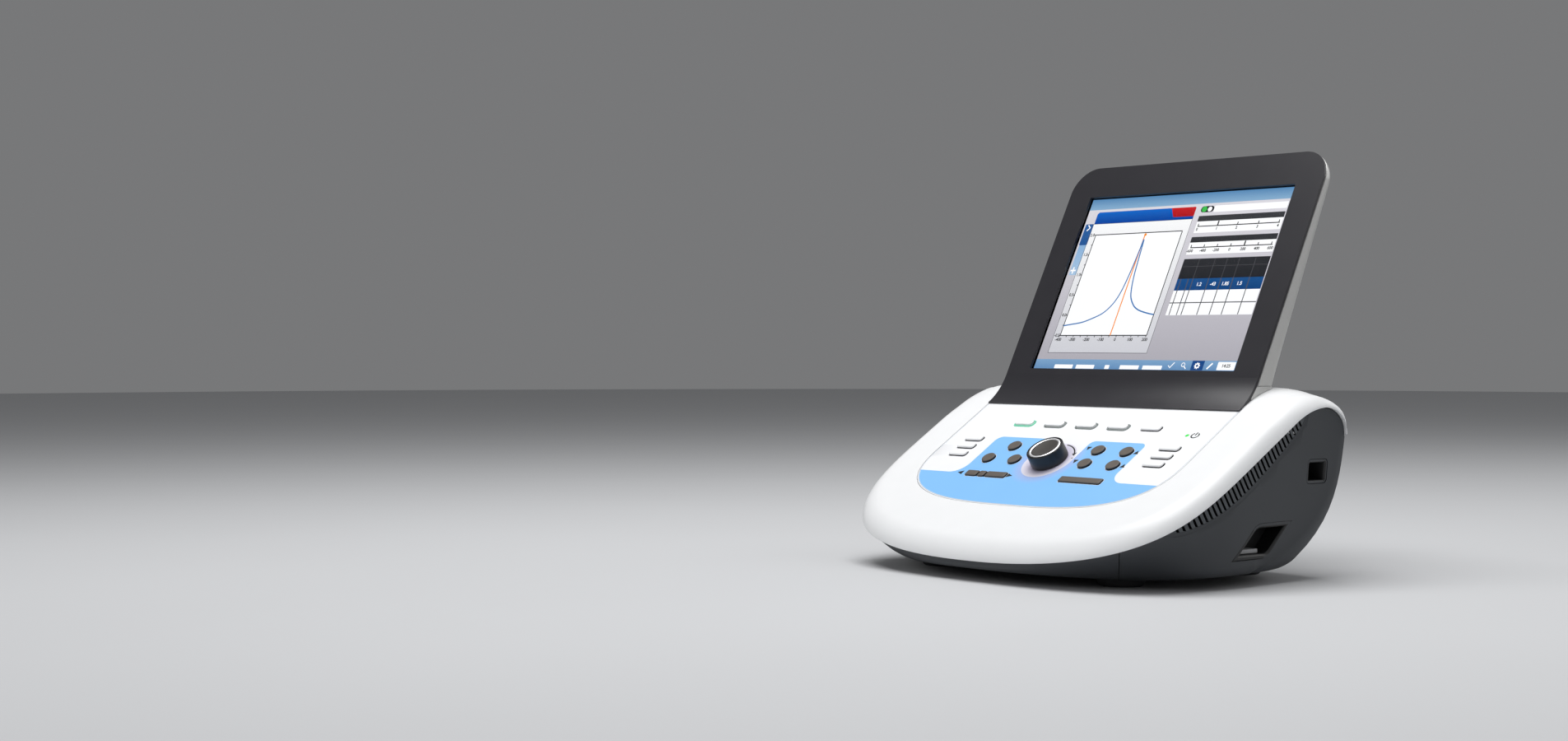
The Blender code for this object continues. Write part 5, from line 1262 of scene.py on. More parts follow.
    def arrows(self) -> list[Outline]:
        """The small arrows between the round keys, and those beside the bars."""
        areas: list[Outline] = []
        half = self.arrow_width / 2
        for x, down, way in self.round_key_arrows:
            height = way * half
            areas.append([(x - half, -down - height), (x + half, -down - height), (x, -down + height)])
        reach, half = self.bar_arrow_half
        for x, way in self.bar_arrows:
            foot, head, y = x - way * reach, x + way * reach, -self.bar_arrow_down
            areas.append([(foot, y + half), (head, y), (foot, y - half)])
        return areas

    def turn_arrow(self) -> list[Outline]:
        """Curved arrow round the knob's upper right, and the dash after its head."""
        inner, outer = self.turn_band
        areas = []
        for start, end in (map(math.radians, span) for span in self.turn_spans):
            areas.append(arc(HALO_CENTRE, outer, start, end, 20) + arc(HALO_CENTRE, inner, end, start, 20))
        backs = [(radius, self.turn_back) for radius in self.turn_head]
        tips = [((inner + outer) / 2, self.turn_tip), *backs]
        head = [arc(HALO_CENTRE, radius, turn, turn, 1)[0] for radius, turn in tips]
        return [areas[0], head, areas[1]]

    def power_mark(self) -> list[Outline]:
        """Ring with an upright bar, beside the lamp."""
        (x, down), (inner, outer), (start, end) = self.power_place, self.power_ring, self.power_span
        ring = arc((x, -down), outer, start, end, 40) + arc((x, -down), inner, end, start, 40)
        return [ring, rounded(*self.power_bar, 0, (x, -down + self.power_bar[1] / 2))]


@dataclass(frozen=True)
class BracketSlot:
    """Upright slot for the screen's bracket, from inside the body to inside the display."""

    half: float = 51.2 * MM
    front: float = 37.5 * MM
    rear: float = 50.5 * MM
    low: float = 122 * MM
    high: float = 144.6 * MM

    def block(self) -> Mesh:
        """The slot as a cutter."""
        centre = (0, (self.front + self.rear) / 2, (self.low + self.high) / 2)
        return block(centre, (2 * self.half, self.rear - self.front, self.high - self.low))


SLOT = BracketSlot()


@dataclass(frozen=True)
class Key:
    """One key cap: a bar or, without a length, a round button."""

    name: str
    x: float
    down: float
    width: float
    length: float
    corner: float
    height: float
    flange: float
    cap: Skin
    side: Skin
    lit: bool = False
    edge: float = 0.6 * MM
    edge_steps: int = 4
    flange_height: float = 0.9 * MM
    shade_height: float = 0.55 * MM
    bar_crown: float = 0.12 * MM
    crown_inset: float = 1.2 * MM
    crown_share: float = 0.42
    dish: float = 0.25 * MM
    dish_run_share: float = 0.24
    shaded_side_share: float = 0.95

    @property
    def clearance(self) -> float:
        """Gap between the cap and the panel, or the light ring's width with its gaps."""
        if self.lit:
            return 1.7 * MM
        return 0.4 * MM if self.cap == Skin.KEY_TAUPE else 0.7 * MM

    def local(self, offset: float, steps: int = 8) -> Outline:
        """Outline about the cap's own middle."""
        if not self.length:
            return circle(self.width / 2 + offset, steps=steps * 6)
        corner = max(self.corner + offset, 0.05 * MM)
        return rounded(self.width + 2 * offset, self.length + 2 * offset, corner, steps=steps)

    def outline_at(self, offset: float, steps: int = 8) -> Outline:
        """Outline in its place on the panel."""
        return [(self.x + x, y - self.down) for x, y in self.local(offset, steps)]

    def build(self) -> None:
        """Makes the cap: dished when round, slightly crowned when it is a bar."""
        under, edge, steps = -KEY_PANEL.thickness - GAP, self.edge, self.edge_steps
        levels = [(under - self.flange_height, self.flange), (under, self.flange)]
        levels += [(under, 0.0)] if self.flange else []
        levels.append((self.shade_height, 0.0))
        crown = self.bar_crown if self.length else 0.0
        shoulder = self.height - crown
        levels += [
            (shoulder - edge * (1 - math.sin(turn)), -edge * (1 - math.cos(turn)))
            for turn in (QUARTER_TURN * i / steps for i in range(steps + 1))
        ]
        if self.length:
            levels.append((self.height - crown / 4, -self.crown_inset))
            levels.append((self.height, -self.length * self.crown_share))
        else:
            run = (self.width / 2 - edge) * self.dish_run_share
            levels += [(self.height - self.dish * i / steps, -edge - run * i) for i in range(1, steps + 1)]
        bm = stack(self.local, levels)
        # Faces below this height take the cap's second finish; on unlit keys that is painted shade for the
        # dark gap round the cap.
        limit = shoulder - edge * self.shaded_side_share if self.side == Skin.TAUPE_KEY_SHADE else self.shade_height
        for face in bm.faces:
            face.material_index = int(face.calc_center_median().z < limit)
        placed(bm, FRAMES.console @ Matrix.Translation((self.x, -self.down, 0)))
        show(f"cap_{self.name}", bm, self.cap, self.name, [self.name], self.side)


@dataclass(frozen=True)
class KeyLayout:
    """Sizes of the panel's keys, and their places as (x, down the slope)."""

    white: tuple[Skin, Skin] = (Skin.KEY_WHITE, Skin.KEY_SHADE)
    lit_white: tuple[Skin, Skin] = (Skin.KEY_WHITE, Skin.KEY_WHITE)
    taupe: tuple[Skin, Skin] = (Skin.KEY_TAUPE, Skin.TAUPE_KEY_SHADE)
    bar: Spot = (18.2 * MM, 5.8 * MM, 2.1 * MM)
    bar_height: float = 1.9 * MM
    bar_flange: float = 1.0 * MM
    row_count: int = 5
    row_lit: int = 4
    row_pitch: float = 32.9004 * MM
    row_down: float = 26.2 * MM
    side_count: int = 3
    side_x: float = 101.4 * MM
    side_down: float = 50.2 * MM
    side_pitch: float = 10.4 * MM
    left_round: tuple[Point, ...] = (
        (-50.0 * MM, 57.8 * MM), (-63.6 * MM, 75.2 * MM), (-35.6 * MM, 75.2 * MM),
    )
    right_round: tuple[Point, ...] = (
        (37.4 * MM, 57.8 * MM), (65.5 * MM, 57.8 * MM), (37.4 * MM, 75.2 * MM), (65.5 * MM, 75.2 * MM),
    )
    round_width: float = 11.2 * MM
    round_height: float = 1.8 * MM
    round_flange: float = 0.9 * MM
    bottom_down: float = 95.7 * MM
    bottom_length: float = 6.4 * MM
    bottom_corner: float = 1.2 * MM
    bottom_height: float = 1.3 * MM
    start_edge_x: float = -70.2 * MM
    start_widths: tuple[float, ...] = (12.5 * MM, 6.8 * MM, 20.9 * MM)
    start_gap: float = 1.4 * MM
    start_flange: float = 0.5 * MM
    present_x: float = 49.7 * MM
    present_width: float = 41.4 * MM

    def keys(self) -> list[Key]:
        """The 22 keys."""
        return [*self.row(), *self.sides(), *self.rounds(), *self.bottom()]

    def row(self) -> list[Key]:
        """The row along the top, whose first ones have light rings."""
        found = []
        for i in range(self.row_count):
            lit = i < self.row_lit
            place = ((i - self.row_count // 2) * self.row_pitch, self.row_down)
            rest = (0, *self.lit_white, True) if lit else (self.bar_flange, *self.white)
            found.append(Key(f"key_row_{i + 1}", *place, *self.bar, self.bar_height, *rest))
        return found

    def sides(self) -> list[Key]:
        """The white bars at both sides."""
        rest = (*self.bar, self.bar_height, self.bar_flange, *self.white)
        return [
            Key(f"key_{side}_{i + 1}", sign * self.side_x, self.side_down + self.side_pitch * i, *rest)
            for side, sign in (("left", -1), ("right", 1))
            for i in range(self.side_count)
        ]

    def rounds(self) -> list[Key]:
        """The round keys."""
        rest = (self.round_width, 0, 0, self.round_height, self.round_flange, *self.taupe)
        return [
            Key(f"key_round_{side}_{number}", *place, *rest)
            for side, places in (("left", self.left_round), ("right", self.right_round))
            for number, place in enumerate(places, 1)
        ]

    def bottom(self) -> list[Key]:
        """The bar in three keys at the front, and the long one beside it."""
        shape = (self.bottom_length, self.bottom_corner, self.bottom_height)
        found, edge = [], self.start_edge_x
        for name, width in zip(("left", "middle", "right"), self.start_widths):
            place = (edge + width / 2, self.bottom_down, width - GAP)
            found.append(Key(f"key_start_{name}", *place, *shape, self.start_flange, *self.taupe))
            edge += width + self.start_gap
        place = (self.present_x, self.bottom_down, self.present_width)
        return [*found, Key("key_present", *place, *shape, self.round_flange, *self.taupe)]


KEYS = KeyLayout().keys()


@dataclass(frozen=True)
class LightGuide:
    """Clear ring round each lit key, joined by a rail under the panel; the first ring is lit green."""

    width: float = 1.1 * MM
    proud: float = 0.6 * MM
    edge: float = 0.25 * MM
    rail: float = 1.6 * MM
    rail_width: float = 2.2 * MM

    def build(self) -> None:
        """Makes the rings and the rail."""
        low, high = -KEY_PANEL.thickness - GAP - self.rail, self.proud
        lit = [key for key in KEYS if key.lit]
        inner, outer, edge = GAP, GAP + self.width, self.edge
        levels = [(low, inner), (low, outer), (high - edge, outer), (high, outer - edge)]
        levels += [(high, inner + edge), (high - edge, inner), (low, inner)]
        down = lit[0].down - lit[0].length / 2 - self.width - self.rail_width / 2
        centre = ((lit[0].x + lit[-1].x) / 2, -down, low + self.rail / 2)
        rail = block(centre, (lit[-1].x - lit[0].x + lit[0].width, self.rail_width, self.rail))
        for key in lit[1:]:
            stack(key.outline_at, levels, rail)
        show("light_guide_rings", placed(rail, FRAMES.console), Skin.GUIDE, replaces=["light_guide"])
        first = stack(lit[0].outline_at, levels)
        show("light_guide_lit_ring", placed(first, FRAMES.console), Skin.GUIDE_LIT)


@dataclass(frozen=True)
class Knob:
    """Black knob with a bright ring and a dished cap let into its top."""

    base: float = 0.6 * MM
    top: float = 11.6 * MM
    radius: float = 14.9 * MM
    top_radius: float = 14.6 * MM
    edge: float = 0.7 * MM
    wall: float = 1.2 * MM
    web: float = 1.8 * MM
    chamfer: float = 0.25 * MM
    foot_chamfer: Point = (0.3 * MM, 0.4 * MM)
    draft: float = 0.02 * MM
    hub_radius: float = 5.2 * MM
    hub_foot: float = 3.4 * MM
    bore_radius: float = 3.3 * MM
    bore_top: float = 8.1 * MM
    pocket_radius: float = 13.0 * MM
    pocket_depth: float = 1.9 * MM
    ring_width: float = 1.8 * MM
    ring_height: float = 1.7 * MM
    ring_crown: float = 0.3 * MM
    ring_steps: int = 8
    cap_height: float = 1.4 * MM
    cap_rim: float = 0.8 * MM
    dish: float = 0.8 * MM
    dish_steps: int = 12
    steps: int = 96

    @property
    def place(self) -> Matrix:
        """The knob's own frame."""
        return FRAMES.console @ Matrix.Translation((0, -KNOB_DOWN, 0))

    def turn(self, name: str, profile: Sequence[Point], finish: Skin, node: str) -> None:
        """Makes one turned piece that rides on the knob."""
        show(name, placed(spun(profile, self.steps), self.place), finish, "knob", [node])

    def build(self) -> None:
        """Makes the body, the ring and the cap."""
        pocket = self.top - self.pocket_depth
        self.turn("knob_grip", self.body(pocket), Skin.KNOB, "knob_body")
        seat, outer = pocket + GAP, self.pocket_radius - GAP
        inner = outer - self.ring_width
        middle, half = (outer + inner) / 2, self.ring_width / 2
        ring = [(inner, seat), (outer, seat)]
        for i in range(self.ring_steps + 1):
            share = 1 - 2 * i / self.ring_steps
            ring.append((middle + half * share, seat + self.ring_height - self.ring_crown * share * share))
        self.turn("knob_bright_ring", ring, Skin.KNOB_RING, "knob_ring")
        radius, level, step = inner - GAP, seat + self.cap_height, self.chamfer
        dish = radius - self.cap_rim
        cap = [(0, seat), (radius, seat), (radius, level - step), (radius - step, level), (dish, level)]
        for i in range(1, self.dish_steps + 1):
            share = 1 - i / self.dish_steps
            cap.append((dish * share, level - self.dish * (1 - share * share)))
        self.turn("knob_dished_cap", cap, Skin.KNOB_CAP, "knob_cap")

    def body(self, pocket: float) -> Outline:
        """Profile of the body, from the floor of its pocket over the skirt to the top of its bore."""
        web, across_foot, up_foot = pocket - self.web, *self.foot_chamfer
        inner, foot_radius = self.pocket_radius, self.radius - across_foot
        edge = (self.top_radius - self.edge, self.top - self.edge)
        points: Outline = [(0, pocket), (inner, pocket), (inner, self.top - self.chamfer)]
        points += [(inner + self.chamfer, self.top), *reversed(arc(edge, self.edge, 0, QUARTER_TURN, 6))]
        points += [(self.radius - self.draft, self.base + up_foot), (foot_radius, self.base)]
        points += [(self.radius - self.wall, self.base), (self.top_radius - self.wall, web)]
        bore = self.bore_radius
        points += [(self.hub_radius, web), (self.hub_radius, self.hub_foot)]
        return points + [(bore, self.hub_foot), (bore, self.bore_top), (0, self.bore_top)]


def wall_cutter(outlines: Sequence[Outline], depths: Sequence[float], sign: int = 1) -> Mesh:
    """Cutter through a side wall that follows the wall's own curve.

    Args:
        outlines: one (y, z) outline for each depth.
        depths: distance of each outline outwards from the wall's face.
        sign: 1 on the right, -1 on the left.

    Returns:
        The cutter as a mesh.
    """
    bm = bmesh.new()
    count = len(outlines[0])

    def place(i: int, j: int) -> Spot:
        """Point i of outline j, on the side wall or off it."""
        y, z = outlines[j][i % count]
        return sign * (FORM.side_x(y, z) + depths[j]), y, z

    grid(bm, count, len(outlines) - 1, place)
    return capped(bm)


@dataclass(frozen=True)
class VentOpening:
    """Crescent-shaped opening that hangs from the cover's rim, with a sunk ledge round its lower edge."""

    front: float = -86.0 * MM
    rear: float = 45.6 * MM
    depth: float = 17.2 * MM
    front_power: float = 0.60
    rear_power: float = 0.35
    ledge: float = 1.9 * MM
    bevel: float = 1.0 * MM
    sink: float = 0.6 * MM
    above_rim: float = 12 * MM
    outside: float = 1.8 * MM
    inside: float = 20 * MM
    steps: int = 64

    def bottom(self, y: float) -> float:
        """Lower edge of the opening."""
        share = min(max((y - self.front) / (self.rear - self.front), 0), 1)
        power = self.front_power if share < 0.5 else self.rear_power
        return FORM.rim_height(y) - self.depth * max(math.sin(2 * QUARTER_TURN * share), 0) ** power

    def outline(self, offset: float) -> Outline:
        """The opening moved outwards, with its upper side above the rim."""
        turns = [2 * QUARTER_TURN * i / self.steps for i in range(self.steps + 1)]
        samples = [self.front + (self.rear - self.front) * (1 - math.cos(turn)) / 2 for turn in turns]
        lower = [(y, self.bottom(y)) for y in samples]
        moved = []
        for i, (y, z) in enumerate(lower):
            before, after = lower[max(i - 1, 0)], lower[min(i + 1, self.steps)]
            along = Vector((after[0] - before[0], after[1] - before[1])).normalized()
            moved.append((y + along.y * offset, z - along.x * offset))
        moved[0] = (self.front - offset, lower[0][1] - 0.2 * offset)
        moved[-1] = (self.rear + offset, lower[-1][1] - 0.2 * offset)
        rim = [(y, FORM.rim_height(min(max(y, self.front), self.rear))) for y, _ in reversed(moved)]
        return moved + [(y, z + self.above_rim) for y, z in rim]

    def cutter(self, sign: int) -> Mesh:
        """The opening with its ledge."""
        wide = self.ledge + self.bevel
        outlines = [self.outline(offset) for offset in (wide, wide, self.ledge, 0.0, 0.0)]
        return wall_cutter(outlines, (self.outside, 0.0, -self.sink, -self.sink, -self.inside), sign)


@dataclass(frozen=True)
class VentGrille:
    """Slatted grille that fills the vent opening, a little below the wall's face."""

    opening: VentOpening = VentOpening()
    slots: int = 34
    width: float = 2.4 * MM
    lean: float = math.radians(38)
    end_margin: float = 2.2 * MM
    sunk: float = 0.7 * MM
    deep: float = 1.6 * MM
    fit: float = 0.15 * MM
    tuck: float = 0.5 * MM
    slot_tuck: float = 1.0 * MM
    slot_stop: float = 0.4 * MM
    search_step: float = 0.1 * MM
    least_length_share: float = 1.3
    outside: float = 6 * MM
    inside: float = 12 * MM
    face_share: float = 0.7

    def build(self, side: str, sign: int) -> None:
        """Makes the grille of one side."""
        outline = [(y, min(z, FORM.rim_height(y) + self.tuck)) for y, z in self.opening.outline(-self.fit)]
        bm = wall_cutter([outline, outline], (-self.sunk, -self.deep), sign)
        slots = bmesh.new()
        pitch = (self.opening.rear - self.opening.front - 2 * self.end_margin) / (self.slots - 1)
        for i in range(self.slots):
            self.add_slot(slots, self.opening.front + self.end_margin + pitch * i)
        if sign < 0:
            bmesh.ops.scale(slots, vec=(-1, 1, 1), verts=slots.verts)
            bmesh.ops.recalc_face_normals(slots, faces=slots.faces)
        bm = tidy(combine(bm, slots))
        # The slot walls and the back take the black finish as painted shade, so that the slots look deep;
        # only the outward faces keep the bars' colour.
        show(
            f"vent_slats_{side}", bm, Skin.VENT, replaces=[f"vent_grille_{side}"],
            sides=Skin.BLACK_PLASTIC_AND_SHADE, side_test=lambda face: face.normal.x * sign < self.face_share,
        )

    def add_slot(self, bm: Mesh, y: float) -> None:
        """Adds one leaning slot, from under the cover's rim to the opening's lower edge."""
        run = math.tan(self.lean)
        y_top = y - self.opening.depth / 2 * run
        top = FORM.rim_height(y_top) + self.slot_tuck
        low = top
        while low > self.opening.bottom(y_top + (top - low) * run) + self.slot_stop:
            low -= self.search_step
        if top - low < self.least_length_share * self.width:
            return
        y_low, half = y_top + (top - low) * run, self.width / 2
        outline = [(y_low - half, low), (y_low + half, low), (y_top + half, top), (y_top - half, top)]
        middle = FORM.side_x(y, (top + low) / 2)
        append(bm, placed(plate(outline, middle - self.inside, middle + self.outside), SIDEWAYS))


@dataclass(frozen=True)
class SidePocket:
    """Lined pocket in the right side wall: its outline, wall and back, and the flange round its mouth."""

    name: str
    node: str
    outline_at: Callable[[float], Outline]
    wall: float
    back: float
    frame: float
    sink: float = 1.0 * MM
    seat: float = 0.2 * MM
    flange_side: float = 0.35 * MM
    flange_face: float = 0.1 * MM
    flange_bevel: float = 0.3 * MM
    flange_reach: float = 0.25 * MM
    mouth_edge: float = 0.2 * MM
    mouth_round: Point = (0.6 * MM, 0.5 * MM)
    throat: float = 1.6 * MM
    outside: float = 2 * MM
    inside: float = 20 * MM

    def cutter(self) -> Mesh:
        """The opening in the wall, stepped for the flange."""
        wide = self.frame + GAP
        outlines = [self.outline_at(offset) for offset in (wide, wide, GAP, GAP)]
        step = -self.sink - self.seat
        return wall_cutter(outlines, (self.outside, step, step, -self.inside))

    def build(self) -> None:
        """Makes the lining, from rows of outward offset and depth under the wall's face, None at the back."""
        bm = bmesh.new()
        rows = [(0.0, None), (0.0, -self.sink), (self.frame, -self.sink), (self.frame, -self.flange_side)]
        rows += [(self.frame - self.flange_bevel, -self.flange_face), (self.mouth_edge, -self.flange_face)]
        rows += [(-self.mouth_round[0], -self.mouth_round[1]), (-self.wall, -self.throat), (-self.wall, None)]
        outlines = [self.outline_at(offset) for offset, _ in rows]
        count, last = len(outlines[0]), len(rows) - 1

        def place(i: int, j: int) -> Spot:
            """Point i of row j."""
            y, z = outlines[j][i % count]
            depth = rows[j][1]
            if depth is None:
                return self.back + (self.wall if j == last else 0), y, z
            return FORM.side_x(y, z) + depth, y, z

        grid(bm, count, last, place)
        capped(bm)
        # The lining's inside takes the black as painted shade; only its flange keeps the wall's charcoal.
        show(self.name, bm, Skin.BLACK_PLASTIC_AND_SHADE, replaces=[self.node], sides=Skin.CHARCOAL, side_test=self.on_flange)

    def on_flange(self, face: bmesh.types.BMFace) -> bool:
        """Whether a face is on the flange."""
        middle = face.calc_center_median()
        return middle.x > FORM.side_x(middle.y, middle.z) - self.flange_reach


def port_outline(offset: float) -> Outline:
    """Square port's outline as (y, z), moved outwards."""
    width, height, corner, centre = 20 * MM, 15 * MM, 2 * MM, (63.1 * MM, 79.9 * MM)
    return rounded(width + 2 * offset, height + 2 * offset, corner + offset, centre)


def recess_outline(offset: float) -> Outline:
    """Leaning leaf shape as (y, z): sharp at the front foot and the rear head, round at the other corners."""
    foot_z, head_z, run, foot_y, foot_length, corner = (size * MM for size in (22, 43.2, 21.4, -24, 35.7, 11))
    lean = math.atan2(head_z - foot_z, run)
    slip = offset / math.tan(lean / 2)
    low, high = foot_z - offset, head_z + offset
    front, rear = foot_y - slip, foot_y + foot_length + run + slip
    radius = corner + offset
    tangent = radius * math.tan(lean / 2)
    low_end = rear - (high - low) / math.tan(lean) - tangent
    high_end = front + (high - low) / math.tan(lean) + tangent
    lower = arc((low_end, low + radius), radius, -QUARTER_TURN, lean - QUARTER_TURN, 14)
    upper = arc((high_end, high - radius), radius, QUARTER_TURN, QUARTER_TURN + lean, 14)
    return [(front, low), *lower, (rear, high), *upper]


@dataclass(frozen=True)
class LowerBody:
    """Charcoal lower body: tray with the chin, two side walls and the rear wall with its connectors."""

    seam_y: float = -111.3 * MM
    side_wall: float = 2.5 * MM
    rear_seam_x: float = 140.0 * MM
    floor_gap: float = 0.6 * MM
    floor_edge: float = 1.2 * MM
    floor_step: float = 1.0 * MM
    floor_wall: float = 2 * MM
    seam_step_share: float = 0.0005
    post_radius: float = 3.5 * MM
    post_foot: float = 10 * MM
    post_head: float = 17 * MM
    posts_x: Point = (-34 * MM, 114 * MM)
    posts_y: Point = (-44 * MM, 24 * MM)
    between_size: Point = (180 * MM, 140 * MM)
    side_rear_share: float = 0.3
    socket_proud: float = 0.8 * MM
    socket_cut: float = 24 * MM
    socket_edge: float = 0.5 * MM
    cell_edge: float = 0.8 * MM
    pin: Spot = (1.4 * MM, 8.4 * MM, 2.4 * MM)
    pin_edge: float = 0.3 * MM
    pin_rise: float = 1.6 * MM
    pin_depth: float = 4 * MM
    pin_pitch_share: float = 0.25

    def loop(self, station: Station) -> list[Spot]:
        """Closed section of the wall at one station: down the outside, up the inside."""
        outside = [i / 10 for i in range(11)] + [1 + i / 8 for i in range(1, 9)]
        inside = [2.0, *(1 - i / 5 for i in range(6))]
        points = [FORM.lower_point(station, level) for level in outside]
        return points + [FORM.lower_point(station, level, self.side_wall) for level in inside]

    def wall(self, along: Sequence[Station], sign: int = 1) -> Mesh:
        """A wall through some stations."""
        loops = [[(sign * x, y, z) for x, y, z in self.loop(station)] for station in along]
        count = len(loops[0])
        bm = bmesh.new()
        grid(bm, count, len(loops) - 1, lambda i, j: loops[j][i % count])
        return bm

    def between_seams(self, gap: float = 0.0) -> Mesh:
        """The space between the rear wall's seams, less a gap at both."""
        length, height = self.between_size
        return block((0, FORM.rear_y, height / 2), (2 * (self.rear_seam_x - gap), length, height))

    def build(self) -> None:
        """Makes the tray, the walls, the linings and the connectors."""
        self.build_tray()
        port = SidePocket("port_lining", "port_pocket", port_outline, 1.3 * MM, 149.7 * MM, 1.3 * MM)
        recess = SidePocket("recess_lining", "cable_recess", recess_outline, 1.4 * MM, 146.5 * MM, 1.9 * MM)
        along = stations(FORM.nose_share(self.seam_y + GAP / 2), self.side_rear_share, 4)
        for side, sign in (("right", 1), ("left", -1)):
            bm = combine(capped(self.wall(along, sign)), self.between_seams())
            bm = combine(bm, VentOpening().cutter(sign))
            if sign > 0:
                for pocket in (port, recess):
                    bm = combine(bm, pocket.cutter())
                    pocket.build()
            show(f"side_wall_{side}", tidy(bm), Skin.CHARCOAL, replaces=[f"side_panel_{side}"])
            VentGrille().build(side, sign)
        self.build_rear()

    def build_tray(self) -> None:
        """Makes the floor with the front chin."""
        seam = FORM.nose_share(self.seam_y - GAP / 2)
        along = [Station("nose", 0.0), *stretch("nose", 0, seam, 24)]
        along += [Station("nose", seam + self.seam_step_share), *stretch("nose", seam, 1, 20)[1:]]
        along += [*stretch("side", 0, 1, 12), *stretch("corner", 0, 1, 12)]
        levels = [(2 - i / 8, 0.0) for i in range(9)] + [(0.75 - i / 4, 0.0) for i in range(4)]
        levels += [(level, self.floor_wall) for level in (0.0, 0.5, 1.0, 2.0)]
        bm = bmesh.new()
        grid(bm, len(along) - 1, len(levels) - 1, lambda i, j: self.tray_point(along[i], *levels[j], seam))
        for end in (levels[0], levels[-1]):
            edge = [self.tray_point(station, *end, seam) for station in along]
            grid(bm, len(along) - 1, 1, lambda i, j, edge=edge: self.middle(edge[i], j))
        # The rear edge: a strip between the outer and the inner floor, from the corner to the middle.
        last = along[-1]
        grid(bm, 1, len(levels) - 1, lambda i, j: self.middle(self.tray_point(last, *levels[j], seam), i))
        bm = mirrored(bm)
        for x in self.posts_x:
            for y in self.posts_y:
                post = plate(circle(self.post_radius, (x, y), 24), self.post_foot, self.post_head)
                bm = combine(bm, post, "UNION")
        show("tray", tidy(bm), Skin.CHARCOAL, replaces=["base_tray"])

    def middle(self, point: Spot, step: int) -> Spot:
        """The point itself, or the one across from it in the middle plane."""
        return point[0] * (1 - step), point[1], point[2]

    def tray_point(self, station: Station, level: float, wall: float, seam: float) -> Spot:
        """A point of the tray: the chin's wall in front of the seam, the floor's edge behind it.

        Args:
            station: the place along the body's outline.
            level: 0 at the top, 2 at the bottom.
            wall: distance inside the skin.
            seam: share of the nose at which the chin ends.

        Returns:
            The point.
        """
        if station.kind == "nose" and station.share <= seam:
            return FORM.lower_point(station, level, wall)
        x, y, _ = FORM.lower_point(station, 2.0)
        rise = 1 - level / 2
        inset, z = self.floor_gap + self.floor_edge * rise, FORM.base_z + FORM.base_wall * rise
        if wall:
            inset = self.floor_gap + self.floor_edge + self.floor_step * (level + 1)
            z = FORM.base_z + FORM.base_wall
        inward = Vector((x, y - FORM.shoulder_y)).normalized() * inset * math.sqrt(2)
        return x - inward.x, y - inward.y, z - FORM.chin_dip * FORM.chin_bump(station)

    def build_rear(self) -> None:
        """Makes the rear wall with its two connectors."""
        along = [Station("corner", 0.0), *stretch("corner", 0, 1, CORNER_STEPS), *stretch("rear", 0, 1, 8)]
        bm = capped(mirrored(self.wall(along)))
        bm = combine(bm, self.between_seams(GAP), "INTERSECT")
        for name, x, z, size, cells in (
            ("power_inlet", -78 * MM, 42 * MM, (27 * MM, 18 * MM, 19 * MM), [23 * MM]),
            ("port_block", -18 * MM, 38 * MM, (36 * MM, 16 * MM, 15 * MM), [14.4 * MM] * 2),
        ):
            face = FORM.rear_wall_y(z)
            width, _, height = size
            bm = combine(bm, block((x, face, z), (width + 2 * GAP, self.socket_cut, height + 2 * GAP)))
            self.build_socket(name, (x, face + self.socket_proud, z), size, cells)
        show("rear_wall", tidy(bm), Skin.CHARCOAL, replaces=["rear_panel"])

    def build_socket(self, name: str, mouth: Spot, size: Spot, cells: Sequence[float]) -> None:
        """Makes one connector: a housing with its cells, and the contacts inside them.

        Args:
            name: the node's name.
            mouth: middle of its face.
            size: its width, depth and height.
            cells: width of each cell.
        """
        (x, face, z), (width, depth, height) = mouth, size
        wall = (width - sum(cells)) / (len(cells) + 1)
        housing = soften(block((x, face - depth / 2, z), size), self.socket_edge, 2)
        pins = bmesh.new()
        edge = x - width / 2
        for cell in cells:
            centre = edge + wall + cell / 2
            hollow = block((centre, face, z), (cell, 2 * (depth - wall), height - 2 * wall))
            housing = combine(housing, soften(hollow, self.cell_edge, 2))
            for step in (-1, 0, 1):
                rise = -self.pin_rise if step else self.pin_rise
                along = centre + step * self.pin_pitch_share * cell
                middle = (along, face - depth + wall + self.pin_depth, z + rise)
                append(pins, soften(block(middle, self.pin), self.pin_edge, 1))
            edge += wall + cell
        show(f"{name}_housing", tidy(housing), Skin.BLACK_PLASTIC_AND_SHADE, replaces=[name])
        show(f"{name}_contacts", tidy(pins), Inside.PIN)


@dataclass(frozen=True)
class Feet:
    """Four round rubber feet, the front ones lower."""

    x: float = 92.5 * MM
    radius: float = 18 * MM
    edge: float = 0.4 * MM
    # Each row's y and height.
    front: Point = (-64.8 * MM, 5.7 * MM)
    rear: Point = (64.0 * MM, 8.7 * MM)
    # How far the side lies inside the radius, and at which share of the height.
    side_shares: tuple[Point, ...] = (
        (0.3 * MM, 0.7), (0.8 * MM, 0.45), (1.6 * MM, 0.22), (2.4 * MM, 0.06), (3.0 * MM, 0), (5.0 * MM, 0),
    )
    hollow: Point = (5.6 * MM, 0.5 * MM)

    def build(self) -> None:
        """Makes the feet."""
        inset, rise = self.hollow
        for row, (y, top) in (("front", self.front), ("rear", self.rear)):
            profile = [(0, top), (self.radius - self.edge, top), (self.radius, top - self.edge)]
            profile += [(self.radius - inward, top * share) for inward, share in self.side_shares]
            profile += [(self.radius - inset, rise), (0, rise)]
            for side, sign in (("left", -1), ("right", 1)):
                bm = placed(spun(profile, 72), Matrix.Translation((sign * self.x, y, 0)))
                show(f"rubber_foot_{row}_{side}", bm, Skin.RUBBER, replaces=[f"foot_{row}_{side}"])


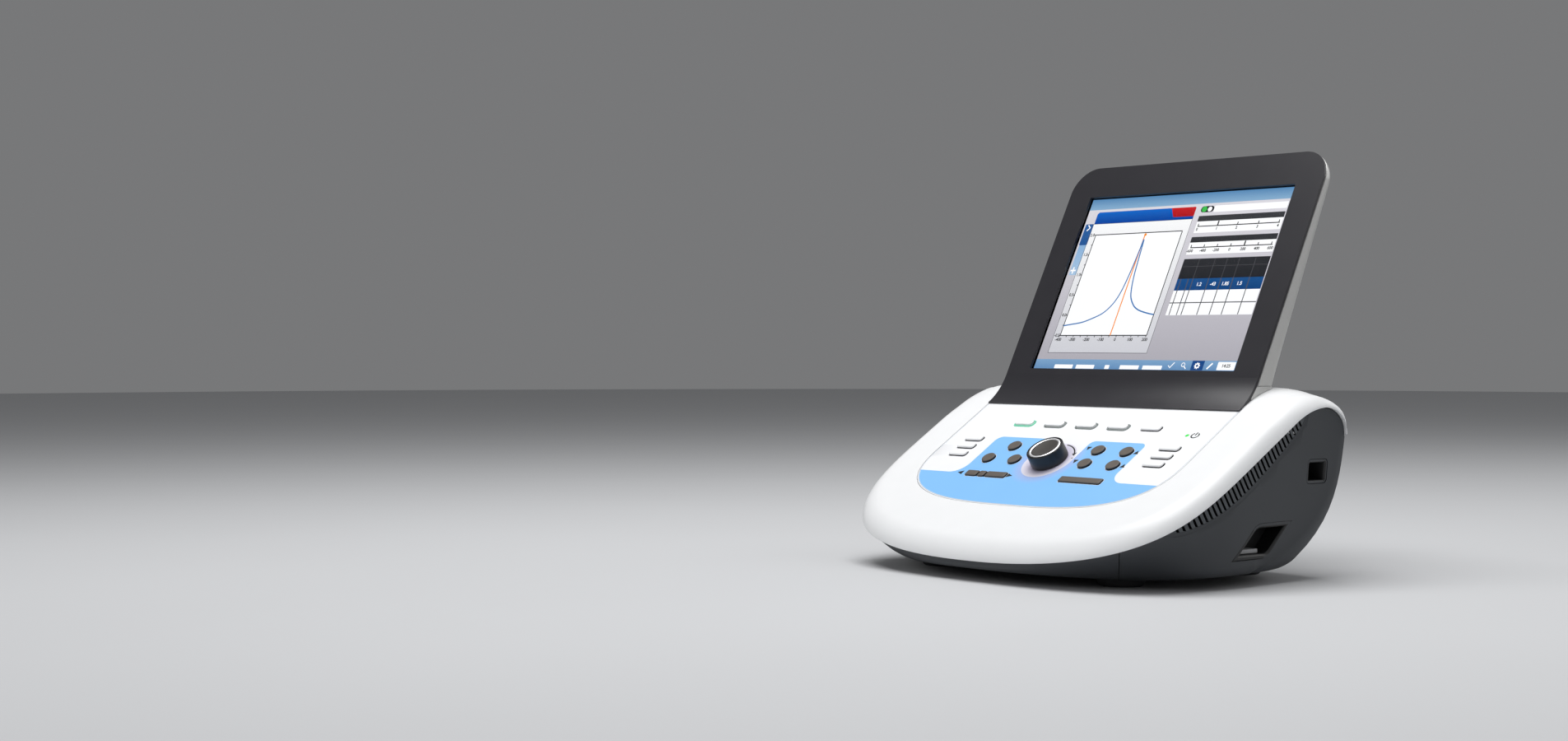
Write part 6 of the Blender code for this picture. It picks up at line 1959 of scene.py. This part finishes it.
@dataclass(frozen=True)
class DisplayCase:
    """The screen's frame, whose foot sweeps onto the console, its back shell and the neck under it."""

    half: float = 129.7 * MM
    top: float = 107.3 * MM
    corner: float = 23.8 * MM
    face: float = 2.5 * MM
    thickness: float = 2.1 * MM
    lip: float = 1.2 * MM
    window: Point = (211.2 * MM, 158.4 * MM)
    shell_wall: float = 2.2 * MM
    shell_front: float = 0.6 * MM
    top_depth: float = 10.7 * MM
    foot_depth: float = 20.3 * MM
    round_off: float = 9.5 * MM
    joint_z: float = 141.2 * MM
    edge: float = 0.6 * MM
    front_edge_share: float = 0.8
    outline_low: float = 160 * MM
    outline_depths: Point = (-40 * MM, 120 * MM)
    window_corner: float = 0.8 * MM
    window_cut: float = 12 * MM
    window_edge: float = 0.35 * MM
    window_zone: Point = (106 * MM, 80 * MM)
    face_slack: float = 0.05 * MM
    edge_zone: Point = (26 * MM, 25 * MM)
    spigot: float = 1.5 * MM
    spigot_low: float = 76 * MM
    spigot_foot: float = -1.8 * MM
    neck_lift: float = 1.5 * MM
    neck_front: float = 12 * MM
    neck_heights: Point = (111 * MM, 152 * MM)

    def skirt(self, steps: int = 28) -> list[Spot]:
        """Front face of the foot as (up, out, angle turned), top first."""
        turn = QUARTER_TURN - FRAMES.lean - CONSOLE_TILT
        y = CONSOLE_FOOT[0] - self.lip * math.sin(CONSOLE_TILT) - FRAMES.lcd_y
        z = CONSOLE_FOOT[1] + self.lip * math.cos(CONSOLE_TILT) - FRAMES.lcd_z
        sine, cosine = math.sin(FRAMES.lean), math.cos(FRAMES.lean)
        foot_up, foot_out = y * sine + z * cosine, z * sine - y * cosine
        radius = (foot_out - self.face) / (1 - math.cos(turn))
        top = foot_up + radius * math.sin(turn)
        turns = [turn * i / steps for i in range(steps + 1)]
        return [(top - radius * math.sin(a), self.face + radius * (1 - math.cos(a)), a) for a in turns]

    def skirt_back(self, point: Spot, thickness: float) -> Point:
        """Point behind the foot's face, kept just above the console and the cover.

        Args:
            point: a point of skirt().
            thickness: distance behind it.

        Returns:
            The point as (up, out).
        """
        up, out, angle = point
        back = (up - thickness * math.sin(angle), out - thickness * math.cos(angle))
        y, z = FRAMES.to_world(*back)
        lift = GAP / math.cos(CONSOLE_TILT)
        if z < FORM.crest(y) + lift:
            face_y, face_z = FRAMES.to_world(up, out)
            share = (face_z - FORM.crest(face_y) - lift) / (face_z - z - FORM.crest(face_y) + FORM.crest(y))
            back = (up + (back[0] - up) * share, out + (back[1] - out) * share)
        return back

    def outline(self, inset: float, foot: float, steps: int = 24) -> Outline:
        """Sides and top of the frame's outline, from the right foot over to the left one.

        Args:
            inset: how far it lies inside the frame's own.
            foot: its reach below the screen's middle.
            steps: number of steps round each corner.

        Returns:
            Its points as (x, up).
        """
        half, top, corner = self.half - inset, self.top - inset, self.corner - inset
        bend = arc((half - corner, top - corner), corner, 0, QUARTER_TURN, steps)
        return both_sides([(half, -foot), *bend])

    def build(self) -> None:
        """Makes the frame, the shell and the neck."""
        self.build_frame()
        self.build_shell()
        self.build_neck()

    def build_frame(self) -> None:
        """Makes the frame with its window, rounded edges and spigot."""
        curve = self.skirt()
        profile = [(self.top, self.face), *((up, out) for up, out, _ in curve)]
        profile += [self.skirt_back(point, self.thickness) for point in reversed(curve)]
        profile.append((self.top, self.face - self.thickness))
        bm = across(profile, self.half)
        bm = combine(bm, plate(self.outline(0, self.outline_low), *self.outline_depths), "INTERSECT")
        cut = self.window_cut
        bm = combine(bm, plate(rounded(*self.window, self.window_corner), -cut, cut))
        clean_flats(bm)
        face, (wide, tall) = self.face - self.face_slack, self.window_zone
        side, over = self.half - self.edge_zone[0], self.top - self.edge_zone[1]
        soften(bm, self.edge, 3, lambda p: p.z > face and (abs(p.x) > side or p.y > over))
        soften(bm, self.window_edge, 2, lambda p: p.z > face and abs(p.x) < wide and abs(p.y) < tall)
        inset, low = self.shell_wall + GAP, self.spigot_low
        band = self.outline(inset, low) + self.outline(inset + self.spigot, low)[::-1]
        bm = combine(bm, plate(band, self.spigot_foot, self.face - self.thickness / 2), "UNION")
        show("screen_frame", placed(tidy(bm), FRAMES.display), Skin.BEZEL, replaces=["display_bezel"])

    def depth(self, up: float) -> float:
        """How far the shell reaches behind the screen's plane."""
        foot = FRAMES.up_at(self.joint_z, 0)
        share = min(max((self.top - up) / (self.top - foot), 0), 1)
        return self.top_depth + (self.foot_depth - self.top_depth) * share

    def ring(self, turn: float | None, wall: float, inset_by: float = 0.0) -> list[Spot]:
        """Right half of a ring of the shell.

        Args:
            turn: share of the turn over the rear edge, or None on the front edge.
            wall: distance inside the skin.
            inset_by: further distance inwards.

        Returns:
            Its points as (x, up, out), from the foot over the top corner.
        """
        angle = QUARTER_TURN * (turn or 0)
        radius = self.round_off - wall
        inset = wall + radius * (1 - math.cos(angle)) + inset_by
        back = wall + radius * (1 - math.sin(angle))
        half, top, corner = self.half - inset, self.top - inset, self.corner - inset
        front = -self.shell_front
        if turn is None and not inset_by:
            front -= self.edge * self.front_edge_share
        deep = -front if turn is None else self.foot_depth - back
        foot = FRAMES.up_at(self.joint_z + wall, -deep)
        points = []
        for i in range(17):
            up = foot + (top - corner - foot) * i / 16
            points.append((half, up, front if turn is None else back - self.depth(up)))
        points[0] = (half, foot, -deep)
        for x, up in arc((half - corner, top - corner), corner, 0, QUARTER_TURN, 24)[1:]:
            points.append((x, up, front if turn is None else back - self.depth(up)))
        return points

    def build_shell(self) -> None:
        """Makes the tray-shaped back shell with its rounded rear edge."""
        rings = [self.ring(1 - i / 6, self.shell_wall) for i in range(7)]
        rings += [self.ring(None, self.shell_wall), self.ring(None, 0.0, self.edge), self.ring(None, 0.0)]
        rings += [self.ring(i / 12, 0.0) for i in range(13)]
        closed = [[(0, *ring[0][1:]), *ring, (0, *ring[-1][1:])] for ring in rings]
        bm = bmesh.new()
        grid(bm, len(closed[0]) - 1, len(rings) - 1, lambda i, j: closed[j][i])
        for ring in (rings[0], rings[-1]):
            grid(bm, len(ring) - 1, 1, lambda i, j, r=ring: (r[i][0] * (1 - j), *r[i][1:]))
        bm = combine(placed(mirrored(bm), FRAMES.display), SLOT.block())
        show("rear_shell", tidy(bm), Skin.SHELL, replaces=["display_back_shell"])

    def build_neck(self) -> None:
        """Makes the collar between the cover and the display."""
        top, plane = self.joint_z - GAP, self.face - self.thickness - GAP

        def at(z: float, out: float) -> float:
            """The y of a point at a height, this far out from the display's plane."""
            return FRAMES.to_world(FRAMES.up_at(z, out), out)[0]

        profile = [(at(top, plane), top)]
        for point in self.skirt():
            y, z = FRAMES.to_world(*self.skirt_back(point, self.thickness + GAP))
            if FORM.crest(y) + GAP + self.neck_lift < z < top:
                profile.append((y, z))
        front, rear = profile[-1][0], at(top, -self.foot_depth)
        profile += [(y, FORM.crest(y) + GAP) for y in [front, *shares(front, rear, 24)]]
        profile.append((rear, top))
        corner = self.round_off
        right = [(self.half, front - self.neck_front)]
        right += arc((self.half - corner, rear - corner), corner, 0, QUARTER_TURN, 16)
        plan = plate(both_sides(right), *self.neck_heights)
        bm = combine(across(profile, self.half), plan, "INTERSECT")
        show("neck_collar", tidy(combine(bm, SLOT.block())), Skin.SHELL, replaces=["display_neck"])


def clean_flats(bm: Mesh) -> None:
    """Joins the coplanar faces that a Boolean leaves, so that edges can be rounded cleanly."""
    bmesh.ops.remove_doubles(bm, verts=bm.verts, dist=MERGE)
    bmesh.ops.dissolve_limit(bm, angle_limit=math.radians(0.05), verts=bm.verts, edges=bm.edges)


def picture(
    name: str, colour: str, foot: str | None = None, top: float = 80, low: float = -78, power: float = 1.0
) -> LitPicture:
    """Finish of one tone of the picture.

    Args:
        name: the tone's name.
        colour: its colour at the top.
        foot: its colour at the bottom, or None for the same.
        top: where the change of colour starts, in mm up the screen.
        low: where it ends.
        power: strength of its light.

    Returns:
        The finish.
    """
    ends = [FRAMES.to_world(up * MM, 0)[1] for up in (top, low)]
    return LitPicture(
        f"picture_{name}", "screen_module", colour, 0.35, foot=foot or colour, top_z=ends[0], foot_z=ends[1],
        power=power, sheen_level=0.0,
    )


class Tone(enum.Enum):
    """Tones of the picture on the screen, each with the light it gives off."""

    BACKGROUND = picture("background_lilac", "#E3E0E6", "#AFACB4")
    TITLE = picture("title_blue", "#4B82B4", "#86AECF", 80, 69)
    BLUE = picture("tab_blue", "#0068CC", "#0046A4", 67, 56)
    DEEP = picture("deep_blue", "#2A62A4", "#164888", 60, 10)
    PALE = picture("side_blue", "#8CB4DC", "#A9C7E4", 36, 8)
    RED = picture("tab_red", "#D0181C", "#A60A10", 67, 56)
    WHITE = picture("white", "#FFFFFF", "#FDFDFE", power=1.06)
    SHEET = picture("sheet_grey", "#FFFFFF", "#D2D2D8", 55, -65)
    DARK = picture("header_dark", "#3A3B3E", "#202124", 58, 2)
    LINE = picture("line_grey", "#5C5D62", "#505156")
    CURVE = picture("curve_blue", "#3878B8")
    ORANGE = picture("cursor_orange", "#FF9420")
    GREEN = picture("green", "#3FC24E")
    BLACK = picture("black", "#0E0F12")
    ROW = picture("row_blue", "#10508C", "#0A4480", 2, -8)
    BAR = picture("bar_blue", "#84ABCF", "#6690BC", -68, -78)


# Places on the picture are in steps of a seventh of a millimetre. They count from a point near its upper
# left corner, which is ORIGIN in mm to the left of and above the zero of the display's own frame.
STEPS_PER_MM = 7
ORIGIN = (108, 82)
GRAPH = (135, 257, 785, 905)
SHEET = (85, 184, 829, 1014)
TABLE_LINES = (980, 1090, 1175, 1258, 1368)
SCALES = (
    (203, (("0", 887), ("1", 1025), ("2", 1163), ("3", 1305), ("4", 1442))),
    (336, (
        ("-600", 888), ("-400", 980), ("-200", 1072), ("0", 1165),
        ("200", 1258), ("400", 1350), ("600", 1440),
    )),
)
# Each layer's name, tone and level, and its tiles: left, top, right, low, corner radius in mm, slant.
TABS = (
    ("background", Tone.BACKGROUND, 0, [(17.5, 20, 1471, 1114)]),
    ("title", Tone.TITLE, 1, [(17.5, 20, 1471, 90)]),
    ("tab_blue", Tone.BLUE, 3, [(92, 107, 650, 180, 1.6, 40), (92, 166, 830, 183)]),
    ("tab_red", Tone.RED, 2, [(640, 107, 830, 168, 1.2)]),
    ("tab_open", Tone.DEEP, 2, [(28, 182, 90, 320, 1.0)]),
    ("tab_side", Tone.PALE, 2, [(32, 320, 88, 515, 1.0)]),
)
PANES = (
    ("field", Tone.WHITE, 2, [(962, 107, 1463, 147)]),
    ("toggle", Tone.BLACK, 3, [(868, 107, 960, 146, 2.7)]),
    ("toggle_green", Tone.GREEN, 4, [(875, 108, 911, 144, 2.5)]),
    ("toggle_white", Tone.WHITE, 4, [(917, 112, 947, 142, 2.1)]),
    ("headers", Tone.DARK, 2, [
        (870, 168, 1463, 203, 0.5), (870, 300, 1463, 335, 0.5), (870, 437, 1463, 560),
    ]),
    ("scales", Tone.WHITE, 1, [
        (870, 203, 1463, 275), (870, 335, 1463, 410), (870, 632, 1463, 708), (870, 708, 1463, 783),
    ]),
    ("table_row", Tone.ROW, 2, [(870, 560, 1463, 632)]),
)
BAR = (
    ("bar", Tone.BAR, 1, [(17.5, 1055, 1471, 1114)]),
    ("bar_fields", Tone.WHITE, 2, [
        (175, 1088, 315, 1112, 0.4), (340, 1088, 478, 1112, 0.4), (557, 1088, 590, 1112, 0.4),
        (668, 1088, 806, 1112, 0.4), (833, 1088, 971, 1112, 0.4), (1348, 1062, 1466, 1110, 0.5),
    ]),
    ("gear_tile", Tone.DEEP, 2, [(1172, 1056, 1255, 1113)]),
)
# The graph's curve: level tails about one narrow peak.
GRAPH_CURVE = (
    (135, 843), (190, 835), (270, 822), (340, 797), (400, 768), (440, 730), (470, 680), (490, 610),
    (505, 500), (515, 380), (521, 300), (530, 400), (540, 520), (555, 610), (575, 670), (610, 715),
    (640, 738), (680, 755), (740, 770), (785, 778),
)


@dataclass(frozen=True)
class Screen:
    """The picture on the screen: flat tiles in the gap between the module and the glass, and its numbers."""

    front: float = -1.99 * MM
    step: float = 0.02 * MM
    tile_share: float = 0.6
    number_level: int = 9
    number_depth: float = 0.005 * MM
    bold: float = 0.1 * MM
    curve_steps: int = 6
    gear: Point = (1211, 1086)
    gear_radii: Point = (2.9 * MM, 2.15 * MM)
    gear_teeth: int = 8
    lens: Point = (1114, 1081)
    lens_radii: Point = (1.9 * MM, 1.3 * MM)

    def place(self, px: float, py: float) -> Point:
        """Place on the screen of a point of the picture."""
        return (px / STEPS_PER_MM - ORIGIN[0]) * MM, (ORIGIN[1] - py / STEPS_PER_MM) * MM

    def tile(
        self, px0: float, py0: float, px1: float, py1: float, radius: float = 0.0, slant: float = 0.0
    ) -> Outline:
        """A rectangle between two corners, with rounded corners or a slanted right end."""
        (x0, top), (x1, low) = self.place(px0, py0), self.place(px1, py1)
        if slant:
            cut, run = radius * MM, slant / STEPS_PER_MM * MM
            return [(x1 + run, low), (x1, top), (x0 + cut, top), (x0, top - cut), (x0, low)]
        return rounded(abs(x1 - x0), abs(top - low), radius * MM, ((x0 + x1) / 2, (top + low) / 2), 5)

    def upright(self, px: float, top: float, low: float, half: float = 3) -> Outline:
        """An upright bar about a place, between two heights."""
        return self.tile(px - half, top, px + half, low)

    def stroke(self, points: Sequence[Point], width: float) -> Outline:
        """A line of some width in mm through points of the picture."""
        path = [Vector(self.place(*point)) for point in points]
        sides: list[list[Point]] = [[], []]
        for i, here in enumerate(path):
            along = (path[min(i + 1, len(path) - 1)] - path[max(i - 1, 0)]).normalized() * width * MM / 2
            sides[0].append((here.x - along.y, here.y + along.x))
            sides[1].append((here.x + along.y, here.y - along.x))
        return sides[0] + sides[1][::-1]

    def strokes(self, points: Sequence[Point], width: float) -> list[Outline]:
        """Straight strokes from each point to the next."""
        return [self.stroke(pair, width) for pair in zip(points, points[1:])]

    def smooth(self, points: Sequence[Point]) -> list[Point]:
        """Points along a smooth line through the given ones, which is a cubic between each two of them."""
        path: list[Point] = []
        ends = [points[0], *points, points[-1]]
        for four in zip(ends, ends[1:], ends[2:], ends[3:]):
            for t in (i / self.curve_steps for i in range(self.curve_steps)):
                path.append(tuple(
                    0.5 * (
                        2 * b + (c - a) * t + (2 * a - 5 * b + 4 * c - d) * t**2
                        + (3 * b - a - 3 * c + d) * t**3
                    )
                    for a, b, c, d in zip(*four)
                ))
        return [*path, points[-1]]

    def frame(self, px0: float, py0: float, px1: float, py1: float, width: float) -> list[Outline]:
        """Four strokes round a rectangle."""
        return self.strokes([(px0, py0), (px1, py0), (px1, py1), (px0, py1), (px0, py0)], width)

    def layer(self, name: str, outlines: Sequence[Outline], tone: Tone, level: int) -> None:
        """Makes the tiles of one tone at one level."""
        bm = bmesh.new()
        low = self.front + level * self.step
        for outline in outlines:
            plate(outline, low, low + self.step * self.tile_share, bm)
        show(f"picture_{name}", placed(bm, FRAMES.display), tone)

    def layers(self, table: Sequence[tuple[str, Tone, int, list[tuple[float, ...]]]]) -> None:
        """Makes the layers of a table."""
        for name, tone, level, tiles in table:
            self.layer(name, [self.tile(*corners) for corners in tiles], tone, level)

    def numbers(self, name: str, words: Sequence[tuple[str, float, float]], size: float, tone: Tone) -> None:
        """Makes some numbers, each centred on a place of the picture.

        Args:
            name: the piece's name.
            words: each number with its place.
            size: height of the figures' line in mm.
            tone: their tone.
        """
        whole = bmesh.new()
        for text, px, py in words:
            curve = bpy.data.curves.new("number", "FONT")
            curve.body, curve.size, curve.extrude = text, size * MM, self.number_depth
            curve.align_x, curve.align_y, curve.resolution_u, curve.offset = "CENTER", "CENTER", 3, self.bold
            made = bpy.data.objects.new("number", curve)
            bpy.context.scene.collection.objects.link(made)
            bpy.context.view_layer.update()
            mesh = bpy.data.meshes.new_from_object(made.evaluated_get(bpy.context.evaluated_depsgraph_get()))
            level = self.front + self.number_level * self.step
            mesh.transform(Matrix.Translation((*self.place(px, py), level)))
            whole.from_mesh(mesh)
            bpy.data.meshes.remove(mesh)
            bpy.data.curves.remove(curve)
        show(f"numbers_{name}", placed(tidy(whole), FRAMES.display), tone)

    def build(self) -> None:
        """Makes the whole picture."""
        self.layers(TABS)
        marks = [self.tile(34, 480, 74, 490), self.tile(49, 464, 59, 506)]
        self.layer("tab_marks", marks + self.strokes([(50, 226), (70, 207), (50, 188)], 1.1), Tone.WHITE, 4)
        self.build_graph()
        self.layers(PANES)
        self.build_gauges()
        self.layers(BAR)
        self.build_bar_marks()

    def build_graph(self) -> None:
        """Makes the sheet with the graph."""
        left, top, _, low = GRAPH
        self.layer("sheet", [self.tile(85, 182, 830, 1015)], Tone.SHEET, 1)
        self.layer("sheet_edge", self.frame(*SHEET, 0.4), Tone.LINE, 3)
        self.layer("graph_field", [self.tile(*GRAPH)], Tone.WHITE, 2)
        lines = self.frame(*GRAPH, 0.85)
        lines += [self.upright(130 + 54.3 * i, low, low + 11, 2.5) for i in range(13)]
        heights = [top + 64.8 * i for i in range(11)]
        lines += [self.tile(left - 10, py - 2.5, left, py + 2.5) for py in heights]
        self.layer("graph_frame", lines, Tone.DARK, 3)
        self.layer("curve", self.strokes(self.smooth(GRAPH_CURVE), 1.15), Tone.CURVE, 6)
        cursor = [self.tile(513, 262, 521, low), self.tile(511, 261, 529, 279, 1.25)]
        self.layer("cursor", cursor, Tone.ORANGE, 5)
        beside = zip(("2.0", "1.5", "1.0", "0.5", "0.0", "-0.5"), (257, 385, 515, 645, 775, 905))
        below = zip(("-400", "-300", "-200", "-100", "0", "100", "200"), (130, 238, 347, 455, 563, 673, 781))
        words = [(text, 110, py) for text, py in beside] + [(text, px, 932) for text, px in below]
        self.numbers("graph", words, 3.8, Tone.BLACK)

    def build_gauges(self) -> None:
        """Makes the lines, marks and numbers of the gauges and the table."""
        left, right = 870, 1463
        lines = [self.tile(left, 705, right, 711)]
        lines += [self.upright(px, 561, 782) for px in (895, 948, *TABLE_LINES)]
        lines += [self.tile(left, 484, right, 486)]
        lines += [self.upright(px, 438, 560, 1.4) for px in TABLE_LINES]
        self.layer("table_lines", lines, Tone.LINE, 4)
        ticks = [self.upright(px, top + 14, top + 30) for top, marks in SCALES for _, px in marks]
        ticks += [self.upright(px, py, py + 32, 4.5) for px, py in ((1025, 204), (1258, 337))]
        ticks += [self.tile(885, top + 28, 1448, top + 34) for top, _ in SCALES]
        self.layer("gauge_marks", ticks, Tone.BLACK, 4)
        heights = (253, 388)
        words = [(text, px, py) for (_, marks), py in zip(SCALES, heights) for text, px in marks]
        self.numbers("gauges", words, 3.5, Tone.BLACK)
        row = [("1.2", 1035, 597), ("-43", 1132, 597), ("1.85", 1216, 597), ("1.5", 1312, 597)]
        self.numbers("table", row, 4.2, Tone.WHITE)

    def build_bar_marks(self) -> None:
        """Makes the small marks and the clock on the bar along the bottom."""
        centre, lens, (outer, inner) = self.place(*self.gear), self.place(*self.lens), self.lens_radii
        gear = []
        for i in range(4 * self.gear_teeth):
            turn = QUARTER_TURN * i / self.gear_teeth
            gear += arc(centre, self.gear_radii[i % 4 // 2], turn, turn, 1)[:1]
        turn = 4 * QUARTER_TURN - 0.01
        glass = arc(lens, outer, 0, turn, 24) + arc(lens, inner, turn, 0, 24)
        check = self.stroke([(1012, 1086), (1026, 1100), (1050, 1068)], 0.9)
        handle = self.stroke([(1124, 1091), (1138, 1105)], 0.9)
        pencil = self.stroke([(1282, 1104), (1312, 1070)], 1.5)
        self.layer("bar_marks", [gear, check, glass, handle, pencil], Tone.WHITE, 4)
        self.layer("gear_hole", [circle(1.0 * MM, centre, 24)], Tone.DEEP, 5)
        self.numbers("clock", [("14:25", 1407, 1086)], 3.8, Tone.BLACK)


# The studio


@dataclass(frozen=True)
class Studio:
    """Pale floor, soft lamps and the camera of the photograph."""

    eye: Spot = (1.15564, -1.22831, 0.17574)
    turn: Point = (89.17, 51.20)
    lens: float = 50.19
    film_width: float = 36.0
    floor_radius: float = 6.0
    floor_depth: float = 0.04
    target: Spot = (0, 0, 0.12)
    sky: str = "#F7F8FA"
    sky_strength: float = 0.20

    def aim(self) -> None:
        """Sets up the camera and how its picture is shown."""
        camera = bpy.data.objects.new("photo_camera", bpy.data.cameras.new("photo_camera"))
        camera.data.lens, camera.data.sensor_width = self.lens, self.film_width
        camera.location = self.eye
        camera.rotation_euler = (math.radians(self.turn[0]), 0, math.radians(self.turn[1]))
        bpy.context.scene.collection.objects.link(camera)
        bpy.context.scene.camera = camera
        bpy.context.scene.view_settings.view_transform = "Standard"

    def floor(self) -> None:
        """Makes the sweep that the instrument stands on."""
        floor = linked("studio_floor", plate(circle(self.floor_radius, steps=96), -self.floor_depth, 0))
        floor.data.materials.append(STUDIO_PAPER.material())

    def lamp(self, name: str, place: Spot, size: Point, power: float) -> None:
        """Adds one softbox that points at the instrument.

        Args:
            name: its name.
            place: its middle.
            size: its width and height.
            power: its power in watts.
        """
        light = bpy.data.lights.new(name, "AREA")
        light.shape, light.size, light.size_y, light.energy = "RECTANGLE", size[0], size[1], power
        lamp = bpy.data.objects.new(name, light)
        lamp.location = place
        lamp.rotation_euler = (Vector(self.target) - Vector(place)).to_track_quat("-Z", "Y").to_euler()
        bpy.context.scene.collection.objects.link(lamp)

    def lights(self) -> None:
        """Places the softboxes and the sky."""
        self.lamp("softbox_top", (-0.05, -0.15, 1.7), (1.4, 1.4), 31)
        self.lamp("softbox_front", (-0.9, -1.9, 1.0), (1.4, 1.0), 6)
        self.lamp("softbox_right", (2.2, 0.2, 0.7), (0.9, 1.2), 3)
        self.lamp("softbox_rear", (0.8, 1.8, 0.9), (1.4, 0.9), 7)
        world = bpy.data.worlds.new("studio_sky")
        world.use_nodes = True
        sky = world.node_tree.nodes["Background"]
        sky.inputs["Color"].default_value = linear(self.sky)
        sky.inputs["Strength"].default_value = self.sky_strength
        bpy.context.scene.world = world


# Seamless paper: a matt, very pale grey with the faintest tooth.
STUDIO_PAPER = Finish(
    "paper_white_seamless", "floor", "#CACBCD", 0.8,
    mottle=0.01, mottle_size=300 * MM, grain=1.2 * MM, relief=0.02 * MM,
)

# Parts kept as the part's own solids, with their finishes.
KEPT = {
    "probe_socket": Skin.SOCKET, "power_led": Skin.LAMP,
    "touch_glass": Inside.GLASS, "lcd_panel": Inside.MODULE,
    "display_bracket": Inside.STEEL, "encoder_body": Inside.STEEL, "encoder_shaft": Inside.STEEL,
    "key_board": Inside.BOARD, "main_board": Inside.BOARD, "power_supply": Inside.ALUMINIUM,
    "air_pump": Inside.ALUMINIUM, "speaker": Inside.PAPER,
}


def main() -> None:
    """Builds the whole model and its studio."""
    logging.basicConfig(level=logging.INFO, format="%(message)s")
    studio = Studio()
    studio.aim()
    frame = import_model()
    for name, finish in KEPT.items():
        dress(frame["nodes"][name], finish)
    CoverShell().build()
    KEY_PANEL.build()
    PanelPrint().build()
    for key in KEYS:
        key.build()
    LightGuide().build()
    Knob().build()
    LowerBody().build()
    Feet().build()
    DisplayCase().build()
    Screen().build()
    studio.floor()
    studio.lights()


if __name__ == "__main__":
    main()
